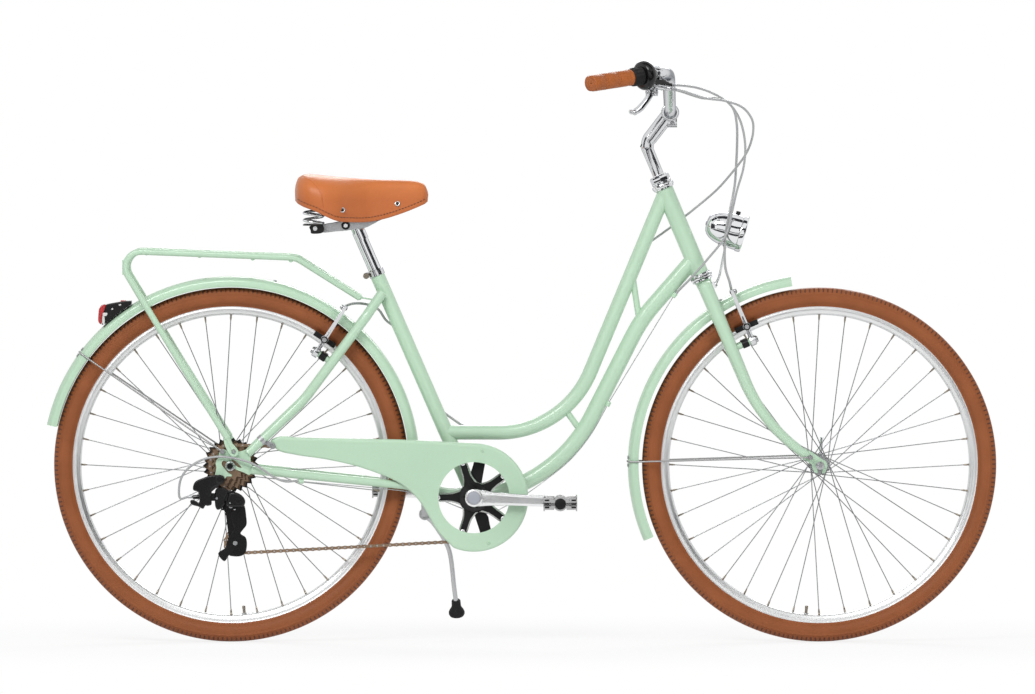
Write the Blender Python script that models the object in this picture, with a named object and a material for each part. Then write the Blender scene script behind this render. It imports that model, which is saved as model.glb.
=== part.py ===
"""A city bike with a low swan-neck frame, at real size, as the pieces that it comes apart into.

Metres. +X is forward, +Z is up and the chain is on the -Y side. The origin is on the floor, in the
middle of the length and on the centre plane.
"""

import cmath
import math

import bmesh
import bpy
from mathutils import Matrix, Vector

# Clearances
GAP = 0.0003
BEARING_GAP = 0.0004

# Wheels
TYRE_RADIUS = 0.350
TYRE_WIDTH = 0.040
TYRE_BEAD_RADIUS = 0.3096
RIM_OUTER_RADIUS = 0.3175
RIM_INNER_RADIUS = 0.296
RIM_WIDTH = 0.024
RIM_FLANGE = 0.002
SPOKE_COUNT = 36
SPOKE_RADIUS = 0.0010
FLANGE_RADIUS = 0.020
FLANGE_THICKNESS = 0.005
HUB_RADIUS = 0.0140
REAR_FLANGES = (-0.0190, 0.0340)
FRONT_FLANGES = (-0.0300, 0.0300)
SPOKE_CROSS_ANGLE = 60.0
VALVE_LENGTH = 0.016
VALVE_RADIUS = 0.003
REAR_VALVE_ANGLE = -85.0
FRONT_VALVE_ANGLE = -95.0

# Main lengths and angles, the angles measured from the vertical
WHEELBASE = 1.1618
CHAIN_STAY_REACH = 0.4799
BRACKET_DROP = 0.063
SEAT_ANGLE = 23.6
SEAT_TUBE_LENGTH = 0.477
HEAD_ANGLE = 22.8
HEAD_TUBE_LENGTH = 0.187
FORK_LENGTH = 0.4286
FORK_RAKE = 0.0713

# Frame tubes
SEAT_TUBE_RADIUS = 0.0143
SWAN_TUBE_RADIUS = 0.0143
DOWN_TUBE_RADIUS = 0.0159
HEAD_TUBE_RADIUS = 0.0175
HEAD_BORE_RADIUS = 0.0150
STRUT_RADIUS = 0.0062
SWAN_TOP_DROP = 0.0085
SWAN_TUBE_ANGLE = 22.6
SWAN_BEND_RADIUS = 0.195
SWAN_FOOT_HEIGHT = 0.1265
DOWN_TOP_RISE = 0.034
DOWN_TOP_ANGLE = 41.0
DOWN_TOP_LENGTH = 0.158
DOWN_MIDDLE_ANGLE = 27.0
DOWN_FOOT_ANGLE = 81.5
DOWN_TOP_BEND_RADIUS = 0.300
DOWN_FOOT_BEND_RADIUS = 0.295
SHELL_RADIUS = 0.0205
SHELL_HALF_WIDTH = 0.034
SHELL_BORE_RADIUS = 0.0172
SEAT_STAY_RADIUS = 0.0092
CHAIN_STAY_RADIUS = 0.0082
BRIDGE_RADIUS = 0.0055

# Rear ends
REAR_END_INSIDE = 0.0675
END_PLATE = 0.005
AXLE_RADIUS = 0.005
AXLE_HOLE_RADIUS = 0.0054

# Seat post and saddle
POST_RADIUS = 0.0127
POST_LENGTH = 0.270
POST_SHOWN = 0.094
SADDLE_HIDE = 0.006
SPRING_TURNS = 3
SPRING_POINTS = 8
SPRING_RADIUS = 0.0165
SPRING_WIRE = 0.0022
SPRING_HEIGHT = 0.040
SPRING_SPREAD = 0.047

# Fork, headset, stem and handlebar
STEERER_RADIUS = 0.0125
STEERER_BORE_RADIUS = 0.0114
QUILL_RADIUS = 0.0111
QUILL_LENGTH = 0.060
CUP_HEIGHT = 0.008
LOCKNUT_HEIGHT = 0.018
BLADE_TOP_RADIUS = 0.0145
BLADE_FOOT_RADIUS = 0.0085
BLADE_SPREAD_TOP = 0.046
FRONT_END_INSIDE = 0.050
FRONT_AXLE_RADIUS = 0.0045
FORK_BEND_RADIUS = 0.330
FORK_CORNER = 0.125
STEM_RISE = 0.067
STEM_REACH = 0.0486
STEM_ARM_RISE = 0.0626
STEM_BEND_RADIUS = 0.030
STEM_ARM_RADIUS = 0.0125
CLAMP_RADIUS = 0.0175
CLAMP_WIDTH = 0.042
BAR_RADIUS = 0.0111
BAR_BULGE_RADIUS = 0.0127
BAR_HALF_WIDTH = 0.300
GRIP_RADIUS = 0.0160
GRIP_LENGTH = 0.098
TWIST_LENGTH = 0.024
SHIFTER_LENGTH = 0.028
LEVER_CLAMP_WIDTH = 0.014

# Drive
PITCH = 0.0127
CHAIN_LINE = 0.047
RING_TEETH = 42
SPROCKETS = (26, 24, 22, 20, 18, 16, 14)
ENGAGED_SPROCKET = 3
SPROCKET_SPACING = 0.005
TOOTH_THICKNESS = 0.0018
TOOTH_RISE = 0.0026
TOOTH_DEPTH = 0.0041
TOOTH_ROOT = 0.0031
FREEWHEEL_CORE = 0.020
RING_HOLE_RADIUS = 0.068
PULLEY_TEETH = 10
LINK_HALF_HEIGHT = 0.0036
LINK_PIN_ZONE = 0.0027
LINK_PLATE = 0.0009
INNER_LINK_INSIDE = 0.00125
OUTER_LINK_INSIDE = 0.0022
CRANK_LENGTH = 0.170
CRANK_FORWARD_ANGLE = -2.6
CRANK_INSIDE = 0.066
CRANK_THICKNESS = 0.013
CRANK_BOSS_RADIUS = 0.0175
SPINDLE_RADIUS = 0.0085
PEDAL_LENGTH = 0.068
PEDAL_HEIGHT = 0.030
PEDAL_WIDTH = 0.092
PEDAL_PIN_RADIUS = 0.006

# Chain guard
GUARD_Y = -0.058
GUARD_SHEET = 0.0014
GUARD_LIP = 0.004
GUARD_RING_RADIUS = 0.107
GUARD_HOLE_RADIUS = 0.073

# Mudguards
GUARD_HALF_WIDTH = 0.026
MUDGUARD_SHEET = 0.0013
MUDGUARD_SKIRT = 0.021
REAR_MUDGUARD_RADIUS = 0.3725
FRONT_MUDGUARD_RADIUS = 0.378
REAR_MUDGUARD_TIP = 167.7
REAR_MUDGUARD_END = -8.0
FRONT_MUDGUARD_TIP = 98.7
FRONT_MUDGUARD_END = 203.4
STAY_WIRE = 0.002

# Derailleur
LINK_LENGTH = 0.044
LINK_SPREAD = 0.012
LINK_HEIGHT = 0.017
LINK_Y = -0.064
CAGE_HALF_WIDTH = 0.0052
CAGE_PLATE = 0.0016
PULLEY_BOLT_RADIUS = 0.0025

# Brakes
BOSS_SPREAD = 0.041
BOSS_RADIUS = 0.006
BOSS_ORBIT = 0.280
REAR_BOSS_ANGLE = 51.6
FRONT_BOSS_ANGLE = 119.5
REAR_ARM_LEAN = -33.0
ARM_CENTRE = 0.006
ARM_THICKNESS = 0.010
PAD_GAP = 0.002
BRAKE_ARM_LENGTH = 0.108
PAD_HEIGHT = 0.030

# Rack
RACK_TUBE = 0.006
RACK_HALF_WIDTH = 0.062

# Cables
HOUSING_RADIUS = 0.0025
WIRE_RADIUS = 0.0008

RIGHT = -1.0
LEFT = 1.0
SIDES = (("right", RIGHT), ("left", LEFT))
X = Vector((1, 0, 0))
Y = Vector((0, 1, 0))
Z = Vector((0, 0, 1))

# Fixed points of the layout
REAR_REACH = REAR_MUDGUARD_RADIUS * math.cos(math.radians(180 - REAR_MUDGUARD_TIP))
REAR_AXLE = Vector((-(WHEELBASE + TYRE_RADIUS - REAR_REACH) / 2, 0, TYRE_RADIUS))
FRONT_AXLE = REAR_AXLE + X * WHEELBASE
BRACKET = REAR_AXLE + Vector((CHAIN_STAY_REACH, 0, -BRACKET_DROP))


def leaning(angle):
    """The direction that leans back from the vertical by an angle in degrees."""
    return Vector((-math.sin(math.radians(angle)), 0, math.cos(math.radians(angle))))


SEAT_LINE = leaning(SEAT_ANGLE)
STEER_LINE = leaning(HEAD_ANGLE)
STEER_FOOT = FRONT_AXLE - FORK_RAKE * STEER_LINE.cross(-Y)
HEAD_FOOT = STEER_FOOT + STEER_LINE * (FORK_LENGTH + CUP_HEIGHT)
HEAD_TOP = HEAD_FOOT + STEER_LINE * HEAD_TUBE_LENGTH
SEAT_TOP = BRACKET + SEAT_LINE * SEAT_TUBE_LENGTH


# Mesh helpers
def show(name, mesh):
    """An object for a moment, so that its curve or modifiers can be evaluated."""
    piece = bpy.data.objects.new(name, mesh)
    bpy.context.scene.collection.objects.link(piece)
    return piece


def evaluated(piece):
    graph = bpy.context.evaluated_depsgraph_get()
    return bpy.data.meshes.new_from_object(piece.evaluated_get(graph))


def tidied(bm):
    """Closes a bmesh's seams, turns its faces outward and gives its mesh."""
    bmesh.ops.remove_doubles(bm, verts=bm.verts, dist=1e-6)
    bmesh.ops.recalc_face_normals(bm, faces=bm.faces)
    mesh = bpy.data.meshes.new("shape")
    bm.to_mesh(mesh)
    bm.free()
    return mesh


def bored(radius, sides):
    """The corner radius of a many-sided bore whose flats stay at a radius."""
    return radius / math.cos(math.pi / sides)


def turn_to(axis, place):
    """The matrix that takes Z to an axis and the origin to a place."""
    return Matrix.Translation(place) @ Vector(axis).to_track_quat("Z", "Y").to_matrix().to_4x4()


def cylinder(start, end, radius, sides=12, end_radius=None):
    start, end = Vector(start), Vector(end)
    bm = bmesh.new()
    bmesh.ops.create_cone(
        bm,
        cap_ends=True,
        segments=sides,
        radius1=radius,
        radius2=radius if end_radius is None else end_radius,
        depth=(end - start).length,
        matrix=turn_to(end - start, (start + end) / 2),
    )
    return tidied(bm)


def block(centre, size, axes=None, bevel=0.0):
    """A box, with its edges cut at 45 degrees where a bevel is given."""
    bm = bmesh.new()
    bmesh.ops.create_cube(bm, size=1.0)
    bmesh.ops.scale(bm, vec=size, verts=bm.verts)
    if bevel:
        bmesh.ops.bevel(bm, geom=bm.edges[:], offset=bevel, segments=1, affect="EDGES")
    place = Matrix.Translation(Vector(centre))
    if axes is not None:
        place = place @ axes.to_4x4()
    bmesh.ops.transform(bm, matrix=place, verts=bm.verts)
    return tidied(bm)


def plate(outline, low, high):
    """An outline of (x, z) points, extruded along Y from low to high."""
    bm = bmesh.new()
    face = bm.faces.new([bm.verts.new((x, low, z)) for x, z in outline])
    grown = bmesh.ops.extrude_face_region(bm, geom=[face])["geom"]
    moved = [item for item in grown if isinstance(item, bmesh.types.BMVert)]
    bmesh.ops.translate(bm, vec=(0, high - low, 0), verts=moved)
    return tidied(bm)


def spun(profile, centre, axis=Y, steps=24, start=0.0, sweep=360.0):
    """A closed outline of (radius, along) points, spun about an axis that it doesn't touch."""
    bm = bmesh.new()
    frame = turn_to(axis, centre)
    # the sweep is counted from +X towards +Z where the axis is Y
    first = Matrix.Rotation(math.radians(-start), 4, axis)
    side = X if abs(Vector(axis).dot(X)) < 0.9 else Z
    side = (side - side.project(Vector(axis))).normalized()
    middle = Vector(centre)
    verts = [bm.verts.new(middle + first @ (side * r) + Vector(axis) * h) for r, h in profile]
    edges = [bm.edges.new(pair) for pair in zip(verts, verts[1:] + verts[:1])]
    full = sweep >= 360.0
    result = bmesh.ops.spin(
        bm,
        geom=verts + edges,
        cent=frame.translation,
        axis=axis,
        angle=-math.radians(sweep),
        steps=steps,
        use_duplicate=False,
    )
    if not full:
        last = [item for item in result["geom_last"] if isinstance(item, bmesh.types.BMEdge)]
        bmesh.ops.contextual_create(bm, geom=edges)
        bmesh.ops.contextual_create(bm, geom=last)
    return tidied(bm)


def lofted(rings, closed=False):
    """A skin over rings of points, with its two ends filled unless it closes on itself."""
    bm = bmesh.new()
    rows = [[bm.verts.new(point) for point in ring] for ring in rings]
    count = len(rows[0])
    pairs = list(zip(rows, rows[1:]))
    if closed:
        pairs.append((rows[-1], rows[0]))
    for near, far in pairs:
        for i in range(count):
            j = (i + 1) % count
            bm.faces.new((near[i], near[j], far[j], far[i]))
    if not closed:
        bm.faces.new(rows[0][::-1])
        bm.faces.new(rows[-1])
    return tidied(bm)


def turned(profile, centre, axis, sides=16):
    """A solid of revolution from (radius, along) pairs, with flat ends."""
    frame = turn_to(axis, centre)
    rings = []
    for radius, along in profile:
        ring = []
        for k in range(sides):
            angle = 2 * math.pi * k / sides
            ring.append(frame @ Vector((radius * math.cos(angle), radius * math.sin(angle), along)))
        rings.append(ring)
    return lofted(rings)


def tube(points, radius, sides=8, shares=None):
    """A round tube along a line of points, as a curve with a bevel and filled ends."""
    curve = bpy.data.curves.new("tube", "CURVE")
    curve.dimensions = "3D"
    curve.bevel_depth = radius
    curve.bevel_resolution = (sides - 4) // 2
    curve.use_fill_caps = True
    spline = curve.splines.new("POLY")
    spline.points.add(len(points) - 1)
    for k, point in enumerate(points):
        spline.points[k].co = (*point, 1.0)
        spline.points[k].radius = 1.0 if shares is None else shares[k]
    piece = show("tube", curve)
    mesh = evaluated(piece)
    bpy.data.objects.remove(piece)
    bm = bmesh.new()
    bm.from_mesh(mesh)
    return tidied(bm)


def shaped(base, add=(), cut=()):
    """A mesh joined with others, then cut by others, with Boolean modifiers."""
    body = show("shaping", base)
    helpers = []
    for operation, meshes in (("UNION", add), ("DIFFERENCE", cut)):
        for mesh in meshes:
            helper = show("helper", mesh)
            helper.hide_render = True
            helper.display_type = "WIRE"
            modifier = body.modifiers.new("shape", "BOOLEAN")
            modifier.operation = operation
            modifier.object = helper
            helpers.append(helper)
    mesh = evaluated(body)
    for piece in (body, *helpers):
        bpy.data.objects.remove(piece)
    bm = bmesh.new()
    bm.from_mesh(mesh)
    bmesh.ops.dissolve_degenerate(bm, dist=1e-6, edges=bm.edges)
    return tidied(bm)


# Lines for tubes and cables
def rounded(corners, radii, steps=6):
    """Straight runs between corners, with an arc of a given radius at each inner corner."""
    points = [corners[0]]
    for before, corner, after, radius in zip(corners, corners[1:], corners[2:], radii):
        back = (before - corner).normalized()
        ahead = (after - corner).normalized()
        half = back.angle(ahead) / 2
        centre = corner + (back + ahead).normalized() * (radius / math.sin(half))
        first = corner + back * (radius / math.tan(half)) - centre
        last = corner + ahead * (radius / math.tan(half)) - centre
        for step in range(steps + 1):
            turn = Matrix.Rotation((math.pi - 2 * half) * step / steps, 3, first.cross(last))
            points.append(centre + turn @ first)
    points.append(corners[-1])
    return points


def through(knots, steps=3):
    """A smooth line through chosen points."""
    knots = [Vector(knot) for knot in knots]
    padded = [2 * knots[0] - knots[1], *knots, 2 * knots[-1] - knots[-2]]
    points = []
    for a, b, c, d in zip(padded, padded[1:], padded[2:], padded[3:]):
        for step in range(steps):
            t = step / steps
            points.append(
                0.5
                * (
                    2 * b
                    + (c - a) * t
                    + (2 * a - 5 * b + 4 * c - d) * t**2
                    + (3 * b - a - 3 * c + d) * t**3
                )
            )
    points.append(knots[-1])
    return points


def meeting(point, direction, other, other_direction):
    """Where two lines in the centre plane cross."""
    det = direction.x * other_direction.z - direction.z * other_direction.x
    step = other - point
    reach = (step.x * other_direction.z - step.z * other_direction.x) / det
    return point + direction * reach


def around(centre, radius, angle, y=0.0):
    """A point on a circle in the centre plane, its angle counted from forward towards up."""
    turn = math.radians(angle)
    return Vector((centre.x + radius * math.cos(turn), y, centre.z + radius * math.sin(turn)))


# Finishes: colour, roughness, metallic
FINISHES = {
    "mint paint": ((0.50, 0.68, 0.52), 0.3, 0.0),
    "brown rubber": ((0.31, 0.095, 0.040), 0.75, 0.0),
    "brown leather": ((0.60, 0.21, 0.075), 0.4, 0.0),
    "polished alloy": ((0.78, 0.78, 0.80), 0.22, 1.0),
    "chrome": ((0.85, 0.85, 0.87), 0.08, 1.0),
    "steel": ((0.62, 0.61, 0.58), 0.35, 1.0),
    "bronze steel": ((0.36, 0.25, 0.18), 0.35, 1.0),
    "black plastic": ((0.012, 0.012, 0.012), 0.35, 0.0),
    "black steel": ((0.015, 0.013, 0.012), 0.2, 0.3),
    "black rubber": ((0.02, 0.02, 0.02), 0.7, 0.0),
    "silver housing": ((0.55, 0.56, 0.57), 0.35, 0.3),
    "red lens": ((0.70, 0.02, 0.015), 0.15, 0.0),
    "clear lens": ((0.85, 0.88, 0.90), 0.05, 0.0),
}


def node(name, mesh, finish, pivot=None):
    """One named piece of the bike, with its own material and its origin on its joint."""
    colour, roughness, metallic = FINISHES[finish]
    material = bpy.data.materials.new(name + "_finish")
    material.use_nodes = True
    shader = material.node_tree.nodes["Principled BSDF"]
    shader.inputs["Base Color"].default_value = (*colour, 1.0)
    shader.inputs["Roughness"].default_value = roughness
    shader.inputs["Metallic"].default_value = metallic
    material.diffuse_color = (*colour, 1.0)
    mesh.materials.clear()
    mesh.materials.append(material)
    mesh.name = name
    mesh.shade_smooth()
    mesh.set_sharp_from_angle(angle=math.radians(32))
    piece = show(name, mesh)
    if pivot is not None:
        mesh.transform(Matrix.Translation(-Vector(pivot)))
        piece.location = pivot
    return piece


for old in list(bpy.data.objects):
    bpy.data.objects.remove(old)


# The frame's lines
def along(points, distance):
    """The point at a distance along a line of points."""
    for near, far in zip(points, points[1:]):
        length = (far - near).length
        if distance <= length:
            return near.lerp(far, distance / length)
        distance -= length
    return points[-1]


def seat_point(height, y=0.0):
    """The point of the seat tube's axis at a height above the bottom bracket."""
    return BRACKET + SEAT_LINE * (height / SEAT_LINE.z) + Y * y


def beside(point, y):
    return Vector((point.x, y, point.z))


SWAN_DOWN = -leaning(-SWAN_TUBE_ANGLE)
SWAN_CROSSING = HEAD_TOP - STEER_LINE * SWAN_TOP_DROP
SWAN_FOOT = seat_point(SWAN_FOOT_HEIGHT)
SWAN_CORNER = meeting(SWAN_CROSSING, SWAN_DOWN, SWAN_FOOT, X)
SWAN_PATH = rounded(
    [SWAN_CROSSING + SWAN_DOWN * 0.006, SWAN_CORNER, SWAN_FOOT], [SWAN_BEND_RADIUS], steps=7
)
DOWN_CROSSING = HEAD_FOOT + STEER_LINE * DOWN_TOP_RISE
DOWN_TOP_LINE = -leaning(-DOWN_TOP_ANGLE)
DOWN_SHOULDER = DOWN_CROSSING + DOWN_TOP_LINE * DOWN_TOP_LENGTH
DOWN_KNEE = meeting(
    DOWN_SHOULDER, leaning(-DOWN_MIDDLE_ANGLE), BRACKET, leaning(-DOWN_FOOT_ANGLE)
)
DOWN_PATH = rounded(
    [DOWN_CROSSING + DOWN_TOP_LINE * 0.004, DOWN_SHOULDER, DOWN_KNEE, BRACKET + X * 0.006],
    [DOWN_TOP_BEND_RADIUS, DOWN_FOOT_BEND_RADIUS],
    steps=5,
)
REAR_BOSS = around(REAR_AXLE, BOSS_ORBIT, REAR_BOSS_ANGLE)
REAR_ARM_LINE = leaning(REAR_ARM_LEAN)
REAR_BOSS_LINE = Y.cross(REAR_ARM_LINE) * -1
FRONT_BOSS = around(FRONT_AXLE, BOSS_ORBIT, FRONT_BOSS_ANGLE)
FRONT_BOSS_LINE = Y.cross(STEER_LINE)
STAY_TOP = seat_point(0.4020)
STAY_WIDE = STAY_TOP + Vector((-0.037, 0, -0.0455))
STAY_KNEE = REAR_AXLE + Vector((0.144, 0, 0.128))
STAY_END = REAR_AXLE + Vector((0.034, 0, 0.024))
CHAIN_STAY_END = REAR_AXLE + Vector((0.041, 0, -0.008))
END_MIDDLE = REAR_END_INSIDE + END_PLATE / 2


def seat_stay(side):
    corners = [
        beside(STAY_TOP, side * 0.020) - X * 0.006,
        beside(STAY_WIDE, side * 0.042),
        beside(STAY_KNEE, side * 0.047),
        beside(STAY_END, side * END_MIDDLE),
    ]
    points = rounded(corners, [0.045, 0.160], steps=2)
    shares = [1.0] * (len(points) - 1) + [0.86]
    return tube(points, SEAT_STAY_RADIUS, shares=shares)


def chain_stay(side):
    corners = [
        beside(BRACKET, side * 0.023) - X * 0.004,
        beside(BRACKET, side * 0.0335) + Vector((-0.088, 0, 0.014)),
        beside(BRACKET, side * 0.042) + Vector((-0.132, 0, 0.023)),
        beside(CHAIN_STAY_END, side * END_MIDDLE),
    ]
    return tube(rounded(corners, [0.120, 0.120], steps=2), CHAIN_STAY_RADIUS)


def rear_end(side):
    """The plate that holds the axle in a slot, with the derailleur's hanger on the right."""
    slot = []
    for angle in (-105, -60, -15, 30, 75):
        point = around(Vector(), AXLE_HOLE_RADIUS, angle)
        slot.append((point.x, point.z))
    if side == RIGHT:
        foot = [(0.012, -0.020), (-0.010, -0.037), (-0.030, -0.036), (-0.033, -0.020)]
    else:
        foot = [(0.012, -0.020), (-0.010, -0.022), (-0.025, -0.016)]
    outline = [
        (0.047, -0.015),
        *foot,
        (slot[0][0] - 0.0251, slot[0][1] + 0.0067),
        *slot,
        (slot[-1][0] - 0.0251, slot[-1][1] + 0.0067),
        (-0.0215, 0.0290),
        (-0.0150, 0.0335),
        (0.008, 0.037),
        (0.024, 0.033),
        (0.043, 0.026),
    ]
    outline = [(REAR_AXLE.x + x, REAR_AXLE.z + z) for x, z in outline]
    inside = side * REAR_END_INSIDE
    return plate(outline, *sorted((inside, inside + side * END_PLATE)))


def boss_pin(pivot, line, side, root):
    """A brake boss: a pin on the stay or blade, its end inside the brake arm's bore."""
    start = beside(pivot, side * BOSS_SPREAD)
    return cylinder(start - line * root, start + line * (ARM_CENTRE + 0.0035), BOSS_RADIUS, 6)


def cable_stop(point, direction, sides=6):
    """A small barrel with a hole through it, brazed on a tube."""
    half = direction.normalized() * 0.005
    return cylinder(point - half, point + half, 0.0046, sides)


def stop_hole(point, direction):
    half = direction.normalized() * 0.007
    return cylinder(point - half, point + half, bored(HOUSING_RADIUS + GAP, 6), 6)


# The shift cable's line under the down tube and along the right chain stay
STOP_OFFSET = DOWN_TUBE_RADIUS + HOUSING_RADIUS + 0.0008
STOP_A = beside(along(DOWN_PATH, 0.075), -STOP_OFFSET)
STOP_A_LINE = along(DOWN_PATH, 0.085) - along(DOWN_PATH, 0.065)
STOP_B = beside(along(DOWN_PATH, 0.330), -STOP_OFFSET)
STOP_B_LINE = along(DOWN_PATH, 0.340) - along(DOWN_PATH, 0.320)
STAY_SHARE = 0.680
STOP_C = beside(
    (BRACKET + Vector((-0.132, 0, 0.023))).lerp(CHAIN_STAY_END, STAY_SHARE) - Z * 0.0125,
    -(0.042 + (END_MIDDLE - 0.042) * STAY_SHARE),
)
STOP_C_LINE = beside(CHAIN_STAY_END, -END_MIDDLE) - beside(
    BRACKET + Vector((-0.132, 0, 0.023)), -0.042
)

head_tube = cylinder(HEAD_FOOT, HEAD_TOP, HEAD_TUBE_RADIUS, 16)
cup_low = turned(
    [(0.0200, 0.002), (0.0225, -0.0035), (0.0225, -CUP_HEIGHT)],
    HEAD_FOOT,
    STEER_LINE,
    16,
)
cup_top = turned(
    [(0.0200, -0.002), (0.0225, 0.0035), (0.0225, CUP_HEIGHT)],
    HEAD_TOP,
    STEER_LINE,
    16,
)
shell_end = Y * SHELL_HALF_WIDTH
upper_strut = cylinder(
    along(SWAN_PATH, 0.178) + X * 0.0065,
    along(DOWN_PATH, 0.152) - X * 0.007,
    STRUT_RADIUS,
    6,
)
lower_strut = cylinder(along(SWAN_PATH, 0.470) + X * 0.002, along(DOWN_PATH, 0.406), STRUT_RADIUS, 6)
seat_bridge = cylinder(
    beside(STAY_KNEE.lerp(STAY_WIDE, 0.93), -0.043),
    beside(STAY_KNEE.lerp(STAY_WIDE, 0.93), 0.043),
    BRIDGE_RADIUS,
    6,
)
stay_bridge = cylinder(
    BRACKET + Vector((-0.083, -0.030, 0.0135)),
    BRACKET + Vector((-0.083, 0.030, 0.0135)),
    BRIDGE_RADIUS,
    6,
)
frame = shaped(
    head_tube,
    add=[
        cup_low,
        cup_top,
        tube(SWAN_PATH, SWAN_TUBE_RADIUS, 10),
        tube(DOWN_PATH, DOWN_TUBE_RADIUS, 10),
        upper_strut,
        lower_strut,
        cylinder(BRACKET + SEAT_LINE * 0.004, SEAT_TOP, SEAT_TUBE_RADIUS, 12),
        cylinder(BRACKET - shell_end, BRACKET + shell_end, SHELL_RADIUS, 16),
        seat_stay(RIGHT),
        seat_stay(LEFT),
        chain_stay(RIGHT),
        chain_stay(LEFT),
        seat_bridge,
        stay_bridge,
        rear_end(RIGHT),
        rear_end(LEFT),
        boss_pin(REAR_BOSS, REAR_BOSS_LINE, RIGHT, 0.034),
        boss_pin(REAR_BOSS, REAR_BOSS_LINE, LEFT, 0.034),
        cable_stop(STOP_A, STOP_A_LINE),
        cable_stop(STOP_B, STOP_B_LINE),
        cable_stop(STOP_C, STOP_C_LINE),
    ],
    cut=[
        cylinder(
            HEAD_FOOT - STEER_LINE * 0.02, HEAD_TOP + STEER_LINE * 0.02, HEAD_BORE_RADIUS, 16
        ),
        cylinder(BRACKET - shell_end * 1.1, BRACKET + shell_end * 1.1, SHELL_BORE_RADIUS, 16),
        cylinder(
            SEAT_TOP - SEAT_LINE * 0.290, SEAT_TOP + SEAT_LINE * 0.01, POST_RADIUS + GAP, 12
        ),
        stop_hole(STOP_A, STOP_A_LINE),
        stop_hole(STOP_B, STOP_B_LINE),
        stop_hole(STOP_C, STOP_C_LINE),
    ],
)
node("frame", frame, "mint paint")

# The seat clamp: a collar round the top of the seat tube, with its bolt behind
collar_height = 0.016
collar_low = SEAT_TOP - SEAT_LINE * (collar_height - 0.004)
collar_bore = bored(SEAT_TUBE_RADIUS + GAP, 12)
collar = spun(
    [(collar_bore, 0.0), (collar_bore + 0.0035, 0.0), (collar_bore + 0.0035, collar_height),
     (collar_bore, collar_height)],
    collar_low,
    axis=SEAT_LINE,
    steps=12,
)
back = SEAT_LINE.cross(Y)
ear = collar_low + SEAT_LINE * (collar_height / 2) + back * (collar_bore + 0.0065)
seat_clamp = shaped(
    collar,
    add=[
        block(ear, (0.012, 0.020, 0.0130), Matrix((back, Y, SEAT_LINE)).transposed()),
        cylinder(ear + Y * -0.015, ear + Y * 0.015, 0.005, 8),
    ],
)
node("seat_clamp", seat_clamp, "polished alloy")

# The bottom bracket unit: cups, with the chain guard's black bracket on the right
bracket_hole = bored(SPINDLE_RADIUS + BEARING_GAP, 12)
lip_in = SHELL_HALF_WIDTH + GAP
cup = SHELL_BORE_RADIUS - GAP
unit = spun(
    [(bracket_hole, -lip_in - 0.004), (0.022, -lip_in - 0.004), (0.022, -lip_in), (cup, -lip_in),
     (cup, lip_in), (0.022, lip_in), (0.022, lip_in + 0.003), (bracket_hole, lip_in + 0.003)],
    BRACKET,
    steps=12,
)
ARM_RADIUS = (GUARD_HOLE_RADIUS + GUARD_RING_RADIUS) / 2 + 0.004
ARM_ANGLES = (80.0, -72.0)


def guard_arm(angle):
    """A flat arm behind the chainring, with a lug that ends at the chain guard."""
    spot = BRACKET - Y * (SHELL_HALF_WIDTH + GAP + 0.0022)
    reach = ARM_RADIUS + 0.006
    out = around(Vector(), 1.0, angle)
    axes = Matrix((out, Y, out.cross(Y))).transposed()
    arm = block(spot + out * (0.015 + reach) / 2, (reach - 0.015, 0.003, 0.014), axes)
    inner = -(SHELL_HALF_WIDTH + GAP + 0.001)
    outer = GUARD_Y + GAP
    lug = block(
        beside(BRACKET + out * (reach - 0.0025), (inner + outer) / 2),
        (0.004, inner - outer, 0.012),
        axes,
    )
    return [arm, lug]


bracket_unit = shaped(
    unit, add=[mesh for a in ARM_ANGLES for mesh in guard_arm(a)]
)
node("bottom_bracket", bracket_unit, "black steel")


# Mudguards
def mudguard(centre, radius, low, high, steps):
    """A thin channel swept round a wheel, its sides bent inward as a skirt."""
    half = GUARD_HALF_WIDTH
    sheet = MUDGUARD_SHEET
    outer = [(radius - MUDGUARD_SKIRT, half), (radius - 0.009, half), (radius, half - 0.015)]
    inner = [(radius - MUDGUARD_SKIRT, half - sheet), (radius - sheet, half - 0.0150)]
    top = outer + [(r, -y) for r, y in outer[::-1]]
    under = inner + [(r, -y) for r, y in inner[::-1]]
    return spun(top + under[::-1], centre, steps=steps, start=low, sweep=high - low)


def mudguard_stay(axle, gap, angle, radius, eye):
    """A wire on each side, from an eye bolted outside the axle plate to the mudguard's edge."""
    meshes = []
    for _, side in SIDES:
        start = beside(axle + eye, side * (gap + END_PLATE + 0.0034))
        stop = around(axle, radius - 0.010, angle, side * (GUARD_HALF_WIDTH + STAY_WIRE * 0.4))
        meshes.append(tube([start, stop], STAY_WIRE, 6))
        meshes.append(cylinder(start - Y * side * 0.0031, start + Y * side * 0.0030, 0.0052, 8))
    return meshes


REAR_EYE = Vector((-0.0152, 0, 0.0284))
RACK_EYE = Vector((0.0069, 0, 0.0290))
rear_mudguard = shaped(
    mudguard(REAR_AXLE, REAR_MUDGUARD_RADIUS, REAR_MUDGUARD_END, REAR_MUDGUARD_TIP, 26),
    add=mudguard_stay(REAR_AXLE, REAR_END_INSIDE, 143.3, REAR_MUDGUARD_RADIUS, REAR_EYE),
)
node("rear_mudguard", rear_mudguard, "mint paint")

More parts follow.
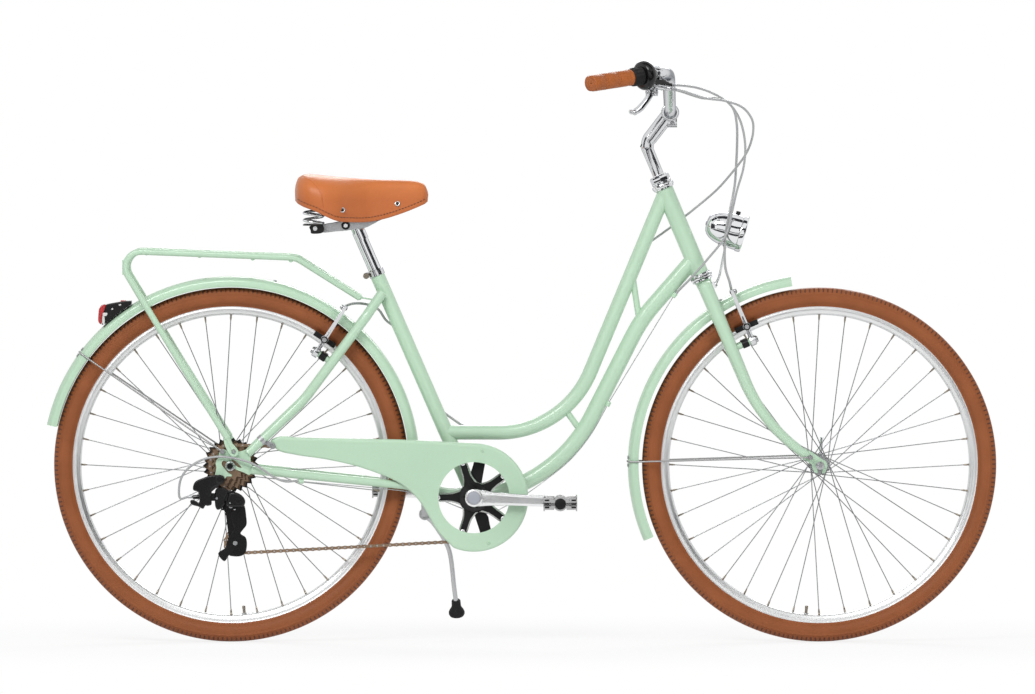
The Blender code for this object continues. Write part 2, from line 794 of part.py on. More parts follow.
# The rear rack: a hoop with two legs, its front ends joined in a plate bolted to the seat tube
RACK_POINTS = [
    REAR_AXLE + Vector((-0.1009, 0, 0.2068)),
    REAR_AXLE + Vector((-0.2023, 0, 0.3753)),
    REAR_AXLE + Vector((-0.1975, 0, 0.4222)),
    REAR_AXLE + Vector((0.1290, 0, 0.4060)),
    STAY_TOP + Vector((-0.050, 0, -0.0085)),
]
foot_y = REAR_END_INSIDE + END_PLATE + GAP
rack_meshes = []
for _, side in SIDES:
    corners = [
        beside(REAR_AXLE + RACK_EYE, side * (foot_y + 0.0045)),
        beside(REAR_AXLE + RACK_EYE + Vector((-0.012, 0, 0.025)), side * (foot_y + 0.0045)),
        beside(RACK_POINTS[0], side * 0.067),
        beside(RACK_POINTS[1] + Vector((0, 0, 0.010)), side * RACK_HALF_WIDTH),
        beside(RACK_POINTS[3] + Vector((0, 0, 0.004)), side * RACK_HALF_WIDTH),
        beside(RACK_POINTS[4], side * 0.034),
    ]
    corners[3] = meeting(
        beside(RACK_POINTS[0], 0), RACK_POINTS[1] - RACK_POINTS[0], RACK_POINTS[2],
        RACK_POINTS[3] - RACK_POINTS[2],
    )
    corners[3] = beside(corners[3], side * RACK_HALF_WIDTH)
    path = rounded(corners, [0.015, 0.200, 0.031, 0.045], steps=4)
    shares = [0.72, 0.72] + [1.0] * (len(path) - 2)
    rack_meshes.append(tube(path, RACK_TUBE, 6, shares))
front_rod = RACK_POINTS[4]
rack_meshes.append(
    cylinder(beside(front_rod, -0.036), beside(front_rod, 0.036), RACK_TUBE * 0.8, 8)
)
for share in (0.10, 0.42, 0.74, 0.97):
    spot = RACK_POINTS[2].lerp(RACK_POINTS[3], share) - Z * 0.002
    rack_meshes.append(
        cylinder(beside(spot, -RACK_HALF_WIDTH), beside(spot, RACK_HALF_WIDTH), 0.0042, 6)
    )
rearmost = min(path, key=lambda point: point.x)
plate_spot = beside(rearmost, 0) - X * (RACK_TUBE - 0.0002)
rack_meshes.append(block(plate_spot, (0.003, RACK_HALF_WIDTH * 2, 0.030)))
seat_back = SEAT_TUBE_RADIUS + GAP
tab_end = STAY_TOP - SEAT_LINE * 0.010 + back * (seat_back + 0.0010)
tab_run = tab_end - front_rod
tab_axes = Matrix((tab_run.normalized(), Y, tab_run.normalized().cross(Y))).transposed()
rack_meshes.append(block((front_rod + tab_end) / 2, (tab_run.length, 0.014, 0.003), tab_axes))
rear_rack = shaped(rack_meshes[0], add=rack_meshes[1:])
node("rear_rack", rear_rack, "mint paint")

# The tail lamp, on the mudguard
lamp_rise = REAR_MUDGUARD_RADIUS + 0.0009
lamp_base = [around(REAR_AXLE, lamp_rise, angle) for angle in (132.9, 129.4, 125.9, 122.4)]
lamp_top = [Vector((-0.7720, 0, 0.6735)), Vector((-0.8195, 0, 0.6660)), Vector((-0.8245, 0, 0.6290))]
lamp_shift = REAR_AXLE - Vector((-0.5739, 0, 0.3500))
lamp_outline = [(p.x, p.z) for p in lamp_base]
lamp_outline += [(p.x + lamp_shift.x, p.z + lamp_shift.z) for p in lamp_top]
button_spot = Vector((-0.7870, 0, 0.6712)) + lamp_shift
lamp_pocket = cylinder(
    button_spot - Z * 0.006, button_spot + Z * 0.01, 0.0052 + BEARING_GAP, 12
)
tail_housing = shaped(plate(lamp_outline, -0.027, 0.027), cut=[lamp_pocket])
node("tail_light_housing", tail_housing, "black plastic")
lens_front = [(-0.8195, 0.6660), (-0.8245, 0.6290)]
lens_outline = [
    (lens_front[0][0] - 0.0003, lens_front[0][1] + 0.0002),
    (lens_front[0][0] - 0.0095, lens_front[0][1] - 0.0006),
    (lens_front[0][0] - 0.0145, lens_front[0][1] - 0.0178),
    (lens_front[1][0] - 0.0095, lens_front[1][1] + 0.0010),
    (lens_front[1][0] - 0.0003, lens_front[1][1]),
]
lens_outline = [(x + lamp_shift.x, z + lamp_shift.z) for x, z in lens_outline]
node("tail_light_lens", plate(lens_outline, -0.026, 0.026), "red lens")
button = cylinder(button_spot - Z * 0.0035, button_spot + Z * 0.0035, 0.0052, 12)
node("tail_light_button", button, "red lens", button_spot)


# The chain guard
def guard_plate():
    """One outline from the clip at the seat stay to the ring round the chainring."""
    back_run = [
        (-0.4951, 0.3987), (-0.4768, 0.4075), (-0.4378, 0.4056), (-0.2403, 0.4017),
    ]
    top_run = [around(BRACKET, GUARD_RING_RADIUS, angle) for angle in range(86, -113, -11)]
    lower = [
        (-0.1647, 0.2190), (-0.1900, 0.2623), (-0.2076, 0.2872), (-0.2403, 0.3148), (-0.3098, 0.3440),
        (-0.3754, 0.3604), (-0.4408, 0.3703), (-0.4801, 0.3802),
    ]
    shift = BRACKET - Vector((-0.0940, 0, 0.2870))
    outline = [(x + shift.x, z + shift.z) for x, z in back_run]
    outline += [(p.x, p.z) for p in top_run]
    outline += [(x + shift.x, z + shift.z) for x, z in lower]
    return outline


def grown(outline, amount):
    """An outline with its edges moved outward."""
    points = [Vector(point) for point in outline]
    area = sum(a.x * b.y - b.x * a.y for a, b in zip(points, points[1:] + points[:1]))
    turn = 1 if area > 0 else -1
    moved = []
    for a, b, c in zip(points[-1:] + points[:-1], points, points[1:] + points[:1]):
        near, far = (b - a).normalized(), (c - b).normalized()
        normal = Vector((near.y + far.y, -near.x - far.x)) * turn
        share = max(0.5, 1 + near.dot(far))
        moved.append(b + normal * (amount / share))
    return [(p.x, p.y) for p in moved]


outline = guard_plate()
hole = [around(BRACKET, GUARD_HOLE_RADIUS, angle) for angle in range(0, 360, 12)]
hole = [(p.x, p.z) for p in hole]
guard_top = GUARD_Y - GUARD_SHEET
chain_guard = shaped(
    plate(outline, guard_top, GUARD_Y + GUARD_LIP),
    cut=[
        plate(grown(outline, -GUARD_SHEET), GUARD_Y, GUARD_Y + GUARD_LIP * 2),
        plate(hole, GUARD_Y - 0.01, GUARD_Y + 0.01),
    ],
)
node("chain_guard", chain_guard, "mint paint")

# The kickstand, behind the bottom bracket on the left
KICK_PIVOT = BRACKET + Vector((-0.0975, 0, -0.0365))
KICK_Y = 0.034
kick_bracket = shaped(
    block(BRACKET + Vector((-0.0875, 0.0055, 0.0006)), (0.030, 0.069, 0.005)),
    add=[
        cylinder(
            BRACKET + Vector((-0.0875, 0, -0.0095)), BRACKET + Vector((-0.0875, 0, -0.0010)), 0.0065, 8
        ),
        block(BRACKET + Vector((-0.0925, 0.0245, -0.0195)), (0.024, 0.009, 0.0430)),
        cylinder(
            beside(KICK_PIVOT, 0.024), beside(KICK_PIVOT, KICK_Y + 0.0115), 0.004, 10
        ),
        cylinder(
            beside(KICK_PIVOT, KICK_Y + 0.0089), beside(KICK_PIVOT, KICK_Y + 0.0125), 0.007, 8
        ),
    ],
)
node("kickstand_bracket", kick_bracket, "black steel")
KICK_FOOT = Vector((-0.1315, 0.092, 0.052)) + BRACKET - Vector((-0.0940, 0, 0.2870))
kick_start = beside(KICK_PIVOT, KICK_Y)
kick_bend = kick_start + Vector((0.012, 0.010, -0.042))
# The leg stays inside the left crank's circle and spreads out only below it
kick_knee = Vector((-0.1347, 0.0585, 0.0956))
kick_leg = shaped(
    spun(
        [(0.004 + BEARING_GAP, -0.0045), (0.0125, -0.0045), (0.0125, 0.0085),
         (0.004 + BEARING_GAP, 0.0085)],
        kick_start,
        steps=12,
    ),
    add=[
        tube(
            rounded(
                [kick_start + Vector((0.0055, 0.002, -0.0085)), kick_bend, kick_knee, KICK_FOOT],
                [0.05, 0.02],
                steps=3,
            ),
            0.0062,
            8,
        ),
        block(KICK_FOOT + Vector((0.003, 0.004, -0.008)), (0.040, 0.034, 0.012), None, 0.003),
    ],
)
node("kickstand_leg", kick_leg, "black steel", kick_start)

# The rear axle with its spacers and nuts
end_out = REAR_END_INSIDE + END_PLATE + GAP
end_in = REAR_END_INSIDE - GAP
rear_axle = turned(
    [
        (0.0045, -0.0875), (0.0085, -0.0810), (0.0105, -end_out), (AXLE_RADIUS, -end_out),
        (AXLE_RADIUS, -end_in), (0.0085, -end_in), (0.0085, -0.0652), (AXLE_RADIUS, -0.0652),
        (AXLE_RADIUS, 0.0440), (0.0085, 0.0440), (0.0085, end_in), (AXLE_RADIUS, end_in),
        (AXLE_RADIUS, end_out), (0.0105, end_out), (0.0085, 0.0810), (0.0045, 0.0875),
    ],
    REAR_AXLE,
    Y,
    8,
)
node("rear_axle", rear_axle, "steel")


# Wheels
def gathered(meshes):
    """Several separate shapes in one mesh, for one Boolean step."""
    bm = bmesh.new()
    for mesh in meshes:
        bm.from_mesh(mesh)
    mesh = bpy.data.meshes.new("shape")
    bm.to_mesh(mesh)
    bm.free()
    return mesh


def wheel_rim(centre, valve_angle, flanges):
    """The rim with its valve and its spokes, which end at the rims of the hub's flanges."""
    half = RIM_WIDTH / 2
    profile = [
        (RIM_OUTER_RADIUS, half), (0.309, half - RIM_FLANGE * 2), (0.309, RIM_FLANGE * 2 - half),
        (RIM_OUTER_RADIUS, -half),
        (0.303, -half), (RIM_INNER_RADIUS, -0.007), (RIM_INNER_RADIUS, 0.007), (0.303, half),
    ]
    body = spun(profile, centre, steps=SPOKE_COUNT, start=-90.0)
    spokes = []
    for k in range(SPOKE_COUNT):
        flange = flanges[k % 2]
        lean = 1 if (k // 2) % 2 else -1
        angle = -90 + 360 / SPOKE_COUNT * k
        reach = FLANGE_RADIUS + SPOKE_RADIUS + GAP / 2
        root = around(centre, reach, angle + lean * SPOKE_CROSS_ANGLE, flange + lean * 0.0015)
        rim_y = math.copysign(0.003, flange) + lean * 0.0008
        edge = around(centre, RIM_INNER_RADIUS + 0.002, angle, rim_y)
        spokes.append(cylinder(root, edge, SPOKE_RADIUS, 3))
    valve = cylinder(
        around(centre, RIM_INNER_RADIUS - VALVE_LENGTH, valve_angle),
        around(centre, RIM_INNER_RADIUS + 0.003, valve_angle),
        VALVE_RADIUS,
        6,
    )
    return shaped(body, add=[gathered([*spokes, valve])])


def tyre(centre):
    """The tyre with its two beads inside the rim's flanges."""
    half = TYRE_WIDTH / 2
    profile = [
        (TYRE_BEAD_RADIUS, 0.0077), (0.3190, 0.0096), (0.3330, half), (TYRE_RADIUS, 0.0070),
    ]
    profile += [(r, -y) for r, y in profile[::-1]]
    return spun(profile, centre, steps=SPOKE_COUNT, start=-90.0)


def hub(centre, flanges, low, high, bore):
    """A hub shell with two flanges."""
    half = FLANGE_THICKNESS / 2
    right, left = flanges
    profile = [
        (bore, low), (0.017, low), (0.017, right - half), (FLANGE_RADIUS, right - half),
        (FLANGE_RADIUS, right + half), (HUB_RADIUS, right + half), (HUB_RADIUS, left - half),
        (FLANGE_RADIUS, left - half), (FLANGE_RADIUS, left + half), (0.015, left + half),
        (0.015, high), (bore, high),
    ]
    return spun(profile, centre, steps=12)


node("rear_rim", wheel_rim(REAR_AXLE, REAR_VALVE_ANGLE, REAR_FLANGES), "polished alloy", REAR_AXLE)
node("rear_tyre", tyre(REAR_AXLE), "brown rubber", REAR_AXLE)
rear_bore = bored(AXLE_RADIUS + BEARING_GAP, 12)
node("rear_hub", hub(REAR_AXLE, REAR_FLANGES, -0.0267, 0.0436, rear_bore), "steel", REAR_AXLE)
node(
    "front_rim", wheel_rim(FRONT_AXLE, FRONT_VALVE_ANGLE, FRONT_FLANGES), "polished alloy", FRONT_AXLE
)
node("front_tyre", tyre(FRONT_AXLE), "brown rubber", FRONT_AXLE)
front_bore = bored(FRONT_AXLE_RADIUS + BEARING_GAP, 12)
node(
    "front_hub", hub(FRONT_AXLE, FRONT_FLANGES, -0.0400, 0.0400, front_bore), "polished alloy",
    FRONT_AXLE,
)


# The chain's line, as pins one pitch apart on the toothed wheels and on the runs between them
def pitch_radius(teeth):
    return PITCH / (2 * math.sin(math.pi / teeth))


def flat(point):
    return complex(point.x, point.z)


CAGE_PIVOT = REAR_AXLE + Vector((0.0150, -CHAIN_LINE, -0.0690))
GUIDE_OFFSET = complex(-0.0130, -0.0124)
TENSION_OFFSET = complex(0.0033, -0.0840)


def chain_line(swing):
    """The runs and arcs of the chain for a swing of the derailleur's cage."""
    turn = cmath.rect(1.0, swing)
    hub_point = flat(CAGE_PIVOT)
    wheels = [
        (flat(BRACKET), pitch_radius(RING_TEETH), 1),
        (hub_point + TENSION_OFFSET * turn, pitch_radius(PULLEY_TEETH), 1),
        (hub_point + GUIDE_OFFSET * turn, pitch_radius(PULLEY_TEETH), -1),
        (flat(REAR_AXLE), pitch_radius(SPROCKETS[ENGAGED_SPROCKET]), 1),
    ]
    leaves, arrives = [], []
    for (c1, r1, s1), (c2, r2, s2) in zip(wheels, wheels[1:] + wheels[:1]):
        across = c2 - c1
        step = s2 * r2 - s1 * r1
        run = math.sqrt(abs(across) ** 2 - step**2)
        way = across / complex(run, -step)
        leaves.append(c1 + 1j * way * s1 * r1)
        arrives.append(c2 + 1j * way * s2 * r2)
    arrives = arrives[-1:] + arrives[:-1]
    runs = []
    for i, (centre, radius, sense) in enumerate(wheels):
        first = cmath.phase(arrives[i] - centre)
        last = cmath.phase(leaves[i] - centre)
        sweep = ((first - last) * sense) % (2 * math.pi)
        runs.append((radius * sweep, centre, radius, first, sense))
        target = arrives[(i + 1) % len(wheels)]
        runs.append((abs(target - leaves[i]), leaves[i], target, None, None))
    return wheels, runs


def chain_place(runs, total, distance):
    """The point at a distance along the chain's line."""
    distance %= total
    for length, start, end, first, sense in runs:
        if distance <= length:
            if sense is None:
                return start + (end - start) * (distance / length)
            return start + cmath.rect(end, first - sense * distance / end)
        distance -= length
    return chain_place(runs, total, 0.0)


def chain_pins(swing, count):
    """The pins, and how far the last one is from meeting the first again."""
    wheels, runs = chain_line(swing)
    total = sum(run[0] for run in runs)
    spot = 0.010
    pins = []
    for _ in range(count):
        pins.append(chain_place(runs, total, spot))
        low, high = spot + PITCH * 0.98, spot + PITCH * 1.10
        for _ in range(34):
            middle = (low + high) / 2
            if abs(chain_place(runs, total, middle) - pins[-1]) < PITCH:
                low = middle
            else:
                high = middle
        spot = (low + high) / 2
    return pins, spot - total - 0.010, wheels


def settle_cage():
    """The cage's swing that takes up the chain to an even number of whole links."""
    total = sum(run[0] for run in chain_line(0.0)[1])
    count = 2 * round(total / PITCH / 2)
    best = None
    for links in (count, count - 2, count + 2):
        low, high = -0.45, 0.45
        if chain_pins(low, links)[1] * chain_pins(high, links)[1] > 0:
            continue
        rising = chain_pins(high, links)[1] > 0
        for _ in range(30):
            middle = (low + high) / 2
            if (chain_pins(middle, links)[1] > 0) == rising:
                high = middle
            else:
                low = middle
        if best is None or abs(middle) < abs(best[0]):
            best = (middle, links)
    return best


CAGE_SWING, LINK_COUNT = settle_cage()
PINS, _, CHAIN_WHEELS = chain_pins(CAGE_SWING, LINK_COUNT)
print("chain links", LINK_COUNT, "cage swing", round(math.degrees(CAGE_SWING), 2))


def wheel_phase(index):
    """The angle of a pin on a toothed wheel."""
    centre, radius, _ = CHAIN_WHEELS[index]
    on_wheel = [pin for pin in PINS if abs(abs(pin - centre) - radius) < 1e-6]
    return cmath.phase(on_wheel[len(on_wheel) // 2] - centre)


def toothed(centre, teeth, phase, full=True):
    """The outline of a toothed wheel with a pin's angle as its phase."""
    radius = pitch_radius(teeth)
    points = []
    for k in range(teeth):
        pin = cmath.rect(1.0, phase + 2 * math.pi * k / teeth)
        tip = cmath.rect(1.0, phase + 2 * math.pi * (k + 0.5) / teeth)
        if full:
            points.append(pin * complex(radius - TOOTH_DEPTH, -TOOTH_ROOT))
            points.append(pin * complex(radius - TOOTH_DEPTH, TOOTH_ROOT))
            points.append(tip * (radius + TOOTH_RISE))
        else:
            points.append(pin * (radius - TOOTH_DEPTH))
            points.append(tip * (radius + TOOTH_RISE))
    return [(centre.real + p.real, centre.imag + p.imag) for p in points]


def sprocket(centre, teeth, phase, y, full=True):
    half = TOOTH_THICKNESS / 2
    return plate(toothed(centre, teeth, phase, full), y - half, y + half)


def chain():
    """The chain as one closed ladder of link plates, the plates joined at every second pin."""
    bm = bmesh.new()
    count = len(PINS)
    rows = []
    for k, pin in enumerate(PINS):
        way = PINS[(k + 1) % count] - PINS[k - 1]
        way /= abs(way)
        rise = way * 1j
        if k % 2 == 0:
            stations = [(-1, OUTER_LINK_INSIDE, "start"), (1, INNER_LINK_INSIDE, "end")]
        else:
            stations = [(0, (OUTER_LINK_INSIDE + INNER_LINK_INSIDE) / 2, "pass")]
        for step, inside, kind in stations:
            spot = pin + way * (step * LINK_PIN_ZONE)
            section = {"kind": kind}
            for side in (-1, 1):
                ring = []
                for y, z in ((inside, -1), (inside, 1), (inside + LINK_PLATE, 1), (inside + LINK_PLATE, -1)):
                    at = spot + rise * (z * LINK_HALF_HEIGHT)
                    ring.append(bm.verts.new((at.real, -CHAIN_LINE + side * y, at.imag)))
                section[side] = ring
            rows.append(section)
    for near, far in zip(rows, rows[1:] + rows[:1]):
        joined = near["kind"] == "start"
        for side in (-1, 1):
            for j in range(1 if joined else 0, 4):
                k = (j + 1) % 4
                bm.faces.new((near[side][j], near[side][k], far[side][k], far[side][j]))
        if joined:
            for j in (0, 1):
                bm.faces.new((near[-1][j], near[1][j], far[1][j], far[-1][j]))
            for end in (near, far):
                bm.faces.new((end[-1][0], end[-1][1], end[1][1], end[1][0]))
    return tidied(bm)


node("chain", chain(), "bronze steel")

# The freewheel
wheel_at = flat(REAR_AXLE)
rear_phase = wheel_phase(3)
first_y = -CHAIN_LINE + ENGAGED_SPROCKET * SPROCKET_SPACING
last_y = first_y - (len(SPROCKETS) - 1) * SPROCKET_SPACING
core = cylinder(REAR_AXLE - Y * 0.0270, REAR_AXLE + Y * (last_y - 0.0015), FREEWHEEL_CORE, 10)
core_bore = cylinder(
    REAR_AXLE - Y * 0.0200, REAR_AXLE + Y * (last_y - 0.0050), AXLE_RADIUS + BEARING_GAP, 10
)
cogs = []
for index, teeth in enumerate(SPROCKETS):
    spacing = first_y - index * SPROCKET_SPACING
    cogs.append(sprocket(wheel_at, teeth, rear_phase, spacing, index == ENGAGED_SPROCKET))
freewheel = shaped(core, add=[gathered(cogs)], cut=[core_bore])
node("freewheel", freewheel, "bronze steel", REAR_AXLE)

# Cranks, chainring and pedals
ring_at = flat(BRACKET)
chainring = shaped(
    sprocket(ring_at, RING_TEETH, wheel_phase(0), -CHAIN_LINE),
    cut=[plate([(p.x, p.z) for p in [around(BRACKET, RING_HOLE_RADIUS, a) for a in range(0, 360, 12)]],
               -0.060, -0.040)],
)
node("chainring", chainring, "black steel", BRACKET)


def crank_arm(side, angle):
    """A tapered arm from the boss to the pedal's eye, with the pedal's pin."""
    end = around(BRACKET, CRANK_LENGTH, angle)
    out = around(Vector(), 1.0, angle)
    rings = []
    for reach, half in ((0.004, 0.0165), (0.030, 0.0125), (0.150, 0.0105), (0.182, 0.0085)):
        ring = []
        for up, y in ((-1, 0), (1, 0), (1, 1), (-1, 1)):
            spot = BRACKET + out * reach + out.cross(Y) * (up * half)
            ring.append(beside(spot, side * (CRANK_INSIDE + y * CRANK_THICKNESS)))
        rings.append(ring)
    pin = cylinder(
        beside(end, side * (CRANK_INSIDE + 0.002)),
        beside(end, side * (CRANK_INSIDE + CRANK_THICKNESS + 0.0035 + PEDAL_WIDTH - 0.006)),
        PEDAL_PIN_RADIUS,
        10,
    )
    return lofted(rings), pin


def pedal(side, angle):
    """A cage with two bars on a barrel that turns on the crank's pin."""
    centre = around(BRACKET, CRANK_LENGTH, angle)
    inside = CRANK_INSIDE + CRANK_THICKNESS + 0.0035
    middle = side * (inside + PEDAL_WIDTH / 2)
    body = block(beside(centre, middle), (PEDAL_LENGTH, PEDAL_WIDTH, PEDAL_HEIGHT), None, 0.004)
    pockets = [
        block(
            beside(centre, middle) + X * (way * (PEDAL_LENGTH / 4 + 0.0035)),
            (PEDAL_LENGTH / 2 - 0.017, PEDAL_WIDTH - 0.020, PEDAL_HEIGHT * 2),
        )
        for way in (-1, 1)
    ]
    bore = cylinder(
        beside(centre, side * (inside - 0.005)),
        beside(centre, side * (inside + PEDAL_WIDTH - 0.0055)),
        PEDAL_PIN_RADIUS + BEARING_GAP,
        12,
    )
    return shaped(body, cut=[gathered(pockets), bore]), beside(centre, middle)


right_arm, right_pin = crank_arm(RIGHT, CRANK_FORWARD_ANGLE)
left_arm, left_pin = crank_arm(LEFT, CRANK_FORWARD_ANGLE + 180)
spider = []
spider_y = -(CHAIN_LINE + TOOTH_THICKNESS / 2 + GAP)
for arm_angle in range(-180, 180, 72):
    out = around(Vector(), 1.0, arm_angle)
    axes = Matrix((out, Y, out.cross(Y))).transposed()
    reach = 0.0765
    spider.append(
        block(
            beside(BRACKET, spider_y - 0.002) + out * (reach / 2 + 0.005), (reach - 0.010, 0.004, 0.017), axes
        )
    )
boss_out = -(CRANK_INSIDE + CRANK_THICKNESS + 0.0015)
boss = cylinder(
    beside(BRACKET, -(SHELL_HALF_WIDTH + 0.0065)), beside(BRACKET, boss_out), CRANK_BOSS_RADIUS, 16
)
crank_right = shaped(
    boss,
    add=[right_arm, right_pin, *spider],
    cut=[
        cylinder(BRACKET - Y * 0.030, BRACKET - Y * 0.0703, SPINDLE_RADIUS + GAP, 12),
    ],
)
node("crank_right", crank_right, "polished alloy", BRACKET)
boss_left = cylinder(
    beside(BRACKET, SHELL_HALF_WIDTH + 0.0065),
    beside(BRACKET, CRANK_INSIDE + CRANK_THICKNESS + 0.0015),
    CRANK_BOSS_RADIUS,
    16,
)
spindle = cylinder(BRACKET - Y * 0.0700, BRACKET + Y * 0.050, SPINDLE_RADIUS, 12)
node("crank_left", shaped(boss_left, add=[left_arm, left_pin, spindle]), "polished alloy", BRACKET)
for name, side, angle in (("right", RIGHT, 0), ("left", LEFT, 180)):
    mesh, place = pedal(side, CRANK_FORWARD_ANGLE + angle)
    node("pedal_" + name, mesh, "black plastic", place)


# The derailleur: mounting body, two links, the knuckle with the cage's spring, cage and pulleys
HANGER = REAR_AXLE + Vector((-0.0205, 0, -0.0265))
LINK_PLANE = CAGE_PIVOT.z + 0.0075
KNUCKLE_PIN = Vector((CAGE_PIVOT.x - 0.0160, LINK_Y, LINK_PLANE))
MOUNT_PIN = KNUCKLE_PIN - X * LINK_LENGTH
half_link = LINK_HEIGHT / 2
pin_radius = 0.0023


def link_pins(base):
    """Two upright pins, one for each link."""
    meshes = []
    for way in (-1, 1):
        spot = base + Y * (way * LINK_SPREAD / 2)
        tall = Z * (half_link + 0.0025)
        meshes.append(cylinder(spot - tall, spot + tall, pin_radius, 6))
    return meshes


def link_forks(base, way):
    """The plates above and below the links' eyes, and the wall that joins them."""
    tall = half_link + GAP + 0.0015
    size = (0.015, LINK_SPREAD + 0.0075, 0.003)
    spot = base + X * (way * 0.0020)
    wall = base + X * (way * 0.0081)
    return [
        block(spot + Z * tall, size),
        block(spot - Z * tall, size),
        block(wall, (0.0030, LINK_SPREAD + 0.0070, tall * 2 + 0.0025)),
        *link_pins(base),
    ]


hang_y = -(REAR_END_INSIDE + END_PLATE + GAP)
arm_y = hang_y - 0.0020
mount_arm = lofted(
    [
        [
            spot + Z * (up * 0.0085) + Y * y
            for up, y in ((-1, arm_y), (1, arm_y), (1, arm_y - 0.007), (-1, arm_y - 0.007))
        ]
        for spot in (
            Vector((HANGER.x + 0.004, 0, HANGER.z + 0.001)),
            Vector((MOUNT_PIN.x - 0.011, 0, MOUNT_PIN.z + 0.003)),
        )
    ]
)
mount_foot = block(
    Vector((MOUNT_PIN.x - 0.0095, (hang_y - 0.008 + LINK_Y + 0.008) / 2, MOUNT_PIN.z)),
    (0.006, -(hang_y - 0.008 - LINK_Y - 0.008), 0.019),
)
derailleur_mount = shaped(
    mount_arm,
    add=[
        mount_foot,
        cylinder(MOUNT_PIN - X * 0.0090, MOUNT_PIN - X * 0.0290, 0.0052, 8, 0.0040),
        cylinder(beside(HANGER, hang_y), beside(HANGER, hang_y - 0.0115), 0.0095, 10),
        *link_forks(MOUNT_PIN, -1),
    ],
)
node("derailleur_mount_knuckle", derailleur_mount, "black plastic")


def derailleur_link(way):
    """A bar with an upright eye at each end."""
    eyes = []
    bores = []
    offset = Y * (way * LINK_SPREAD / 2)
    for base in (MOUNT_PIN, KNUCKLE_PIN):
        spot = base + offset
        eyes.append(cylinder(spot - Z * half_link, spot + Z * half_link, 0.0038, 8))
        deep = Z * (half_link + 0.002)
        bores.append(cylinder(spot - deep, spot + deep, pin_radius + BEARING_GAP, 6))
    bar = block(
        (MOUNT_PIN + KNUCKLE_PIN) / 2 + offset, (LINK_LENGTH - 0.004, 0.0034, LINK_HEIGHT - 0.002)
    )
    return shaped(bar, add=eyes, cut=bores)


outer_pin = MOUNT_PIN - Y * LINK_SPREAD / 2
inner_pin = MOUNT_PIN + Y * LINK_SPREAD / 2
node("derailleur_outer_link", derailleur_link(-1), "black plastic", outer_pin)
node("derailleur_inner_link", derailleur_link(1), "black plastic", inner_pin)
cage_outside = -(CHAIN_LINE + CAGE_HALF_WIDTH + CAGE_PLATE)
barrel_in = cage_outside - GAP
barrel = cylinder(beside(CAGE_PIVOT, barrel_in), beside(CAGE_PIVOT, barrel_in - 0.0175), 0.0110, 14)
socket = cylinder(
    beside(CAGE_PIVOT, barrel_in + 0.002), beside(CAGE_PIVOT, barrel_in - 0.0110), 0.0050 + BEARING_GAP, 12
)
knuckle = shaped(barrel, add=link_forks(KNUCKLE_PIN, 1), cut=[socket])
node("derailleur_cage_knuckle", knuckle, "black plastic", KNUCKLE_PIN - Y * LINK_SPREAD / 2)

swing = cmath.rect(1.0, CAGE_SWING)


def cage_point(offset, y):
    """A point of the cage after it has swung to take up the chain."""
    spot = flat(CAGE_PIVOT) + offset * swing
    return Vector((spot.real, y, spot.imag))


def cage_plate(low, corners):
    outline = [cage_point(corner, 0) for corner in corners]
    return plate([(p.x, p.z) for p in outline], low, low + CAGE_PLATE)


outer_shape = [
    complex(-0.024, -0.006), complex(-0.023, -0.022), complex(-0.008, -0.086), complex(0.003, -0.096),
    complex(0.015, -0.090), complex(0.016, -0.078), complex(0.002, -0.030), complex(0.011, -0.004),
    complex(0.008, 0.009), complex(-0.006, 0.010),
]
inner_shape = outer_shape[:6] + [complex(0.000, -0.026), complex(-0.003, -0.006), complex(-0.013, 0.002)]
cage_in = -(CHAIN_LINE - CAGE_HALF_WIDTH)
bolts = []
for offset in (GUIDE_OFFSET, TENSION_OFFSET):
    bolts.append(
        cylinder(
            cage_point(offset, cage_outside + 0.0002), cage_point(offset, cage_in + CAGE_PLATE - 0.0002),
            PULLEY_BOLT_RADIUS, 8,
        )
    )
cage = shaped(
    cage_plate(cage_outside, outer_shape),
    add=[
        cage_plate(cage_in, inner_shape),
        *bolts,
        cylinder(
            cage_point(0, cage_outside + 0.0006), cage_point(0, barrel_in - 0.0100), 0.0050, 10
        ),
    ],
)
node("derailleur_cage", cage, "black plastic", beside(CAGE_PIVOT, cage_outside))
for name, index, offset in (("tension", 1, TENSION_OFFSET), ("guide", 2, GUIDE_OFFSET)):
    centre = cage_point(offset, -CHAIN_LINE)
    body = cylinder(centre - Y * 0.0046, centre + Y * 0.0046, 0.0075, 10)
    bore = cylinder(centre - Y * 0.006, centre + Y * 0.006, PULLEY_BOLT_RADIUS + BEARING_GAP, 8)
    wheel = sprocket(CHAIN_WHEELS[index][0], PULLEY_TEETH, wheel_phase(index), -CHAIN_LINE)
    node(name + "_pulley", shaped(wheel, add=[body], cut=[bore]), "black plastic", centre)

# The fork
CROWN_TOP = STEER_FOOT + STEER_LINE * (FORK_LENGTH - GAP)
STEERER_TOP = HEAD_TOP + STEER_LINE * (CUP_HEIGHT + LOCKNUT_HEIGHT - 0.002)
crown_axes = Matrix((Y.cross(STEER_LINE), Y, STEER_LINE)).transposed()
FORK_END_MIDDLE = FRONT_END_INSIDE + END_PLATE / 2
BLADE_FOOT = FRONT_AXLE + Vector((-0.0244, 0, 0.0172))


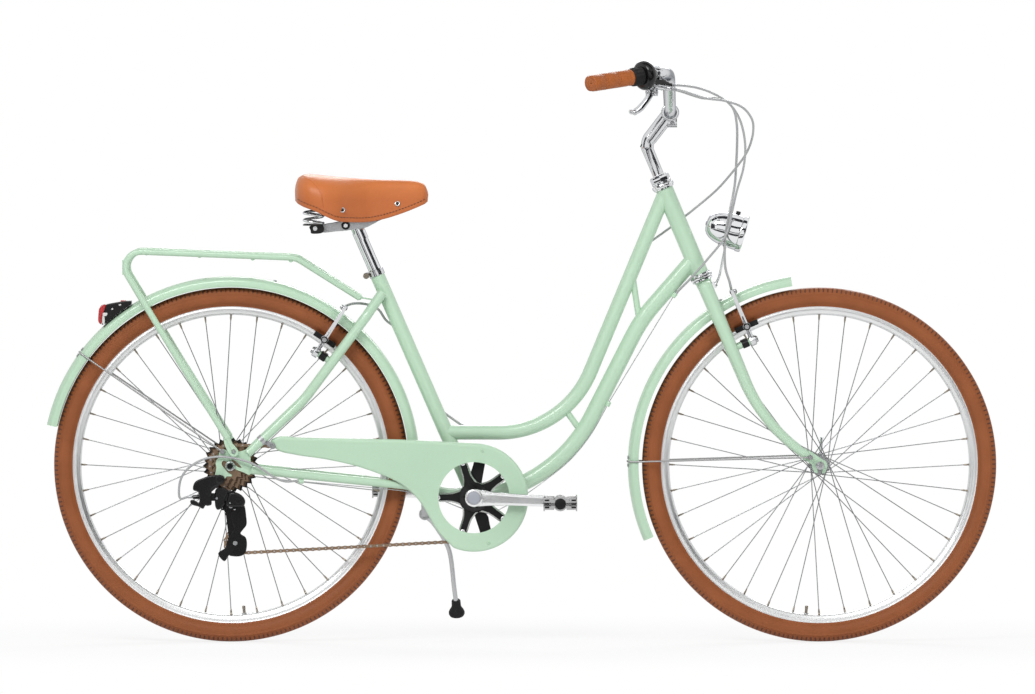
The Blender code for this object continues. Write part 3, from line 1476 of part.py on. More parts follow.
def fork_blade(side):
    corners = [
        beside(CROWN_TOP - STEER_LINE * 0.016, side * BLADE_SPREAD_TOP),
        beside(STEER_FOOT + STEER_LINE * FORK_CORNER, side * (FORK_END_MIDDLE - 0.001)),
        beside(BLADE_FOOT, side * FORK_END_MIDDLE),
    ]
    points = rounded(corners, [FORK_BEND_RADIUS], steps=5)
    total = len(points) - 1
    foot = BLADE_FOOT_RADIUS / BLADE_TOP_RADIUS
    shares = [1.0] + [1.0 + (foot - 1.0) * max(0.0, (k / total)) for k in range(1, total + 1)]
    return tube(points, BLADE_TOP_RADIUS, 8, shares)


def fork_end(side):
    slot = FRONT_AXLE_RADIUS + 0.0004
    arc = [around(Vector(), slot, angle) for angle in (0, 45, 90, 135, 180)]
    outline = [
        (0.009, -0.015), (slot, -0.015), *[(p.x, p.z) for p in arc], (-slot, -0.015),
        (-0.011, -0.013), (-0.016, 0.002), (-0.035, 0.013), (-0.022, 0.030), (0.002, 0.014),
        (0.012, 0.008), (0.014, -0.004),
    ]
    outline = [(FRONT_AXLE.x + x, FRONT_AXLE.z + z) for x, z in outline]
    inside = side * FRONT_END_INSIDE
    return plate(outline, *sorted((inside, inside + side * END_PLATE)))


fork = shaped(
    cylinder(CROWN_TOP - STEER_LINE * 0.020, STEERER_TOP, STEERER_RADIUS, 12),
    add=[
        cylinder(CROWN_TOP - STEER_LINE * 0.012, CROWN_TOP, 0.0195, 12),
        block(CROWN_TOP - STEER_LINE * 0.0175, (0.030, BLADE_SPREAD_TOP * 2 + 0.022, 0.025), crown_axes, 0.005),
        fork_blade(RIGHT),
        fork_blade(LEFT),
        fork_end(RIGHT),
        fork_end(LEFT),
        boss_pin(FRONT_BOSS, FRONT_BOSS_LINE, RIGHT, 0.034),
        boss_pin(FRONT_BOSS, FRONT_BOSS_LINE, LEFT, 0.034),
    ],
    cut=[
        cylinder(
            STEERER_TOP - STEER_LINE * 0.110,
            STEERER_TOP + STEER_LINE * 0.01,
            bored(STEERER_BORE_RADIUS, 12),
            12,
        )
    ],
)
node("fork", fork, "mint paint", HEAD_FOOT)
locknut_base = HEAD_TOP + STEER_LINE * (CUP_HEIGHT + GAP)
nut_hole = bored(STEERER_RADIUS + GAP, 14)
locknut = spun(
    [(nut_hole, 0.0), (0.0215, 0.0), (0.0190, 0.0070), (0.0175, 0.0070),
     (0.0175, LOCKNUT_HEIGHT), (nut_hole, LOCKNUT_HEIGHT)],
    locknut_base,
    axis=STEER_LINE,
    steps=14,
)
node("headset_locknut", locknut, "steel")
FRONT_EYE = Vector((-0.0190, 0, 0.0165))
crown_spot = CROWN_TOP - STEER_LINE * 0.0325
bridge_foot = around(FRONT_AXLE, FRONT_MUDGUARD_RADIUS - 0.001, 122.4)
front_mudguard = shaped(
    mudguard(FRONT_AXLE, FRONT_MUDGUARD_RADIUS, FRONT_MUDGUARD_TIP, FRONT_MUDGUARD_END, 17),
    add=[
        *mudguard_stay(FRONT_AXLE, FRONT_END_INSIDE + 0.0064, 179.0, FRONT_MUDGUARD_RADIUS, FRONT_EYE),
        cylinder(bridge_foot, crown_spot, 0.005, 8),
    ],
)
node("front_mudguard", front_mudguard, "mint paint")

# The front axle with its cones and nut, and the quick release lever on the left
fork_out = FRONT_END_INSIDE + END_PLATE + GAP
fork_in = FRONT_END_INSIDE - GAP
front_axle = turned(
    [
        (0.0040, -0.0690), (0.0085, -0.0650), (0.0085, -fork_out), (FRONT_AXLE_RADIUS, -fork_out),
        (FRONT_AXLE_RADIUS, -fork_in), (0.0080, -fork_in), (0.0080, -0.0404),
        (FRONT_AXLE_RADIUS, -0.0404), (FRONT_AXLE_RADIUS, 0.0404), (0.0080, 0.0404),
        (0.0080, fork_in), (FRONT_AXLE_RADIUS, fork_in), (FRONT_AXLE_RADIUS, fork_out),
        (0.0085, fork_out), (0.0085, 0.0620), (0.0030, 0.0620), (0.0030, 0.0725),
    ],
    FRONT_AXLE,
    Y,
    8,
)
node("front_axle", front_axle, "steel")
qr_base = FRONT_AXLE + Y * 0.0623
qr_bend = qr_base + Vector((0.004, 0.010, 0.016))
qr_lever = shaped(
    block(qr_base + Y * 0.0060, (0.015, 0.0115, 0.015), None, 0.002),
    add=[
        tube([qr_base + Vector((0, 0.006, 0.004)), qr_bend, qr_base + Vector((0.007, 0.006, 0.052))], 0.0035, 6)
    ],
    cut=[cylinder(qr_base - Y * 0.005, qr_base + Y * 0.0105, 0.0030 + GAP, 10)],
)
node("front_qr_lever", qr_lever, "chrome", qr_base)

# The stem and the handlebar
STEM_FOOT = STEERER_TOP + STEER_LINE * 0.0023
STEM_KNEE = HEAD_TOP + STEER_LINE * (CUP_HEIGHT + LOCKNUT_HEIGHT + STEM_RISE)
BAR_CENTRE = STEM_KNEE + Vector((STEM_REACH, 0, STEM_ARM_RISE))
stem = shaped(
    tube(
        rounded([STEM_FOOT, STEM_KNEE, BAR_CENTRE], [STEM_BEND_RADIUS], steps=4), STEM_ARM_RADIUS, 8
    ),
    add=[
        cylinder(STEERER_TOP - STEER_LINE * QUILL_LENGTH, STEM_FOOT + STEER_LINE * 0.004, QUILL_RADIUS, 10),
        cylinder(BAR_CENTRE - Y * CLAMP_WIDTH / 2, BAR_CENTRE + Y * CLAMP_WIDTH / 2, CLAMP_RADIUS, 14),
        block(BAR_CENTRE + Vector((0.004, 0, -0.0205)), (0.018, 0.022, 0.020), None, 0.003),
    ],
    cut=[
        cylinder(
            BAR_CENTRE - Y * CLAMP_WIDTH, BAR_CENTRE + Y * CLAMP_WIDTH, bored(BAR_BULGE_RADIUS + GAP, 14), 14
        )
    ],
)
node("stem", stem, "polished alloy")
BAR_CORNERS = [
    BAR_CENTRE,
    BAR_CENTRE + Vector((0.000, 0.036, 0.000)),
    BAR_CENTRE + Vector((-0.003, 0.122, 0.0740)),
    BAR_CENTRE + Vector((-0.014, 0.190, 0.0790)),
    BAR_CENTRE + Vector((-0.158, BAR_HALF_WIDTH, 0.0570)),
]
BAR_HALF = rounded(BAR_CORNERS, [0.045, 0.060, 0.040], steps=3)


def opposite(points):
    return [Vector((p.x, -p.y, p.z)) for p in points]


bar_inset = (BAR_CORNERS[-2] - BAR_CORNERS[-1]).normalized() * 0.005
bar_line = BAR_HALF[1:-1] + [BAR_HALF[-1] + bar_inset]
handlebar = shaped(
    tube(opposite(bar_line)[::-1] + bar_line, BAR_RADIUS, 8),
    add=[cylinder(BAR_CENTRE - Y * 0.027, BAR_CENTRE + Y * 0.027, BAR_BULGE_RADIUS, 12)],
)
node("handlebar", handlebar, "polished alloy")


def bar_spot(side, distance):
    """A point of the bar at a distance from its end, and the direction towards the middle."""
    path = BAR_HALF[::-1] if side == LEFT else opposite(BAR_HALF)[::-1]
    spot = along(path, distance)
    return spot, (along(path, distance + 0.002) - along(path, distance - 0.002)).normalized()


sleeve = bored(BAR_RADIUS + GAP, 10)
for name, side in SIDES:
    end, inward = bar_spot(side, 0.003)
    tip = end - inward * 0.003
    grip = turned(
        [(sleeve, 0.004), (sleeve, GRIP_LENGTH), (GRIP_RADIUS, GRIP_LENGTH), (GRIP_RADIUS, 0.007),
         (GRIP_RADIUS * 0.68, 0.0)],
        tip,
        inward,
        12,
    )
    node("grip_" + name, grip, "brown leather", tip)

# The twist shifter and the brake levers
twist_at, twist_line = bar_spot(RIGHT, GRIP_LENGTH + GAP + TWIST_LENGTH / 2)
twist_start = twist_at - twist_line * (TWIST_LENGTH / 2)
twist = spun(
    [(sleeve, 0.0), (0.0165, 0.0), (0.0190, 0.006), (0.0190, TWIST_LENGTH), (sleeve, TWIST_LENGTH)],
    twist_start,
    axis=twist_line,
    steps=14,
)
node("shifter_twist", twist, "black rubber", twist_at)
body_start = twist_start + twist_line * (TWIST_LENGTH + GAP)
bore_body = sleeve
shifter_core = spun(
    [(bore_body, 0.0), (0.0240, 0.0), (0.0295, 0.0060), (0.0295, 0.0150), (0.0190, SHIFTER_LENGTH),
     (bore_body, SHIFTER_LENGTH)],
    body_start,
    axis=twist_line,
    steps=12,
)


def lever_parts(side):
    """The places of a brake lever: clamp on the bar, pivot, blade's direction and pivot's axis."""
    clamp, line = bar_spot(
        side, GRIP_LENGTH + TWIST_LENGTH + SHIFTER_LENGTH + GAP * 8 + LEVER_CLAMP_WIDTH / 2
    )
    pivot = clamp + Vector((-0.004, side * 0.004, -0.0360))
    blade = Vector((-0.36, side * 0.78, -0.50)).normalized()
    axis = blade.cross(Z).normalized()
    return clamp, line, pivot, blade, axis


def lever_bracket(side):
    clamp, line, pivot, blade, axis = lever_parts(side)
    half = LEVER_CLAMP_WIDTH / 2
    ring = spun(
        [(sleeve, -half), (0.0158, -half), (0.0158, half), (sleeve, half)],
        clamp,
        axis=line,
        steps=10,
    )
    axes = Matrix((axis.cross(Z), axis, Z)).transposed()
    lugs = []
    for way in (-1, 1):
        spot = pivot + axis * (way * 0.0058) + Z * 0.006
        lugs.append(block(spot, (0.013, 0.0030, 0.0270), axes))
    bridge = block(pivot + Z * 0.0158, (0.018, 0.0152, 0.0095), axes)
    reach = Vector((0.0640, -side * 0.0150, -0.0120))
    start = pivot + Z * 0.0125 + Vector((0.004, 0, 0))
    snout = cylinder(start, start + reach * 0.5, 0.0060, 8, 0.0045)
    pin = cylinder(pivot - axis * 0.0085, pivot + axis * 0.0085, 0.0022, 6)
    return ring, [bridge, *lugs, snout, pin], start + reach * 0.5, reach.normalized()


LEVER_SECTIONS = (  # reach from the pivot, half width, bend towards the bar
    (0.0, 0.0039, 0.0),
    (0.030, 0.0045, 0.002),
    (0.062, 0.0055, 0.0),
    (0.088, 0.0060, -0.006),
    (0.098, 0.0040, -0.011),
)


def brake_lever(side):
    clamp, line, pivot, blade, axis = lever_parts(side)
    across = blade.cross(axis)
    eye = cylinder(pivot - axis * 0.0040, pivot + axis * 0.0040, 0.0058, 12)
    rings = []
    for reach, half, bend in LEVER_SECTIONS:
        spot = pivot + blade * reach + across * bend
        ring = []
        for up, wide in ((-1, -1), (1, -1), (1, 1), (-1, 1)):
            ring.append(spot + across * (up * 0.0028) + axis * (wide * half))
        rings.append(ring)
    bore = cylinder(pivot - axis * 0.006, pivot + axis * 0.006, 0.0022 + BEARING_GAP, 6)
    return shaped(lofted(rings), add=[eye], cut=[bore]), pivot


ring_right, extras_right, adjust_right, adjust_line_right = lever_bracket(RIGHT)
ring_left, extras_left, adjust_left, adjust_line_left = lever_bracket(LEFT)
neck_start = body_start + twist_line * 0.010 - Z * 0.0207
neck_end = neck_start + Vector((0.052, 0.032, 0.0010))
neck = cylinder(neck_start, neck_end, 0.0060, 8, 0.0042)
joining = block(
    (body_start + twist_line * 0.026 + lever_parts(RIGHT)[0]) / 2 - Z * 0.0185, (0.016, 0.014, 0.010)
)
node(
    "shifter_body",
    shaped(
        shifter_core,
        add=[ring_right, neck, joining, *extras_right],
    ),
    "black plastic",
)
node("lever_bracket_left", shaped(ring_left, add=extras_left), "black plastic")
for name, side in SIDES:
    mesh, place = brake_lever(side)
    node("brake_lever_" + name, mesh, "polished alloy", place)


# Brake arms
ARM_SECTIONS = (  # height over the boss, half thickness, half width
    (0.0080, 0.0045, 0.0060),
    (0.060, 0.0040, 0.0048),
    (BRAKE_ARM_LENGTH, 0.0030, 0.0042),
)


def brake_arm(pivot, up, line, side):
    """An arm that swings on its boss, with its pad beside the rim."""
    axle = beside(pivot, side * BOSS_SPREAD)
    middle = axle + line * ARM_CENTRE
    half = ARM_THICKNESS / 2
    outward = Y * side
    boss_hole = bored(BOSS_RADIUS + GAP, 8)
    ring = spun(
        [(boss_hole, -half), (0.0100, -half), (0.0100, half), (boss_hole, half)],
        middle,
        axis=line,
        steps=8,
    )
    rings = []
    for height, thick, wide in ARM_SECTIONS:
        spot = middle + up * height
        rings.append(
            [spot + line * (a * thick) + outward * (b * wide) for a, b in ((-1, -1), (1, -1), (1, 1), (-1, 1))]
        )
    pad_low = RIM_WIDTH / 2 + PAD_GAP
    spot = middle + up * PAD_HEIGHT
    axes = Matrix((line, line.cross(up), up)).transposed()
    pad = block(beside(spot, side * (pad_low + 0.0045)), (0.048, 0.0090, 0.0100), axes)
    post = cylinder(
        beside(spot, side * (pad_low + 0.006)), beside(spot, side * (BOSS_SPREAD + 0.008)), 0.0045, 6
    )
    return shaped(ring, add=[lofted(rings), pad, post]), axle


for name, side in SIDES:
    mesh, place = brake_arm(REAR_BOSS, REAR_ARM_LINE, REAR_BOSS_LINE, side)
    node("rear_brake_arm_" + name, mesh, "polished alloy", place)
    mesh, place = brake_arm(FRONT_BOSS, STEER_LINE, FRONT_BOSS_LINE, side)
    node("front_brake_arm_" + name, mesh, "polished alloy", place)

# The headlamp: a bullet shell open at the front, its lens, and the wires that carry it
LAMP_TIP = CROWN_TOP + Vector((0.0075, 0, 0.1105))
LAMP_LINE = leaning(-106.6)
LAMP_LENGTH = 0.080
LAMP_RADIUS = 0.037
outside = [(0.004, 0.0), (0.015, 0.003), (0.026, 0.014), (0.033, 0.032), (0.0355, LAMP_LENGTH - 0.012)]
outside += [(LAMP_RADIUS, LAMP_LENGTH - 0.010), (LAMP_RADIUS, LAMP_LENGTH)]
inside = [(0.0340, LAMP_LENGTH), (0.0340, LAMP_LENGTH - 0.012), (0.0290, 0.034), (0.010, 0.016)]
wires = []
for way in (-1, 1):
    low = CROWN_TOP + crown_axes @ Vector((0.0165 + GAP, way * 0.009, -0.020))
    middle = low + Vector((0.010, 0, 0.012))
    high = LAMP_TIP + LAMP_LINE * 0.045 + Vector((-0.004, way * 0.009, -0.0310))
    wires.append(tube([low + Vector((0.0022, 0, 0)), middle, high], 0.0022, 6))
wires.append(
    block(
        CROWN_TOP + crown_axes @ Vector((0.0150 + GAP + 0.0022, 0, -0.0205)), (0.0040, 0.024, 0.014),
        crown_axes,
    )
)
wires.append(
    cylinder(
        LAMP_TIP + LAMP_LINE * 0.056 + LAMP_LINE.cross(Y) * -0.034,
        LAMP_TIP + LAMP_LINE * 0.056 + LAMP_LINE.cross(Y) * -0.0405,
        0.0045,
        8,
    )
)
lamp_shell = shaped(turned(outside + inside, LAMP_TIP, LAMP_LINE, 12), add=wires)
node("headlight_shell", lamp_shell, "chrome")
lens_low = LAMP_LENGTH - 0.012 + GAP
lens = turned(
    [(0.0337, lens_low), (0.0337, lens_low + 0.004), (0.0300, lens_low + 0.009), (0.0150, lens_low + 0.0125)],
    LAMP_TIP,
    LAMP_LINE,
    12,
)
node("headlight_lens", lens, "clear lens")

# The seat post and the saddle
POST_TOP = SEAT_TOP + SEAT_LINE * POST_SHOWN
seatpost = cylinder(POST_TOP - SEAT_LINE * POST_LENGTH, POST_TOP, POST_RADIUS, 12)
node("seatpost", seatpost, "chrome", SEAT_TOP)
SADDLE_AT = POST_TOP + Vector((0.0003, 0, 0.0022))
saddle_height = SADDLE_AT.z
rail_low = saddle_height + 0.0250
collar_post = cylinder(POST_TOP - SEAT_LINE * 0.022, POST_TOP + SEAT_LINE * 0.0090, 0.0160, 12)
rear_plate_x = SADDLE_AT.x - 0.0830
frame_meshes = [
    cylinder(
        Vector((POST_TOP.x - 0.012, -0.028, saddle_height + 0.010)),
        Vector((POST_TOP.x - 0.012, 0.028, saddle_height + 0.010)),
        0.0110,
        10,
    )
]
NOSE_PIVOT = Vector((POST_TOP.x + 0.1010, 0, saddle_height + 0.0490))
for _, side in SIDES:
    rail = rounded(
        [
            Vector((rear_plate_x, side * SPRING_SPREAD, rail_low - 0.0140)),
            Vector((rear_plate_x + 0.020, side * 0.030, rail_low - 0.0140)),
            Vector((POST_TOP.x - 0.030, side * 0.022, rail_low - 0.0080)),
            Vector((POST_TOP.x + 0.010, side * 0.022, rail_low - 0.0080)),
            NOSE_PIVOT + Vector((-0.0060, side * 0.0080, -0.0060)),
        ],
        [0.012, 0.030, 0.030],
        steps=2,
    )
    frame_meshes.append(tube(rail, 0.0035, 4))
    frame_meshes.append(
        cylinder(
            Vector((rear_plate_x, side * SPRING_SPREAD, rail_low - 0.0175)),
            Vector((rear_plate_x, side * SPRING_SPREAD, rail_low - 0.0135)),
            SPRING_RADIUS + SPRING_WIRE,
            8,
        )
    )
frame_meshes.append(
    cylinder(
        Vector((rear_plate_x, -SPRING_SPREAD, rail_low - 0.0155)),
        Vector((rear_plate_x, SPRING_SPREAD, rail_low - 0.0155)),
        0.0030,
        6,
    )
)
frame_meshes.append(
    block(NOSE_PIVOT + Vector((-0.0060, 0, -0.0060)), (0.012, 0.022, 0.0080))
)
saddle_frame = shaped(
    collar_post,
    add=frame_meshes,
    cut=[cylinder(POST_TOP - SEAT_LINE * 0.04, POST_TOP + SEAT_LINE * GAP, POST_RADIUS + GAP, 12)],
)
node("saddle_frame", saddle_frame, "black steel")

spring_floor = rail_low - 0.0135 + GAP
SPRING_LINE = []
count = SPRING_TURNS * SPRING_POINTS
rise = (SPRING_HEIGHT - 2 * SPRING_WIRE) / count
for k in range(count + 1):
    angle = 2 * math.pi * k / SPRING_POINTS
    SPRING_LINE.append(
        Vector((SPRING_RADIUS * math.cos(angle), SPRING_RADIUS * math.sin(angle), SPRING_WIRE + rise * k))
    )
lead = (SPRING_LINE[0] - SPRING_LINE[1]).normalized() * (2 * SPRING_WIRE)
SPRING_LINE = [SPRING_LINE[0] + lead, *SPRING_LINE, SPRING_LINE[-1] - Vector((lead.x, lead.y, -lead.z))]
SPRING_LINE[0].z = SPRING_WIRE
SPRING_LINE[-1].z = SPRING_HEIGHT - SPRING_WIRE
least = min(
    (a - b).length - 2 * SPRING_WIRE
    for i, a in enumerate(SPRING_LINE)
    for b in SPRING_LINE[i + 5:]
)
print("saddle spring least gap", round(least * 1000, 2), "mm")
for name, side in SIDES:
    base = Vector((rear_plate_x, side * SPRING_SPREAD, spring_floor))
    line = [base + Vector((p.x, p.y * side, p.z)) for p in SPRING_LINE]
    node("saddle_spring_" + name, tube(line, SPRING_WIRE, 6), "black steel", base)

# Sections of the cushion from the back to the nose: place, half width, top, bottom and roof
roof_rear = spring_floor + SPRING_HEIGHT + GAP
rows = [
    (-0.1250, 0.040, 0.0860, 0.0640, 0.0665), (-0.1170, 0.074, 0.1010, 0.0580, 0.0600),
    (-0.0980, 0.098, 0.1090, 0.0480, 0.0580), (-0.0730, 0.105, 0.1082, 0.0370, 0.0580),
    (-0.0430, 0.096, 0.1065, 0.0240, 0.0600), (-0.0120, 0.068, 0.1040, 0.0190, 0.0620),
    (0.0180, 0.043, 0.1020, 0.0190, 0.0640), (0.0480, 0.031, 0.1010, 0.0230, 0.0600),
    (0.0900, 0.025, 0.1000, 0.0380, 0.0510), (0.1200, 0.022, 0.0970, 0.0500, 0.0560),
    (0.1370, 0.013, 0.0860, 0.0580, 0.0600),
]
rings = []
for x, half, top, low, roof in rows:
    top, low, roof = (saddle_height + value for value in (top, low, roof))
    if x < -0.040:
        roof = roof_rear
        low = min(low, roof - 0.002)
    depth = top - low
    hide = min(SADDLE_HIDE, half * 0.3)
    right = [
        (half * 0.55, top - depth * 0.02), (half * 0.90, top - depth * 0.16), (half, top - depth * 0.42),
        (half * 0.93, low), (half * 0.93 - hide, low), (half * 0.80 - hide, roof),
    ]
    ring = [(0.0, top)] + right + [(0.0, roof)] + [(-y, z) for y, z in right[::-1]]
    rings.append([Vector((SADDLE_AT.x + x, y, z)) for y, z in ring])
nose_hinge = Vector((NOSE_PIVOT.x, 0, NOSE_PIVOT.z))
node("saddle_cover", lofted(rings), "brown leather", nose_hinge)


# Cables: each a housing with its bare wire, as one cord of changing thickness
def cord(stretches):
    """A cord from stretches of (knots, radius, steps)."""
    points = []
    shares = []
    for knots, radius, steps in stretches:
        run = through(knots, steps) if steps > 1 else [Vector(knot) for knot in knots]
        points += run
        shares += [radius / HOUSING_RADIUS] * len(run)
    return tube(points, HOUSING_RADIUS, 6, shares)


HEAD_AS_DRAWN = Vector((0.280491, 0, 0.897244))


def by_head(x, y, z):
    """A typed point of a cable, which keeps its place beside the head tube."""
    return Vector((x, y, z)) + HEAD_TOP - HEAD_AS_DRAWN


def beyond(point, line, reach):
    return point + line.normalized() * reach


neck_line = (neck_end - neck_start).normalized()
wire_y = -(DOWN_TUBE_RADIUS + WIRE_RADIUS + 0.0012)
stay_low = BRACKET + Vector((-0.088, -0.0335, 0.014)) - Z * (CHAIN_STAY_RADIUS + 0.0030)
fixed_end = MOUNT_PIN - X * (0.0290 + GAP)
shift_cable = cord([
    (
        [
            beyond(neck_end, neck_line, GAP), beyond(neck_end, neck_line, 0.018),
            by_head(0.373, -0.138, 1.0843), by_head(0.4075, -0.116, 1.0631), by_head(0.4286, -0.100, 1.0315),
            by_head(0.4393, -0.086, 0.984), by_head(0.4367, -0.076, 0.939), by_head(0.4235, -0.064, 0.891),
            by_head(0.4150, -0.055, 0.853), by_head(0.4020, -0.0515, 0.804), by_head(0.3660, -0.042, 0.762),
            by_head(0.3300, -0.0275, 0.7290), beyond(STOP_A, STOP_A_LINE, -0.014), STOP_A,
        ],
        HOUSING_RADIUS,
        1,
    ),
    ([beyond(STOP_A, STOP_A_LINE, 0.002), beyond(STOP_B, STOP_B_LINE, -0.004)], WIRE_RADIUS, 1),
    (
        [
            beyond(STOP_B, STOP_B_LINE, 0.006), beside(along(DOWN_PATH, 0.400), wire_y),
            beside(along(DOWN_PATH, 0.460), wire_y), beside(along(DOWN_PATH, 0.520), wire_y),
            BRACKET + Vector((0.030, -0.0215, -0.0190)), BRACKET + Vector((0.000, -0.0245, -0.0230)),
            BRACKET + Vector((-0.025, -0.0265, -0.0190)), stay_low,
            beside(BRACKET, -0.042) + Vector((-0.132, 0, 0.023)) - Z * (CHAIN_STAY_RADIUS + 0.0032),
            beyond(STOP_C, STOP_C_LINE, -0.006),
        ],
        WIRE_RADIUS,
        1,
    ),
    (
        [
            beyond(STOP_C, STOP_C_LINE, -0.002),
            beyond(STOP_C, STOP_C_LINE, 0.009),
            beyond(STOP_C, STOP_C_LINE, 0.030) - Y * 0.0080 - Z * 0.0030,
            REAR_AXLE + Vector((0.0880, -0.0800, -0.0230)),
            REAR_AXLE + Vector((0.0640, -0.0860, -0.0060)),
            REAR_AXLE + Vector((0.0370, -0.0850, 0.0080)),
            REAR_AXLE + Vector((0.0040, -0.0805, 0.0162)),
            REAR_AXLE + Vector((-0.0250, -0.0800, 0.0185)),
            REAR_AXLE + Vector((-0.0560, -0.0790, 0.0120)),
            REAR_AXLE + Vector((-0.0860, -0.0770, -0.0080)),
            REAR_AXLE + Vector((-0.0990, -0.0720, -0.0320)),
            fixed_end + Vector((-0.0240, -0.0030, -0.0030)),
            fixed_end - X * 0.0100,
            fixed_end,
        ],
        HOUSING_RADIUS,
        1,
    ),
])
node("shift_cable", shift_cable, "silver housing")

side_y = SWAN_TUBE_RADIUS + HOUSING_RADIUS + 0.0012
rear_top = beside(REAR_BOSS, 0) + REAR_BOSS_LINE * ARM_CENTRE + REAR_ARM_LINE * (BRAKE_ARM_LENGTH - 0.005)
arm_face = BOSS_SPREAD - 0.0042 - GAP * 2
rear_brake_cable = cord([
    (
        [
            beyond(adjust_right, adjust_line_right, GAP), beyond(adjust_right, adjust_line_right, 0.020),
            by_head(0.3600, -0.176, 1.0740), by_head(0.3996, -0.154, 1.0685), by_head(0.4340, -0.132, 1.0552),
            by_head(0.4525, -0.112, 1.0315), by_head(0.4551, -0.095, 1.0102), by_head(0.4500, -0.072, 0.9839),
            by_head(0.4393, -0.046, 0.9600), by_head(0.4182, -0.020, 0.9310), by_head(0.3864, 0.004, 0.8939),
            by_head(0.3388, 0.0200, 0.8530), by_head(0.2941, 0.0245, 0.8183),
            beside(along(SWAN_PATH, 0.115), side_y),
        ],
        HOUSING_RADIUS,
        1,
    ),
    (
        [
            *[
                beside(along(SWAN_PATH, d), side_y)
                for d in (0.200, 0.300, 0.390, 0.420, 0.450, 0.480, 0.510, 0.540, 0.570)
            ],
            SWAN_FOOT + Vector((0.0480, side_y, 0.0060)),
            SWAN_FOOT + Vector((0.0120, side_y + 0.0015, 0.0270)),
            seat_point(SWAN_FOOT_HEIGHT + 0.060, side_y), seat_point(0.270, side_y),
            seat_point(0.322, side_y), seat_point(0.348, side_y) - X * 0.0220,
            beside(STAY_TOP, 0.0110) + Vector((-0.0130, 0, -0.0330)),
            beside(STAY_TOP, 0.0090) + Vector((-0.0300, 0, -0.0240)),
            beside(rear_top, 0.0220) + Vector((0.0190, 0, 0.0090)),
            beside(rear_top, 0.0260) + Vector((0.0040, 0, 0.0050)),
            beside(rear_top, 0.0180),
        ],
        HOUSING_RADIUS,
        1,
    ),
    ([beside(rear_top, 0.0160), beside(rear_top, -arm_face)], WIRE_RADIUS, 1),
])
node("rear_brake_cable", rear_brake_cable, "silver housing")

front_top = beside(FRONT_BOSS, 0) + FRONT_BOSS_LINE * ARM_CENTRE + STEER_LINE * (BRAKE_ARM_LENGTH - 0.005)
front_brake_cable = cord([
    (
        [
            beyond(adjust_left, adjust_line_left, GAP), beyond(adjust_left, adjust_line_left, 0.020),
            by_head(0.3599, 0.170, 1.0738), by_head(0.3864, 0.135, 1.0740), by_head(0.4075, 0.105, 1.0680),
            by_head(0.4207, 0.080, 1.0499), by_head(0.4261, 0.058, 1.0209), by_head(0.4261, 0.033, 0.9839),
            by_head(0.4235, 0.004, 0.9389), by_head(0.4201, -0.025, 0.9014), by_head(0.4101, -0.0425, 0.8500),
            by_head(0.4026, -0.0430, 0.8107), by_head(0.4000, -0.0425, 0.7754),
            by_head(0.4020, -0.0370, 0.7377),
            by_head(0.4100, -0.0300, 0.7120), beside(front_top, -0.0180) + STEER_LINE * 0.0040,
            beside(front_top, -0.0060),
        ],
        HOUSING_RADIUS,
        1,
    ),
    ([beside(front_top, -0.0040), beside(front_top, arm_face)], WIRE_RADIUS, 1),
])
node("front_brake_cable", front_brake_cable, "silver housing")
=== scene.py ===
# %% [markdown]
# # A city bike with mint paint and tan leather
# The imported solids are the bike's skeleton: every part has its true place, size and joint there.
# This lesson dresses them. Some solids only get a finish, and others are replaced by finer pieces.
# Each step first says what the real thing is, then how it could be made, and why it is made this way.

import cmath
import math

import bpy
import numpy as np
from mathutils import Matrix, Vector, geometry


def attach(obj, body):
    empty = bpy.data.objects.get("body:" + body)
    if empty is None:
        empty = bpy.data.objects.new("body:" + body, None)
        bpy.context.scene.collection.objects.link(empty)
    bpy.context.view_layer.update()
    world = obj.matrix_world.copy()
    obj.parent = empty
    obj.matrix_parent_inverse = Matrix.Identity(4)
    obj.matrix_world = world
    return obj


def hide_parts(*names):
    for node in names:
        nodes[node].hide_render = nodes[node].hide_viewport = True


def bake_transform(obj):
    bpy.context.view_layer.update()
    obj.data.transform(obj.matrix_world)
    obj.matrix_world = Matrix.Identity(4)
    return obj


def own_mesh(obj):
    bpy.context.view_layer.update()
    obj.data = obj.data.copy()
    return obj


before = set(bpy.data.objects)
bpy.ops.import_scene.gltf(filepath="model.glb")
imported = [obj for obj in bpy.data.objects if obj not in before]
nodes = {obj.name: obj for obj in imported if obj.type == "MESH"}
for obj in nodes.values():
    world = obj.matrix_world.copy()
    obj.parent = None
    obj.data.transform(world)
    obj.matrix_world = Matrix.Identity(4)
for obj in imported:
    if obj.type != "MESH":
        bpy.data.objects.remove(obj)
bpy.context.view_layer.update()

# %% [markdown]
# ## Fixed points
# A bike is drawn from a few centres: its axles, its bottom bracket and the lines of its tubes. New
# pieces are typed in millimetres, as on a drawing, and turned into metres when their mesh is made.

# %% Axles, lines and small tools for points
MM = 0.001


def at(x, y, z):
    """A point in millimetres, or a direction."""
    return Vector((x, y, z))


def beside(point, y):
    """The same point at another distance from the bike's middle plane."""
    return at(point.x, y, point.z)


def around(centre, radius, angle, y=0.0):
    """A point on a circle round an axle, by its angle from straight ahead."""
    turn = math.radians(angle)
    return at(centre.x + radius * math.cos(turn), y, centre.z + radius * math.sin(turn))


def rows(text):
    """Rows of numbers from a text, with commas between the rows."""
    return [tuple(map(float, row.split())) for row in text.split(",")] if isinstance(text, str) else text


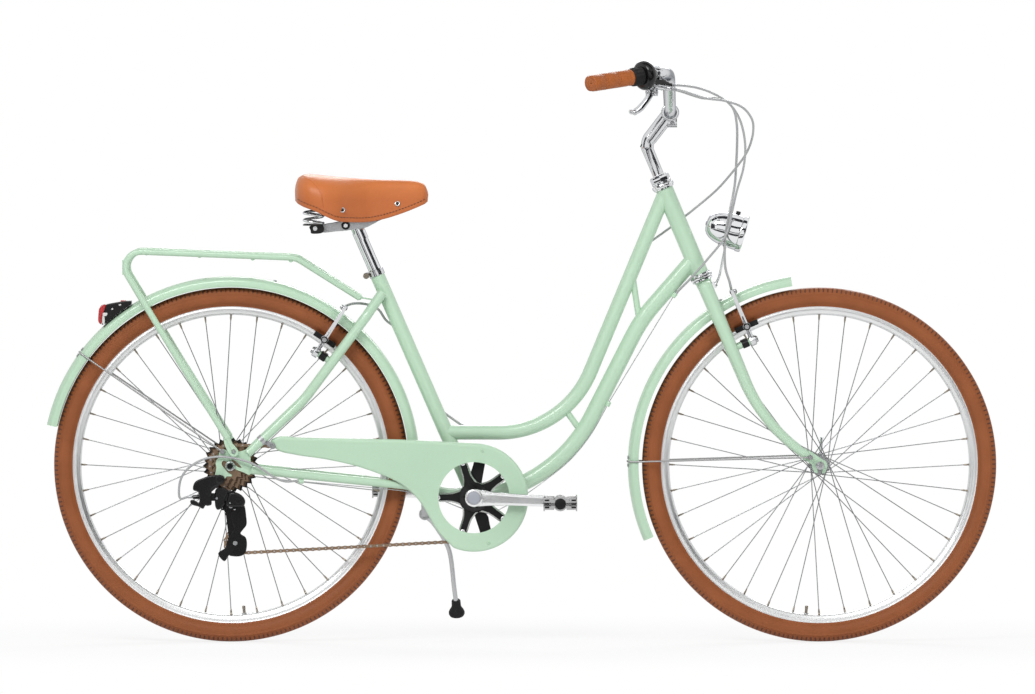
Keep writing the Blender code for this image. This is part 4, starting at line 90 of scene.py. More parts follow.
ORIGIN, X, Y, Z = at(0, 0, 0), at(1, 0, 0), at(0, 1, 0), at(0, 0, 1)
REAR_AXLE, FRONT_AXLE, BRACKET = at(-573.93, 0, 350), at(587.87, 0, 350), at(-94.03, 0, 287)
SEAT_LINE, STEER_LINE = at(-0.4003, 0, 0.9164).normalized(), at(-0.3875, 0, 0.9219).normalized()
SADDLE_AT = at(-322.32, 0, 812.45)
SIDES = (("right", -1), ("left", 1))
BOTH, XYZ = (-1, 1), (X, Y, Z)
print("wheelbase", round(FRONT_AXLE.x - REAR_AXLE.x, 1), "mm")

# %% [markdown]
# ## The camera
# A side view shot from far away has nearly parallel lines, so the two wheels are true circles.
# A long lens 20 m away does that. It stands a little above the middle of the bike and looks down by
# a degree and a half, so that the far pedal shows above the near one's line, as in the photograph.

# %% Camera at the photograph's place
scene = bpy.context.scene
SENSOR, DISTANCE, WIDTH_SEEN = 36, 20, 2.044
EYE_HEIGHT, AIM_HEIGHT = 1.10, 0.5824
camera_data = bpy.data.cameras.new("side_camera")
camera_data.sensor_width = SENSOR
camera_data.lens = SENSOR * DISTANCE / WIDTH_SEEN
camera_data.clip_end = 100
camera = bpy.data.objects.new("side_camera", camera_data)
camera.location = (-0.0082, -DISTANCE, EYE_HEIGHT)
camera.rotation_euler = (math.pi / 2 - math.atan((EYE_HEIGHT - AIM_HEIGHT) / DISTANCE), 0, 0)
scene.collection.objects.link(camera)
scene.camera = camera
print("lens", round(camera_data.lens, 1), "mm")

# %% [markdown]
# ## Nodes
# Every material and the world are small graphs of nodes. Typing each node as one call, with its
# settings and what feeds its sockets, keeps a graph as short as a formula.

# %% Tools for nodes
def feed(socket, term):
    """Links a socket to another one, or gives it a number, a colour or a vector."""
    if isinstance(term, bpy.types.NodeSocket):
        socket.id_data.links.new(term, socket)
    else:
        socket.default_value = (*term, 1) if socket.type == "RGBA" else term


def add(tree, kind, feeds=None, **settings):
    """A shader node with its settings and with what feeds its sockets."""
    made = tree.nodes.new("ShaderNode" + kind)
    made.location = (190 * len(tree.nodes) - 1400, 0)
    for name, value in settings.items():
        setattr(made, name, value)
    for name, term in (feeds or {}).items():
        feed(made.inputs[name], term)
    return made


def maths(kind, first, second, clamp=False):
    """One calculation. The second term is a socket or a number."""
    return add(first.id_data, "Math", {0: first, 1: second}, operation=kind, use_clamp=clamp).outputs[0]


def blend_colours(factor, first, second):
    """A mix of two colours, each a socket or three numbers."""
    return add(factor.id_data, "Mix", {0: factor, 6: first, 7: second}, data_type="RGBA").outputs[2]


def span(value, low, high, to_low, to_high, kind="LINEAR"):
    """The value moved from one range to another, held at its ends."""
    ends = {"Value": value, "From Min": low, "From Max": high, "To Min": to_low, "To Max": to_high}
    return add(value.id_data, "MapRange", ends, interpolation_type=kind).outputs[0]


def noise(vector, scale, detail=2.0, rough=0.5):
    feeds = {"Vector": vector, "Scale": scale, "Detail": detail, "Roughness": rough}
    return add(vector.id_data, "TexNoise", feeds).outputs[0]


def place_in(tree):
    """The place on the object, which every pattern is laid on."""
    return add(tree, "TexCoord").outputs["Object"]


def white_to_rays(tree):
    """A factor that is 1 for camera rays and for those that mirrors and glass send on."""
    path = add(tree, "LightPath").outputs
    return maths("MAXIMUM", maths("MAXIMUM", path["Is Camera Ray"], path["Is Glossy Ray"]), path["Is Transmission Ray"])


print("node tools ready")

# %% [markdown]
# ## Light and floor
# Product pictures use large soft lamps in a white room. The world is plain white to the camera and
# to mirrors, and gives a quieter level of light to everything else. Metal needs something dark to
# reflect as well, so a few dark panels stand outside the picture, as a photographer's flags do.

# %% World and lamps
scene.view_settings.view_transform = "Standard"
world = bpy.data.worlds.new("white_room")
scene.world = world
world.use_nodes = True
sky = world.node_tree
sky.nodes.clear()
soft = add(sky, "Background", {"Color": (0.98, 0.99, 1.0), "Strength": 0.42}).outputs[0]
white = add(sky, "Background", {"Color": (1, 1, 1)}).outputs[0]
add(sky, "OutputWorld", {0: add(sky, "MixShader", {0: white_to_rays(sky), 1: soft, 2: white}).outputs[0]})
LAMPS = {  # place, what it faces, width, height, power
    "key_lamp": ((-1.6, -3.2, 3.2), (0, 0, 0.5), 2.4, 1.6, 105),
    "fill_lamp": ((2.6, -3.0, 1.4), (0, 0, 0.5), 1.6, 2.2, 42),
    "rim_lamp": ((0.4, 3.2, 2.6), (0, 0, 0.6), 2.6, 1.4, 70),
}
for name, (place, aim, width, height, power) in LAMPS.items():
    data = bpy.data.lights.new(name, "AREA")
    data.shape = "RECTANGLE"
    data.size, data.size_y, data.energy = width, height, power
    lamp = bpy.data.objects.new(name, data)
    lamp.location = place
    lamp.rotation_euler = (Vector(aim) - Vector(place)).to_track_quat("-Z", "Y").to_euler()
    lamp.visible_glossy = name != "fill_lamp"
    scene.collection.objects.link(lamp)
print("lamps", len(LAMPS))

# %% [markdown]
# The floor is one plain sheet. To the camera it shows nearly white, and only the bike's own soft
# shadow darkens it: its shader mixes white light for camera rays with a plain matt surface, and
# leaves more of the matt one near the bike.

# %% Floor and dark panels
def stage_sheet(name, corners, material):
    """A flat sheet of the set through four corners, in metres."""
    mesh = bpy.data.meshes.new(name)
    mesh.from_pydata(rows(corners), [], [(0, 1, 2, 3)])
    mesh.materials.append(material)
    made = bpy.data.objects.new(name, mesh)
    scene.collection.objects.link(made)
    return made


floor_finish = bpy.data.materials.new("pale_floor")
floor_finish.use_nodes = True
ground = floor_finish.node_tree
ground.nodes.clear()
reach = add(ground, "VectorMath", {0: place_in(ground), 1: (0.42, 0.85, 0)}, operation="MULTIPLY").outputs[0]
far = add(ground, "VectorMath", {0: reach}, operation="LENGTH").outputs["Value"]
weight = maths("MULTIPLY", white_to_rays(ground), span(far, 0.25, 0.95, 0.80, 1.0, "SMOOTHSTEP"))
matt = add(ground, "BsdfDiffuse", {"Color": (0.86, 0.86, 0.86)}).outputs[0]
glow = add(ground, "Emission", {"Strength": 1.0}).outputs[0]
add(ground, "OutputMaterial", {0: add(ground, "MixShader", {0: weight, 1: matt, 2: glow}).outputs[0]})
stage_sheet("floor", "-30 -30 0, 30 -30 0, 30 30 0, -30 30 0", floor_finish)

flag_finish = bpy.data.materials.new("dark_panel")
flag_finish.use_nodes = True
flag_shader = flag_finish.node_tree.nodes["Principled BSDF"].inputs
flag_shader["Base Color"].default_value = (0.03, 0.03, 0.035, 1)
flag_shader["Roughness"].default_value = 1.0
FLAGS = {
    "flag_low": "-3.2 -4.4 0.05, 3.2 -4.4 0.05, 3.2 -4.4 0.42, -3.2 -4.4 0.42",
    "flag_floor": "-3.4 -3.1 0.02, 3.4 -3.1 0.02, 3.4 -1.5 0.02, -3.4 -1.5 0.02",
    "flag_high": "-3.4 -3.6 2.15, 3.4 -3.6 2.15, 3.4 -3.1 2.85, -3.4 -3.1 2.85",
    "flag_side": "3.4 -4.4 0.2, 3.4 -0.9 0.2, 3.4 -0.9 3.1, 3.4 -4.4 3.1",
    "flag_corner": "1.5 -4.5 1.4, 3.4 -4.5 1.4, 3.4 -4.5 3.0, 1.9 -4.5 2.6",
    "flag_back": "-3.4 -3.4 0.2, -3.4 -0.9 0.2, -3.4 -0.9 2.6, -3.4 -3.4 2.6",
    "flag_top": "-3.0 -0.9 3.4, 3.0 -0.9 3.4, 3.0 0.2 3.4, -3.0 0.2 3.4",
}
for name, corners in FLAGS.items():
    panel = stage_sheet(name, corners, flag_finish)
    panel.visible_camera = panel.visible_diffuse = panel.visible_shadow = False
print("flags", len(FLAGS))

# %% [markdown]
# ## Shared effects
# Real finishes are never one flat colour. Paint has a slight ripple, metal has fine lines, and
# every surface has a trace of dust. Each such effect is one node group with named inputs, so that
# the materials can share it and only change its numbers. A group only gives colours, values and
# heights: the shader itself stays in the material.

# %% A helper that builds a node group
def effect(name, inputs, outputs):
    """An empty shader node group, what comes in and what goes out."""
    group = bpy.data.node_groups.new(name, "ShaderNodeTree")
    for label, default in inputs.items():
        kind = "Float" if isinstance(default, float) else "Vector" if len(default) == 3 else "Color"
        group.interface.new_socket(label, in_out="INPUT", socket_type="NodeSocket" + kind).default_value = default
    for label in outputs:
        kind = "Color" if label == "Colour" else "Float"
        group.interface.new_socket(label, in_out="OUTPUT", socket_type="NodeSocket" + kind)
    start, end = group.nodes.new("NodeGroupInput"), group.nodes.new("NodeGroupOutput")
    start.location, end.location = (-1600, 0), (1600, 0)
    return group, start.outputs, end.inputs


GREY = (0.5, 0.5, 0.5, 1)
print("group helper ready")

# %% [markdown]
# ### Tone
# Paint, leather and rubber are a little lighter and darker from place to place, in soft clouds
# with fine specks in them. Two noises of very different size give that better than one.

# %% Group: uneven tone
inputs = {"Colour": GREY, "Cloud size": 12.0, "Speck size": 400.0, "Depth": 0.15}
tone, given, result = effect("uneven_tone", inputs, ("Colour", "Clouds"))
spot = place_in(tone)
clouds, specks = noise(spot, given["Cloud size"], 3.0, 0.6), noise(spot, given["Speck size"], 2.0, 0.6)
mixed = maths("ADD", maths("MULTIPLY", clouds, 0.65), maths("MULTIPLY", specks, 0.35))
swing = maths("MULTIPLY", maths("SUBTRACT", mixed, 0.5), maths("MULTIPLY", given["Depth"], 2.2))
scaled = add(tone, "VectorMath", {0: given["Colour"], "Scale": maths("ADD", swing, 1.0)}, operation="SCALE")
feed(result["Colour"], scaled.outputs[0])
feed(result["Clouds"], clouds)
print("group", tone.name)

# %% [markdown]
# ### Dust
# Dust settles on what faces up, and in patches. The group mixes a pale grey over the colour there
# and gives the mask, so that a material can also use it for its roughness.

# %% Group: settled dust
dust, given, result = effect("settled_dust", {"Colour": GREY, "Amount": 0.1}, ("Colour", "Mask"))
facing = add(dust, "SeparateXYZ", {0: add(dust, "NewGeometry").outputs["Normal"]}).outputs["Z"]
patches = span(noise(place_in(dust), 26.0, 6.0, 0.7), 0.42, 0.68, 0, 1)
dusty = maths("MULTIPLY", maths("MULTIPLY", span(facing, 0.1, 0.95, 0.15, 1.0), patches), given["Amount"], True)
feed(result["Colour"], blend_colours(dusty, given["Colour"], (0.46, 0.43, 0.39)))
feed(result["Mask"], dusty)
print("group", dust.name)

# %% [markdown]
# ### Fine lines in metal
# Polishing leaves hair-fine lines. A noise stretched hard along one direction looks like them.
# The same stretch gives the grain of drawn wire and of the brushed rims.

# %% Group: polishing lines
lines, given, result = effect("polishing_lines", {"Stretch": (6.0, 260.0, 260.0), "Size": 8.0}, ("Lines", "Haze"))
spot = place_in(lines)
pulled = add(lines, "VectorMath", {0: spot, 1: given["Stretch"]}, operation="MULTIPLY").outputs[0]
feed(result["Lines"], noise(pulled, given["Size"], 4.0, 0.7))
feed(result["Haze"], noise(spot, 18.0, 4.0, 0.6))
print("group", lines.name)

# %% [markdown]
# ### Leather
# Leather is a field of small rounded cells with creases between them. Voronoi cells, bent by a
# noise so that they aren't regular, give both the height of the grain and the darker creases.

# %% Group: leather grain
grain, given, result = effect("leather_grain", {"Cells": 700.0, "Crease": 0.35}, ("Height", "Creases"))
spot = place_in(grain)
bent = add(grain, "TexNoise", {"Vector": spot, "Scale": 90}).outputs["Color"]
shift = add(grain, "VectorMath", {0: bent, "Scale": 0.004}, operation="SCALE").outputs[0]
moved = add(grain, "VectorMath", {0: spot, 1: shift}, operation="ADD").outputs[0]
cells = add(grain, "TexVoronoi", {"Vector": moved, "Scale": given["Cells"]}, feature="DISTANCE_TO_EDGE")
edge = cells.outputs["Distance"]
raised = span(edge, 0.0, 0.32, 0, 1)
feed(result["Height"], maths("ADD", raised, maths("MULTIPLY", noise(spot, 2400.0, 2.0, 0.6), 0.4)))
feed(result["Creases"], maths("MULTIPLY", span(edge, 0.0, 0.10, 1, 0), given["Crease"]))
print("group", grain.name)

# %% [markdown]
# ### Moulded grain
# Plastic and rubber parts carry the fine spark-eroded texture of their mould.

# %% Group: moulded grain
mould, given, result = effect("moulded_grain", {"Size": 900.0}, ("Height",))
spot = place_in(mould)
broad = maths("MULTIPLY", noise(spot, 60.0), 0.6)
feed(result["Height"], maths("ADD", noise(spot, given["Size"], 3.0, 0.65), broad))
print("group", mould.name)

# %% [markdown]
# ## Finishes
# A finish is a material: its shader with the numbers that are the same everywhere, and the shared
# effects for what changes over the surface. One helper makes a material with its Principled shader,
# and others add colour, roughness and a bump, so each finish only says what is special about it.

# %% Helpers for finishes
FINISH = {}


def finish(name, rough, **plain):
    """A new material. Plain values sit on its shader's own sockets. Gives the tree and the sockets."""
    made = bpy.data.materials.new(name)
    made.use_nodes = True
    shader = made.node_tree.nodes["Principled BSDF"].inputs
    shader["Roughness"].default_value = rough
    for label, value in plain.items():
        shader[label.replace("_", " ")].default_value = value
    FINISH[name] = made
    return made.node_tree, shader


def use(tree, group, **values):
    """The outputs of a shared effect placed in a material, with its own values."""
    made = add(tree, "Group", node_tree=group)
    for label, value in values.items():
        feed(made.inputs[label.replace("_", " ")], value)
    return made.outputs


def relief(shader, height, distance, strength=0.5):
    """A bump from a height to the shader's normal."""
    feeds = {"Height": height, "Strength": strength, "Distance": distance}
    feed(shader["Normal"], add(height.id_data, "Bump", feeds).outputs[0])


def coloured(tree, shader, colour, depth=0.15, dusty=0.1, cloud=12.0, speck=400.0):
    """The colour with uneven tone and dust, linked to the shader. Gives the tone's clouds."""
    toned = use(tree, tone, Colour=colour, Depth=depth, Cloud_size=cloud, Speck_size=speck)
    feed(shader["Base Color"], use(tree, dust, Colour=toned["Colour"], Amount=dusty)["Colour"])
    return toned["Clouds"]


def rough_between(shader, value, smooth, dull):
    feed(shader["Roughness"], span(value, 0.35, 0.65, smooth, dull))


def coat_seen_square(tree, shader, low, high, most):
    """A coat that fades where the surface turns away, so that edges don't burn out on white."""
    facing = add(tree, "LayerWeight").outputs["Facing"]
    feed(shader["Coat Weight"], span(facing, low, high, most, 0.02))


print("finish helpers ready")

# %% [markdown]
# ### Paint, metals, plastics and rubber
# The frame has a pale mint gloss paint under clear lacquer: a coat on a rougher base, with a faint
# ripple called orange peel. Polished alloy and chrome are metals whose roughness changes along
# fine lines. Black steel and plastic differ in gloss and grain, and the chain is oiled bronze-brown.

# %% Paint
tree, shader = finish("mint_paint", 0.34, Coat_Roughness=0.07, Specular_IOR_Level=0.22)
coat_seen_square(tree, shader, 0.45, 0.93, 0.80)
rough_between(shader, coloured(tree, shader, (0.465, 0.650, 0.480), 0.07, 0.06, 6.0, 300.0), 0.28, 0.40)
relief(shader, noise(place_in(tree), 90.0, 1.0), 0.00002, 0.05)
print("paint ready")


# %% Metals
def metal(name, colour, smooth, dull, stretch, depth=0.1, dusty=0.08, strength=0.25):
    """A metal with polishing lines along one direction."""
    tree, shader = finish(name, smooth, Metallic=1.0, Specular_Tint=(0.36, 0.37, 0.39, 1))
    coloured(tree, shader, colour, depth, dusty, 9.0, 500.0)
    polish = use(tree, lines, Stretch=stretch, Size=8.0)
    both = maths("ADD", maths("MULTIPLY", polish["Lines"], 0.6), maths("MULTIPLY", polish["Haze"], 0.4))
    rough_between(shader, both, smooth, dull)
    relief(shader, polish["Lines"], 0.00008, strength)


metal("polished_alloy", (0.68, 0.69, 0.70), 0.08, 0.20, (10.0, 160.0, 60.0))
metal("satin_alloy", (0.90, 0.905, 0.91), 0.22, 0.26, (10.0, 160.0, 60.0), depth=0.04, dusty=0.02, strength=0.0)
metal("brushed_alloy", (0.88, 0.885, 0.89), 0.30, 0.46, (14.0, 420.0, 14.0), strength=0.4)
metal("cast_alloy", (0.56, 0.565, 0.575), 0.30, 0.46, (40.0, 40.0, 40.0), depth=0.12)
metal("chrome", (0.80, 0.81, 0.82), 0.03, 0.09, (8.0, 90.0, 90.0), depth=0.04, dusty=0.03, strength=0.06)
metal("steel", (0.50, 0.51, 0.52), 0.22, 0.42, (60.0, 60.0, 60.0))
metal("spoke_steel", (0.34, 0.345, 0.35), 0.22, 0.38, (200.0, 200.0, 200.0), dusty=0.04)
metal("bare_wire", (0.40, 0.40, 0.40), 0.34, 0.50, (200.0, 200.0, 200.0), dusty=0.02, strength=0.0)
metal("brass", (0.30, 0.26, 0.21), 0.28, 0.46, (90.0, 90.0, 90.0), depth=0.2)
metal("bronze_steel", (0.33, 0.225, 0.150), 0.26, 0.48, (160.0, 60.0, 160.0), depth=0.35, dusty=0.12)
metal("dark_bronze", (0.120, 0.080, 0.052), 0.24, 0.42, (160.0, 60.0, 160.0), depth=0.35)
print("metals 11")


# %% Plastics, rubber and thread
def plain_part(name, colour, smooth, dull, size, height, depth=0.25, dusty=0.18, **plain):
    """A moulded or painted part: tone, dust and a fine grain."""
    tree, shader = finish(name, dull, **plain)
    rough_between(shader, coloured(tree, shader, colour, depth, dusty), smooth, dull)
    relief(shader, use(tree, mould, Size=size)["Height"], height)


LOW = {"Specular_IOR_Level": 0.18}
BLACK = (0.008, 0.008, 0.009)
plain_part("black_steel", BLACK, 0.22, 0.36, 700.0, 0.00004, dusty=0.06, Coat_Weight=0.1, Coat_Roughness=0.2, **LOW)
plain_part("black_plastic", (0.010, 0.010, 0.011), 0.34, 0.50, 1200.0, 0.00008, dusty=0.07, **LOW)
plain_part("gloss_black", (0.005, 0.005, 0.0055), 0.14, 0.26, 500.0, 0.00002, dusty=0.04, Specular_IOR_Level=0.36)
plain_part("black_rubber", (0.013, 0.013, 0.0135), 0.58, 0.78, 900.0, 0.0002, dusty=0.10, **LOW)
plain_part("grey_housing", (0.37, 0.375, 0.38), 0.24, 0.36, 800.0, 0.00004, depth=0.08, dusty=0.05, Coat_Weight=0.4)
plain_part("cap_grey", (0.34, 0.355, 0.40), 0.30, 0.42, 900.0, 0.00004, depth=0.10, dusty=0.05)
plain_part("pale_plastic", (0.62, 0.62, 0.60), 0.25, 0.35, 700.0, 0.00004, depth=0.08, dusty=0.05)
plain_part("dark_chrome", (0.46, 0.46, 0.46), 0.12, 0.26, 500.0, 0.00003, depth=0.2, dusty=0.1, Metallic=1.0)
plain_part("red_button", (0.50, 0.012, 0.012), 0.25, 0.35, 700.0, 0.00004, dusty=0.05)
plain_part("stitch_thread", (0.66, 0.38, 0.20), 0.70, 0.90, 3000.0, 0.0001)
plain_part("dark_thread", (0.110, 0.045, 0.022), 0.70, 0.90, 3000.0, 0.0001)
print("finishes so far:", len(FINISH))

# %% [markdown]
# ### Tyre rubber
# The tyres are a warm brown natural rubber. New rubber has a dull skin, fine moulding lines and a
# little chalky dust in the tread, where it has touched the ground.

# %% Brown tyre rubber
tree, shader = finish("brown_tyre", 0.6, Specular_IOR_Level=0.3)
toned = use(tree, tone, Colour=(0.262, 0.078, 0.024), Depth=0.24, Cloud_size=22.0, Speck_size=700.0)
worn = maths("MULTIPLY", span(toned["Clouds"], 0.45, 0.62, 0, 1), 0.10)
feed(shader["Base Color"], blend_colours(worn, toned["Colour"], (0.33, 0.13, 0.06)))
rough_between(shader, toned["Clouds"], 0.50, 0.68)
relief(shader, use(tree, mould, Size=1100.0)["Height"], 0.0002)
# The notches between the shoulder blocks take a darker brown: painted shade in their hollows, on rubber that is one
# colour.
plain_part("tyre_groove", (0.105, 0.030, 0.013), 0.62, 0.80, 1100.0, 0.0002, depth=0.3, dusty=0.08)
print("tyre rubber ready")

# %% [markdown]
# ### Leather
# The saddle is a smooth tan leather with a satin polish on its top, and painted shade makes its sides darker. The
# grips are a deeper brown, with the same painted shade lower down. Both share the leather grain with their own cell
# size.


# %% Leather finishes
def leather(name, colour, dark, cells_size, height, smooth, dull, low, high):
    """Grained leather that darkens in its creases, and with painted shade that darkens it lower down, from one height,
    in metres, to another.
    """
    tree, shader = finish(name, dull, Coat_Roughness=0.30, Specular_IOR_Level=0.08)
    coat_seen_square(tree, shader, 0.40, 0.90, 0.32)
    toned = use(tree, tone, Colour=colour, Depth=0.22, Cloud_size=16.0, Speck_size=500.0)
    skin = use(tree, grain, Cells=cells_size)
    up = add(tree, "SeparateXYZ", {0: place_in(tree)}).outputs["Z"]
    # Painted shade: below the given heights the colour is mixed toward the dark one, so the lower sides look shaded.
    painted_shade_mix = blend_colours(span(up, low, high, 0.55, 0.0), toned["Colour"], dark)
    feed(shader["Base Color"], blend_colours(skin["Creases"], painted_shade_mix, dark))
    rough_between(shader, toned["Clouds"], smooth, dull)
    relief(shader, skin["Height"], height, 0.55)


# The last two numbers are the heights, in metres, of the painted shade on the lower sides.
leather("tan_leather", (0.610, 0.190, 0.058), (0.400, 0.110, 0.038), 620.0, 0.00022, 0.32, 0.44, 0.872, 0.905)
leather("brown_grip", (0.400, 0.115, 0.030), (0.170, 0.045, 0.018), 900.0, 0.00025, 0.40, 0.55, 1.070, 1.100)
print("leathers ready")

# %% [markdown]
# ### Lenses
# The lamp's front is clear, so light goes through it to the reflector. The rear lens is red plastic
# full of small ribs, which scatter light and make it look deep rather than painted.

# %% Clear and red lenses
tree, shader = finish("clear_lens", 0.04, Transmission_Weight=0.96, IOR=1.49, Alpha=1.0)
feed(shader["Base Color"], use(tree, tone, Colour=(0.93, 0.95, 0.96), Depth=0.02)["Colour"])
relief(shader, noise(place_in(tree), 160.0, 1.0), 0.0002, 0.1)
tree, shader = finish("red_lens", 0.14, Coat_Weight=0.6, Coat_Roughness=0.05, Subsurface_Weight=0.15)
shader["Subsurface Radius"].default_value = (0.004, 0.0006, 0.0006)
coloured(tree, shader, (0.42, 0.008, 0.010), 0.25, 0.03, 60.0, 900.0)
ribs = add(tree, "TexVoronoi", {"Vector": place_in(tree), "Scale": 420}).outputs["Distance"]
relief(shader, ribs, 0.0012, 0.6)
print("lenses ready")

# %% [markdown]
# ## Solids that keep their shape
# Brake arms, hubs, pulleys and brackets have the right shape already. They only need rounded shading
# and their finish. Welding joins the separate corners of their faces, splitting at real edges keeps
# those crisp, and smooth shading turns the flats of a tube into a round. Every solid gets its finish,
# so that one which a finer piece replaces later still looks right by itself.

# %% Finishes of the solids
CLASSES = {
    "mint_paint": "frame rear_mudguard rear_rack chain_guard fork front_mudguard",
    "polished_alloy": "seat_clamp crank_right crank_left stem handlebar brake_lever_right brake_lever_left "
    "lever_bracket_left rear_brake_arm_right rear_brake_arm_left front_brake_arm_right front_brake_arm_left",
    "brushed_alloy": "rear_rim front_rim",
    "steel": "rear_axle rear_hub front_hub front_axle",
    "chrome": "seatpost front_qr_lever headlight_shell headset_locknut",
    "cast_alloy": "kickstand_leg kickstand_bracket",
    "black_steel": "bottom_bracket chainring saddle_frame saddle_spring_left saddle_spring_right",
    "bronze_steel": "freewheel chain",
    "black_plastic": "tail_light_housing pedal_right pedal_left tension_pulley guide_pulley",
    "gloss_black": "shifter_body derailleur_mount_knuckle derailleur_outer_link derailleur_inner_link "
    "derailleur_cage_knuckle derailleur_cage",
    "black_rubber": "shifter_twist",
    "brown_tyre": "rear_tyre front_tyre",
    "tan_leather": "saddle_cover",
    "brown_grip": "grip_right grip_left",
    "grey_housing": "shift_cable rear_brake_cable front_brake_cable",
    "red_lens": "tail_light_lens",
    "clear_lens": "headlight_lens",
    "red_button": "tail_light_button",
}
BEVELS = {  # width in millimetres
    0.4: "bottom_bracket",
    0.5: "derailleur_outer_link derailleur_inner_link seat_clamp",
    0.6: "derailleur_mount_knuckle derailleur_cage_knuckle lever_bracket_left kickstand_bracket kickstand_leg stem",
    0.7: "pedal_right pedal_left rear_brake_arm_right rear_brake_arm_left front_brake_arm_right front_brake_arm_left",
    0.8: "shifter_body tail_light_housing tail_light_button front_qr_lever",
    1.0: "crank_right crank_left brake_lever_right brake_lever_left",
}


def crisp(made, angle, bevel, bevel_from):
    """Edges sharper than an angle stay crisp, and on request get a small bevel."""
    if bevel:
        rim = made.modifiers.new("rounded_edges", "BEVEL")
        rim.width, rim.segments = bevel * MM, 2
        rim.limit_method, rim.angle_limit = "ANGLE", math.radians(bevel_from)
    if angle:
        made.modifiers.new("crisp_edges", "EDGE_SPLIT").split_angle = math.radians(angle)


widths = {name: width for width, members in BEVELS.items() for name in members.split()}
for finish_name, members in CLASSES.items():
    for name in members.split():
        mesh = nodes[name].data
        mesh.materials.clear()
        mesh.materials.append(FINISH[finish_name])
        if "custom_normal" in mesh.attributes:
            mesh.attributes.remove(mesh.attributes["custom_normal"])
        mesh.polygons.foreach_set("use_smooth", [True] * len(mesh.polygons))
        nodes[name].modifiers.new("weld", "WELD").merge_threshold = 0.000012
        crisp(nodes[name], 50.0 if finish_name == "mint_paint" else 32.0, widths.get(name), 40)
print("finished solids:", sum(len(m.split()) for m in CLASSES.values()), "of", len(nodes))

# %% [markdown]
# ## Tools for new pieces
# Most bike parts are turned, bent from tube or built of small repeated bits. A shape here is a list
# of points and faces that grows bit by bit and becomes one mesh at the end. That is quicker and
# more exact than hundreds of separate objects, and each face still remembers its finish.


# %% A growing shape
class Shape:
    """Points, in millimetres, and faces of one piece. Each face has the number of its finish."""

    def __init__(self):
        self.points, self.faces, self.marks = [], [], []

    def put(self, points, faces, mark=0, flip=False):
        first = len(self.points)
        self.points.extend(Vector(p) for p in points)
        self.faces.extend(tuple(first + i for i in (face[::-1] if flip else face)) for face in faces)
        self.marks.extend([mark] * len(faces))
        return self

    def piece(self, name, body, finishes, replaced="", slot=None, angle=None, bevel=None):
        """The shape as an object that rides on a body."""
        mesh = bpy.data.meshes.new(name)
        mesh.from_pydata([p * MM for p in self.points], [], self.faces)
        mesh.polygons.foreach_set("material_index", self.marks)
        mesh.polygons.foreach_set("use_smooth", [True] * len(mesh.polygons))
        mesh.validate()
        made = bpy.data.objects.new(name, mesh)
        for entry in finishes.split():
            mesh.materials.append(FINISH[entry])
        scene.collection.objects.link(made)
        crisp(made, angle, bevel, 35)
        if body:
            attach(made, body)
        if replaced:
            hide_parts(*replaced.split())
        return made


def grid(count, ring, closed_way=True, closed_ring=True):
    """Faces between rows of points: count rows with ring points each."""
    faces = []
    for i in range(count if closed_way else count - 1):
        for j in range(ring if closed_ring else ring - 1):
            a, b, k = i * ring, ((i + 1) % count) * ring, (j + 1) % ring
            faces.append((a + j, a + k, b + k, b + j))
    return faces


print("shapes ready")

# %% [markdown]
# A lathe gives what is round, and a section carried along a line gives what is bent. The line has
# arcs at its corners where the real tube was bent on a form, and is a free curve for a cable.


# %% Turning and sweeping
def square_to(axis):
    """Two directions square to an axis."""
    first = axis.cross(Y if abs(axis.normalized().y) < 0.9 else X).normalized()
    return first, axis.normalized().cross(first).normalized()


def turned(shape, profile, centre, axis=Y, steps=48, mark=0, closed_profile=False):
    """A lathe: rows of radius and place along the axis, turned round the axis."""
    first, second = square_to(axis)
    axis, profile, points = axis.normalized(), rows(profile), []
    for i in range(steps):
        turn = 2 * math.pi * i / steps
        out = first * math.cos(turn) + second * math.sin(turn)
        points.extend(centre + out * radius + axis * along for radius, along in profile)
    return shape.put(points, grid(steps, len(profile), True, closed_profile), mark)


def swept(shape, path, radius, sides=10, mark=0, caps=True, squash=1.0, flat_way=None):
    """A tube along a path. The radius is one number, or one for each point."""
    path = [Vector(p) for p in rows(path)]
    count = len(path)
    radii = radius if isinstance(radius, list) else [radius] * count
    heading = (path[1] - path[0]).normalized()
    first, second = square_to(heading)
    if flat_way is not None:
        second = (flat_way - heading * flat_way.dot(heading)).normalized()
        first = second.cross(heading).normalized()
    points = []
    for i, spot in enumerate(path):
        ahead = (path[min(i + 1, count - 1)] - path[max(i - 1, 0)]).normalized()
        turn = heading.rotation_difference(ahead)
        first, second, heading = turn @ first, turn @ second, ahead
        for j in range(sides):
            angle = 2 * math.pi * j / sides
            across = first * math.cos(angle) + second * (squash * math.sin(angle))
            points.append(spot + across * radii[i])
    ends = [tuple(range(sides)), tuple(range((count - 1) * sides, count * sides))[::-1]] if caps else []
    return shape.put(points, grid(count, sides, False, True) + ends, mark)


def smooth_path(knots, step=4.0):
    """A rounded curve through the knots (Catmull-Rom), with points about one step apart."""
    knots = [Vector(k) for k in rows(knots)]
    ends = [knots[0] * 2 - knots[1], *knots, knots[-1] * 2 - knots[-2]]
    found = [knots[0]]
    for a, b, c, d in zip(ends, ends[1:], ends[2:], ends[3:]):
        times = [0.0]
        for p, q in ((a, b), (b, c), (c, d)):
            times.append(times[-1] + max((q - p).length, 0.001) ** 0.5)

        def between(low, high, i, j, t):
            return low.lerp(high, (t - times[i]) / (times[j] - times[i]))

        cuts = max(2, round((c - b).length / step))
        for t in (times[1] + (times[2] - times[1]) * i / cuts for i in range(1, cuts + 1)):
            ab, bc, cd = between(a, b, 0, 1, t), between(b, c, 1, 2, t), between(c, d, 2, 3, t)
            found.append(between(between(ab, bc, 0, 2, t), between(bc, cd, 1, 3, t), 1, 2, t))
    return found


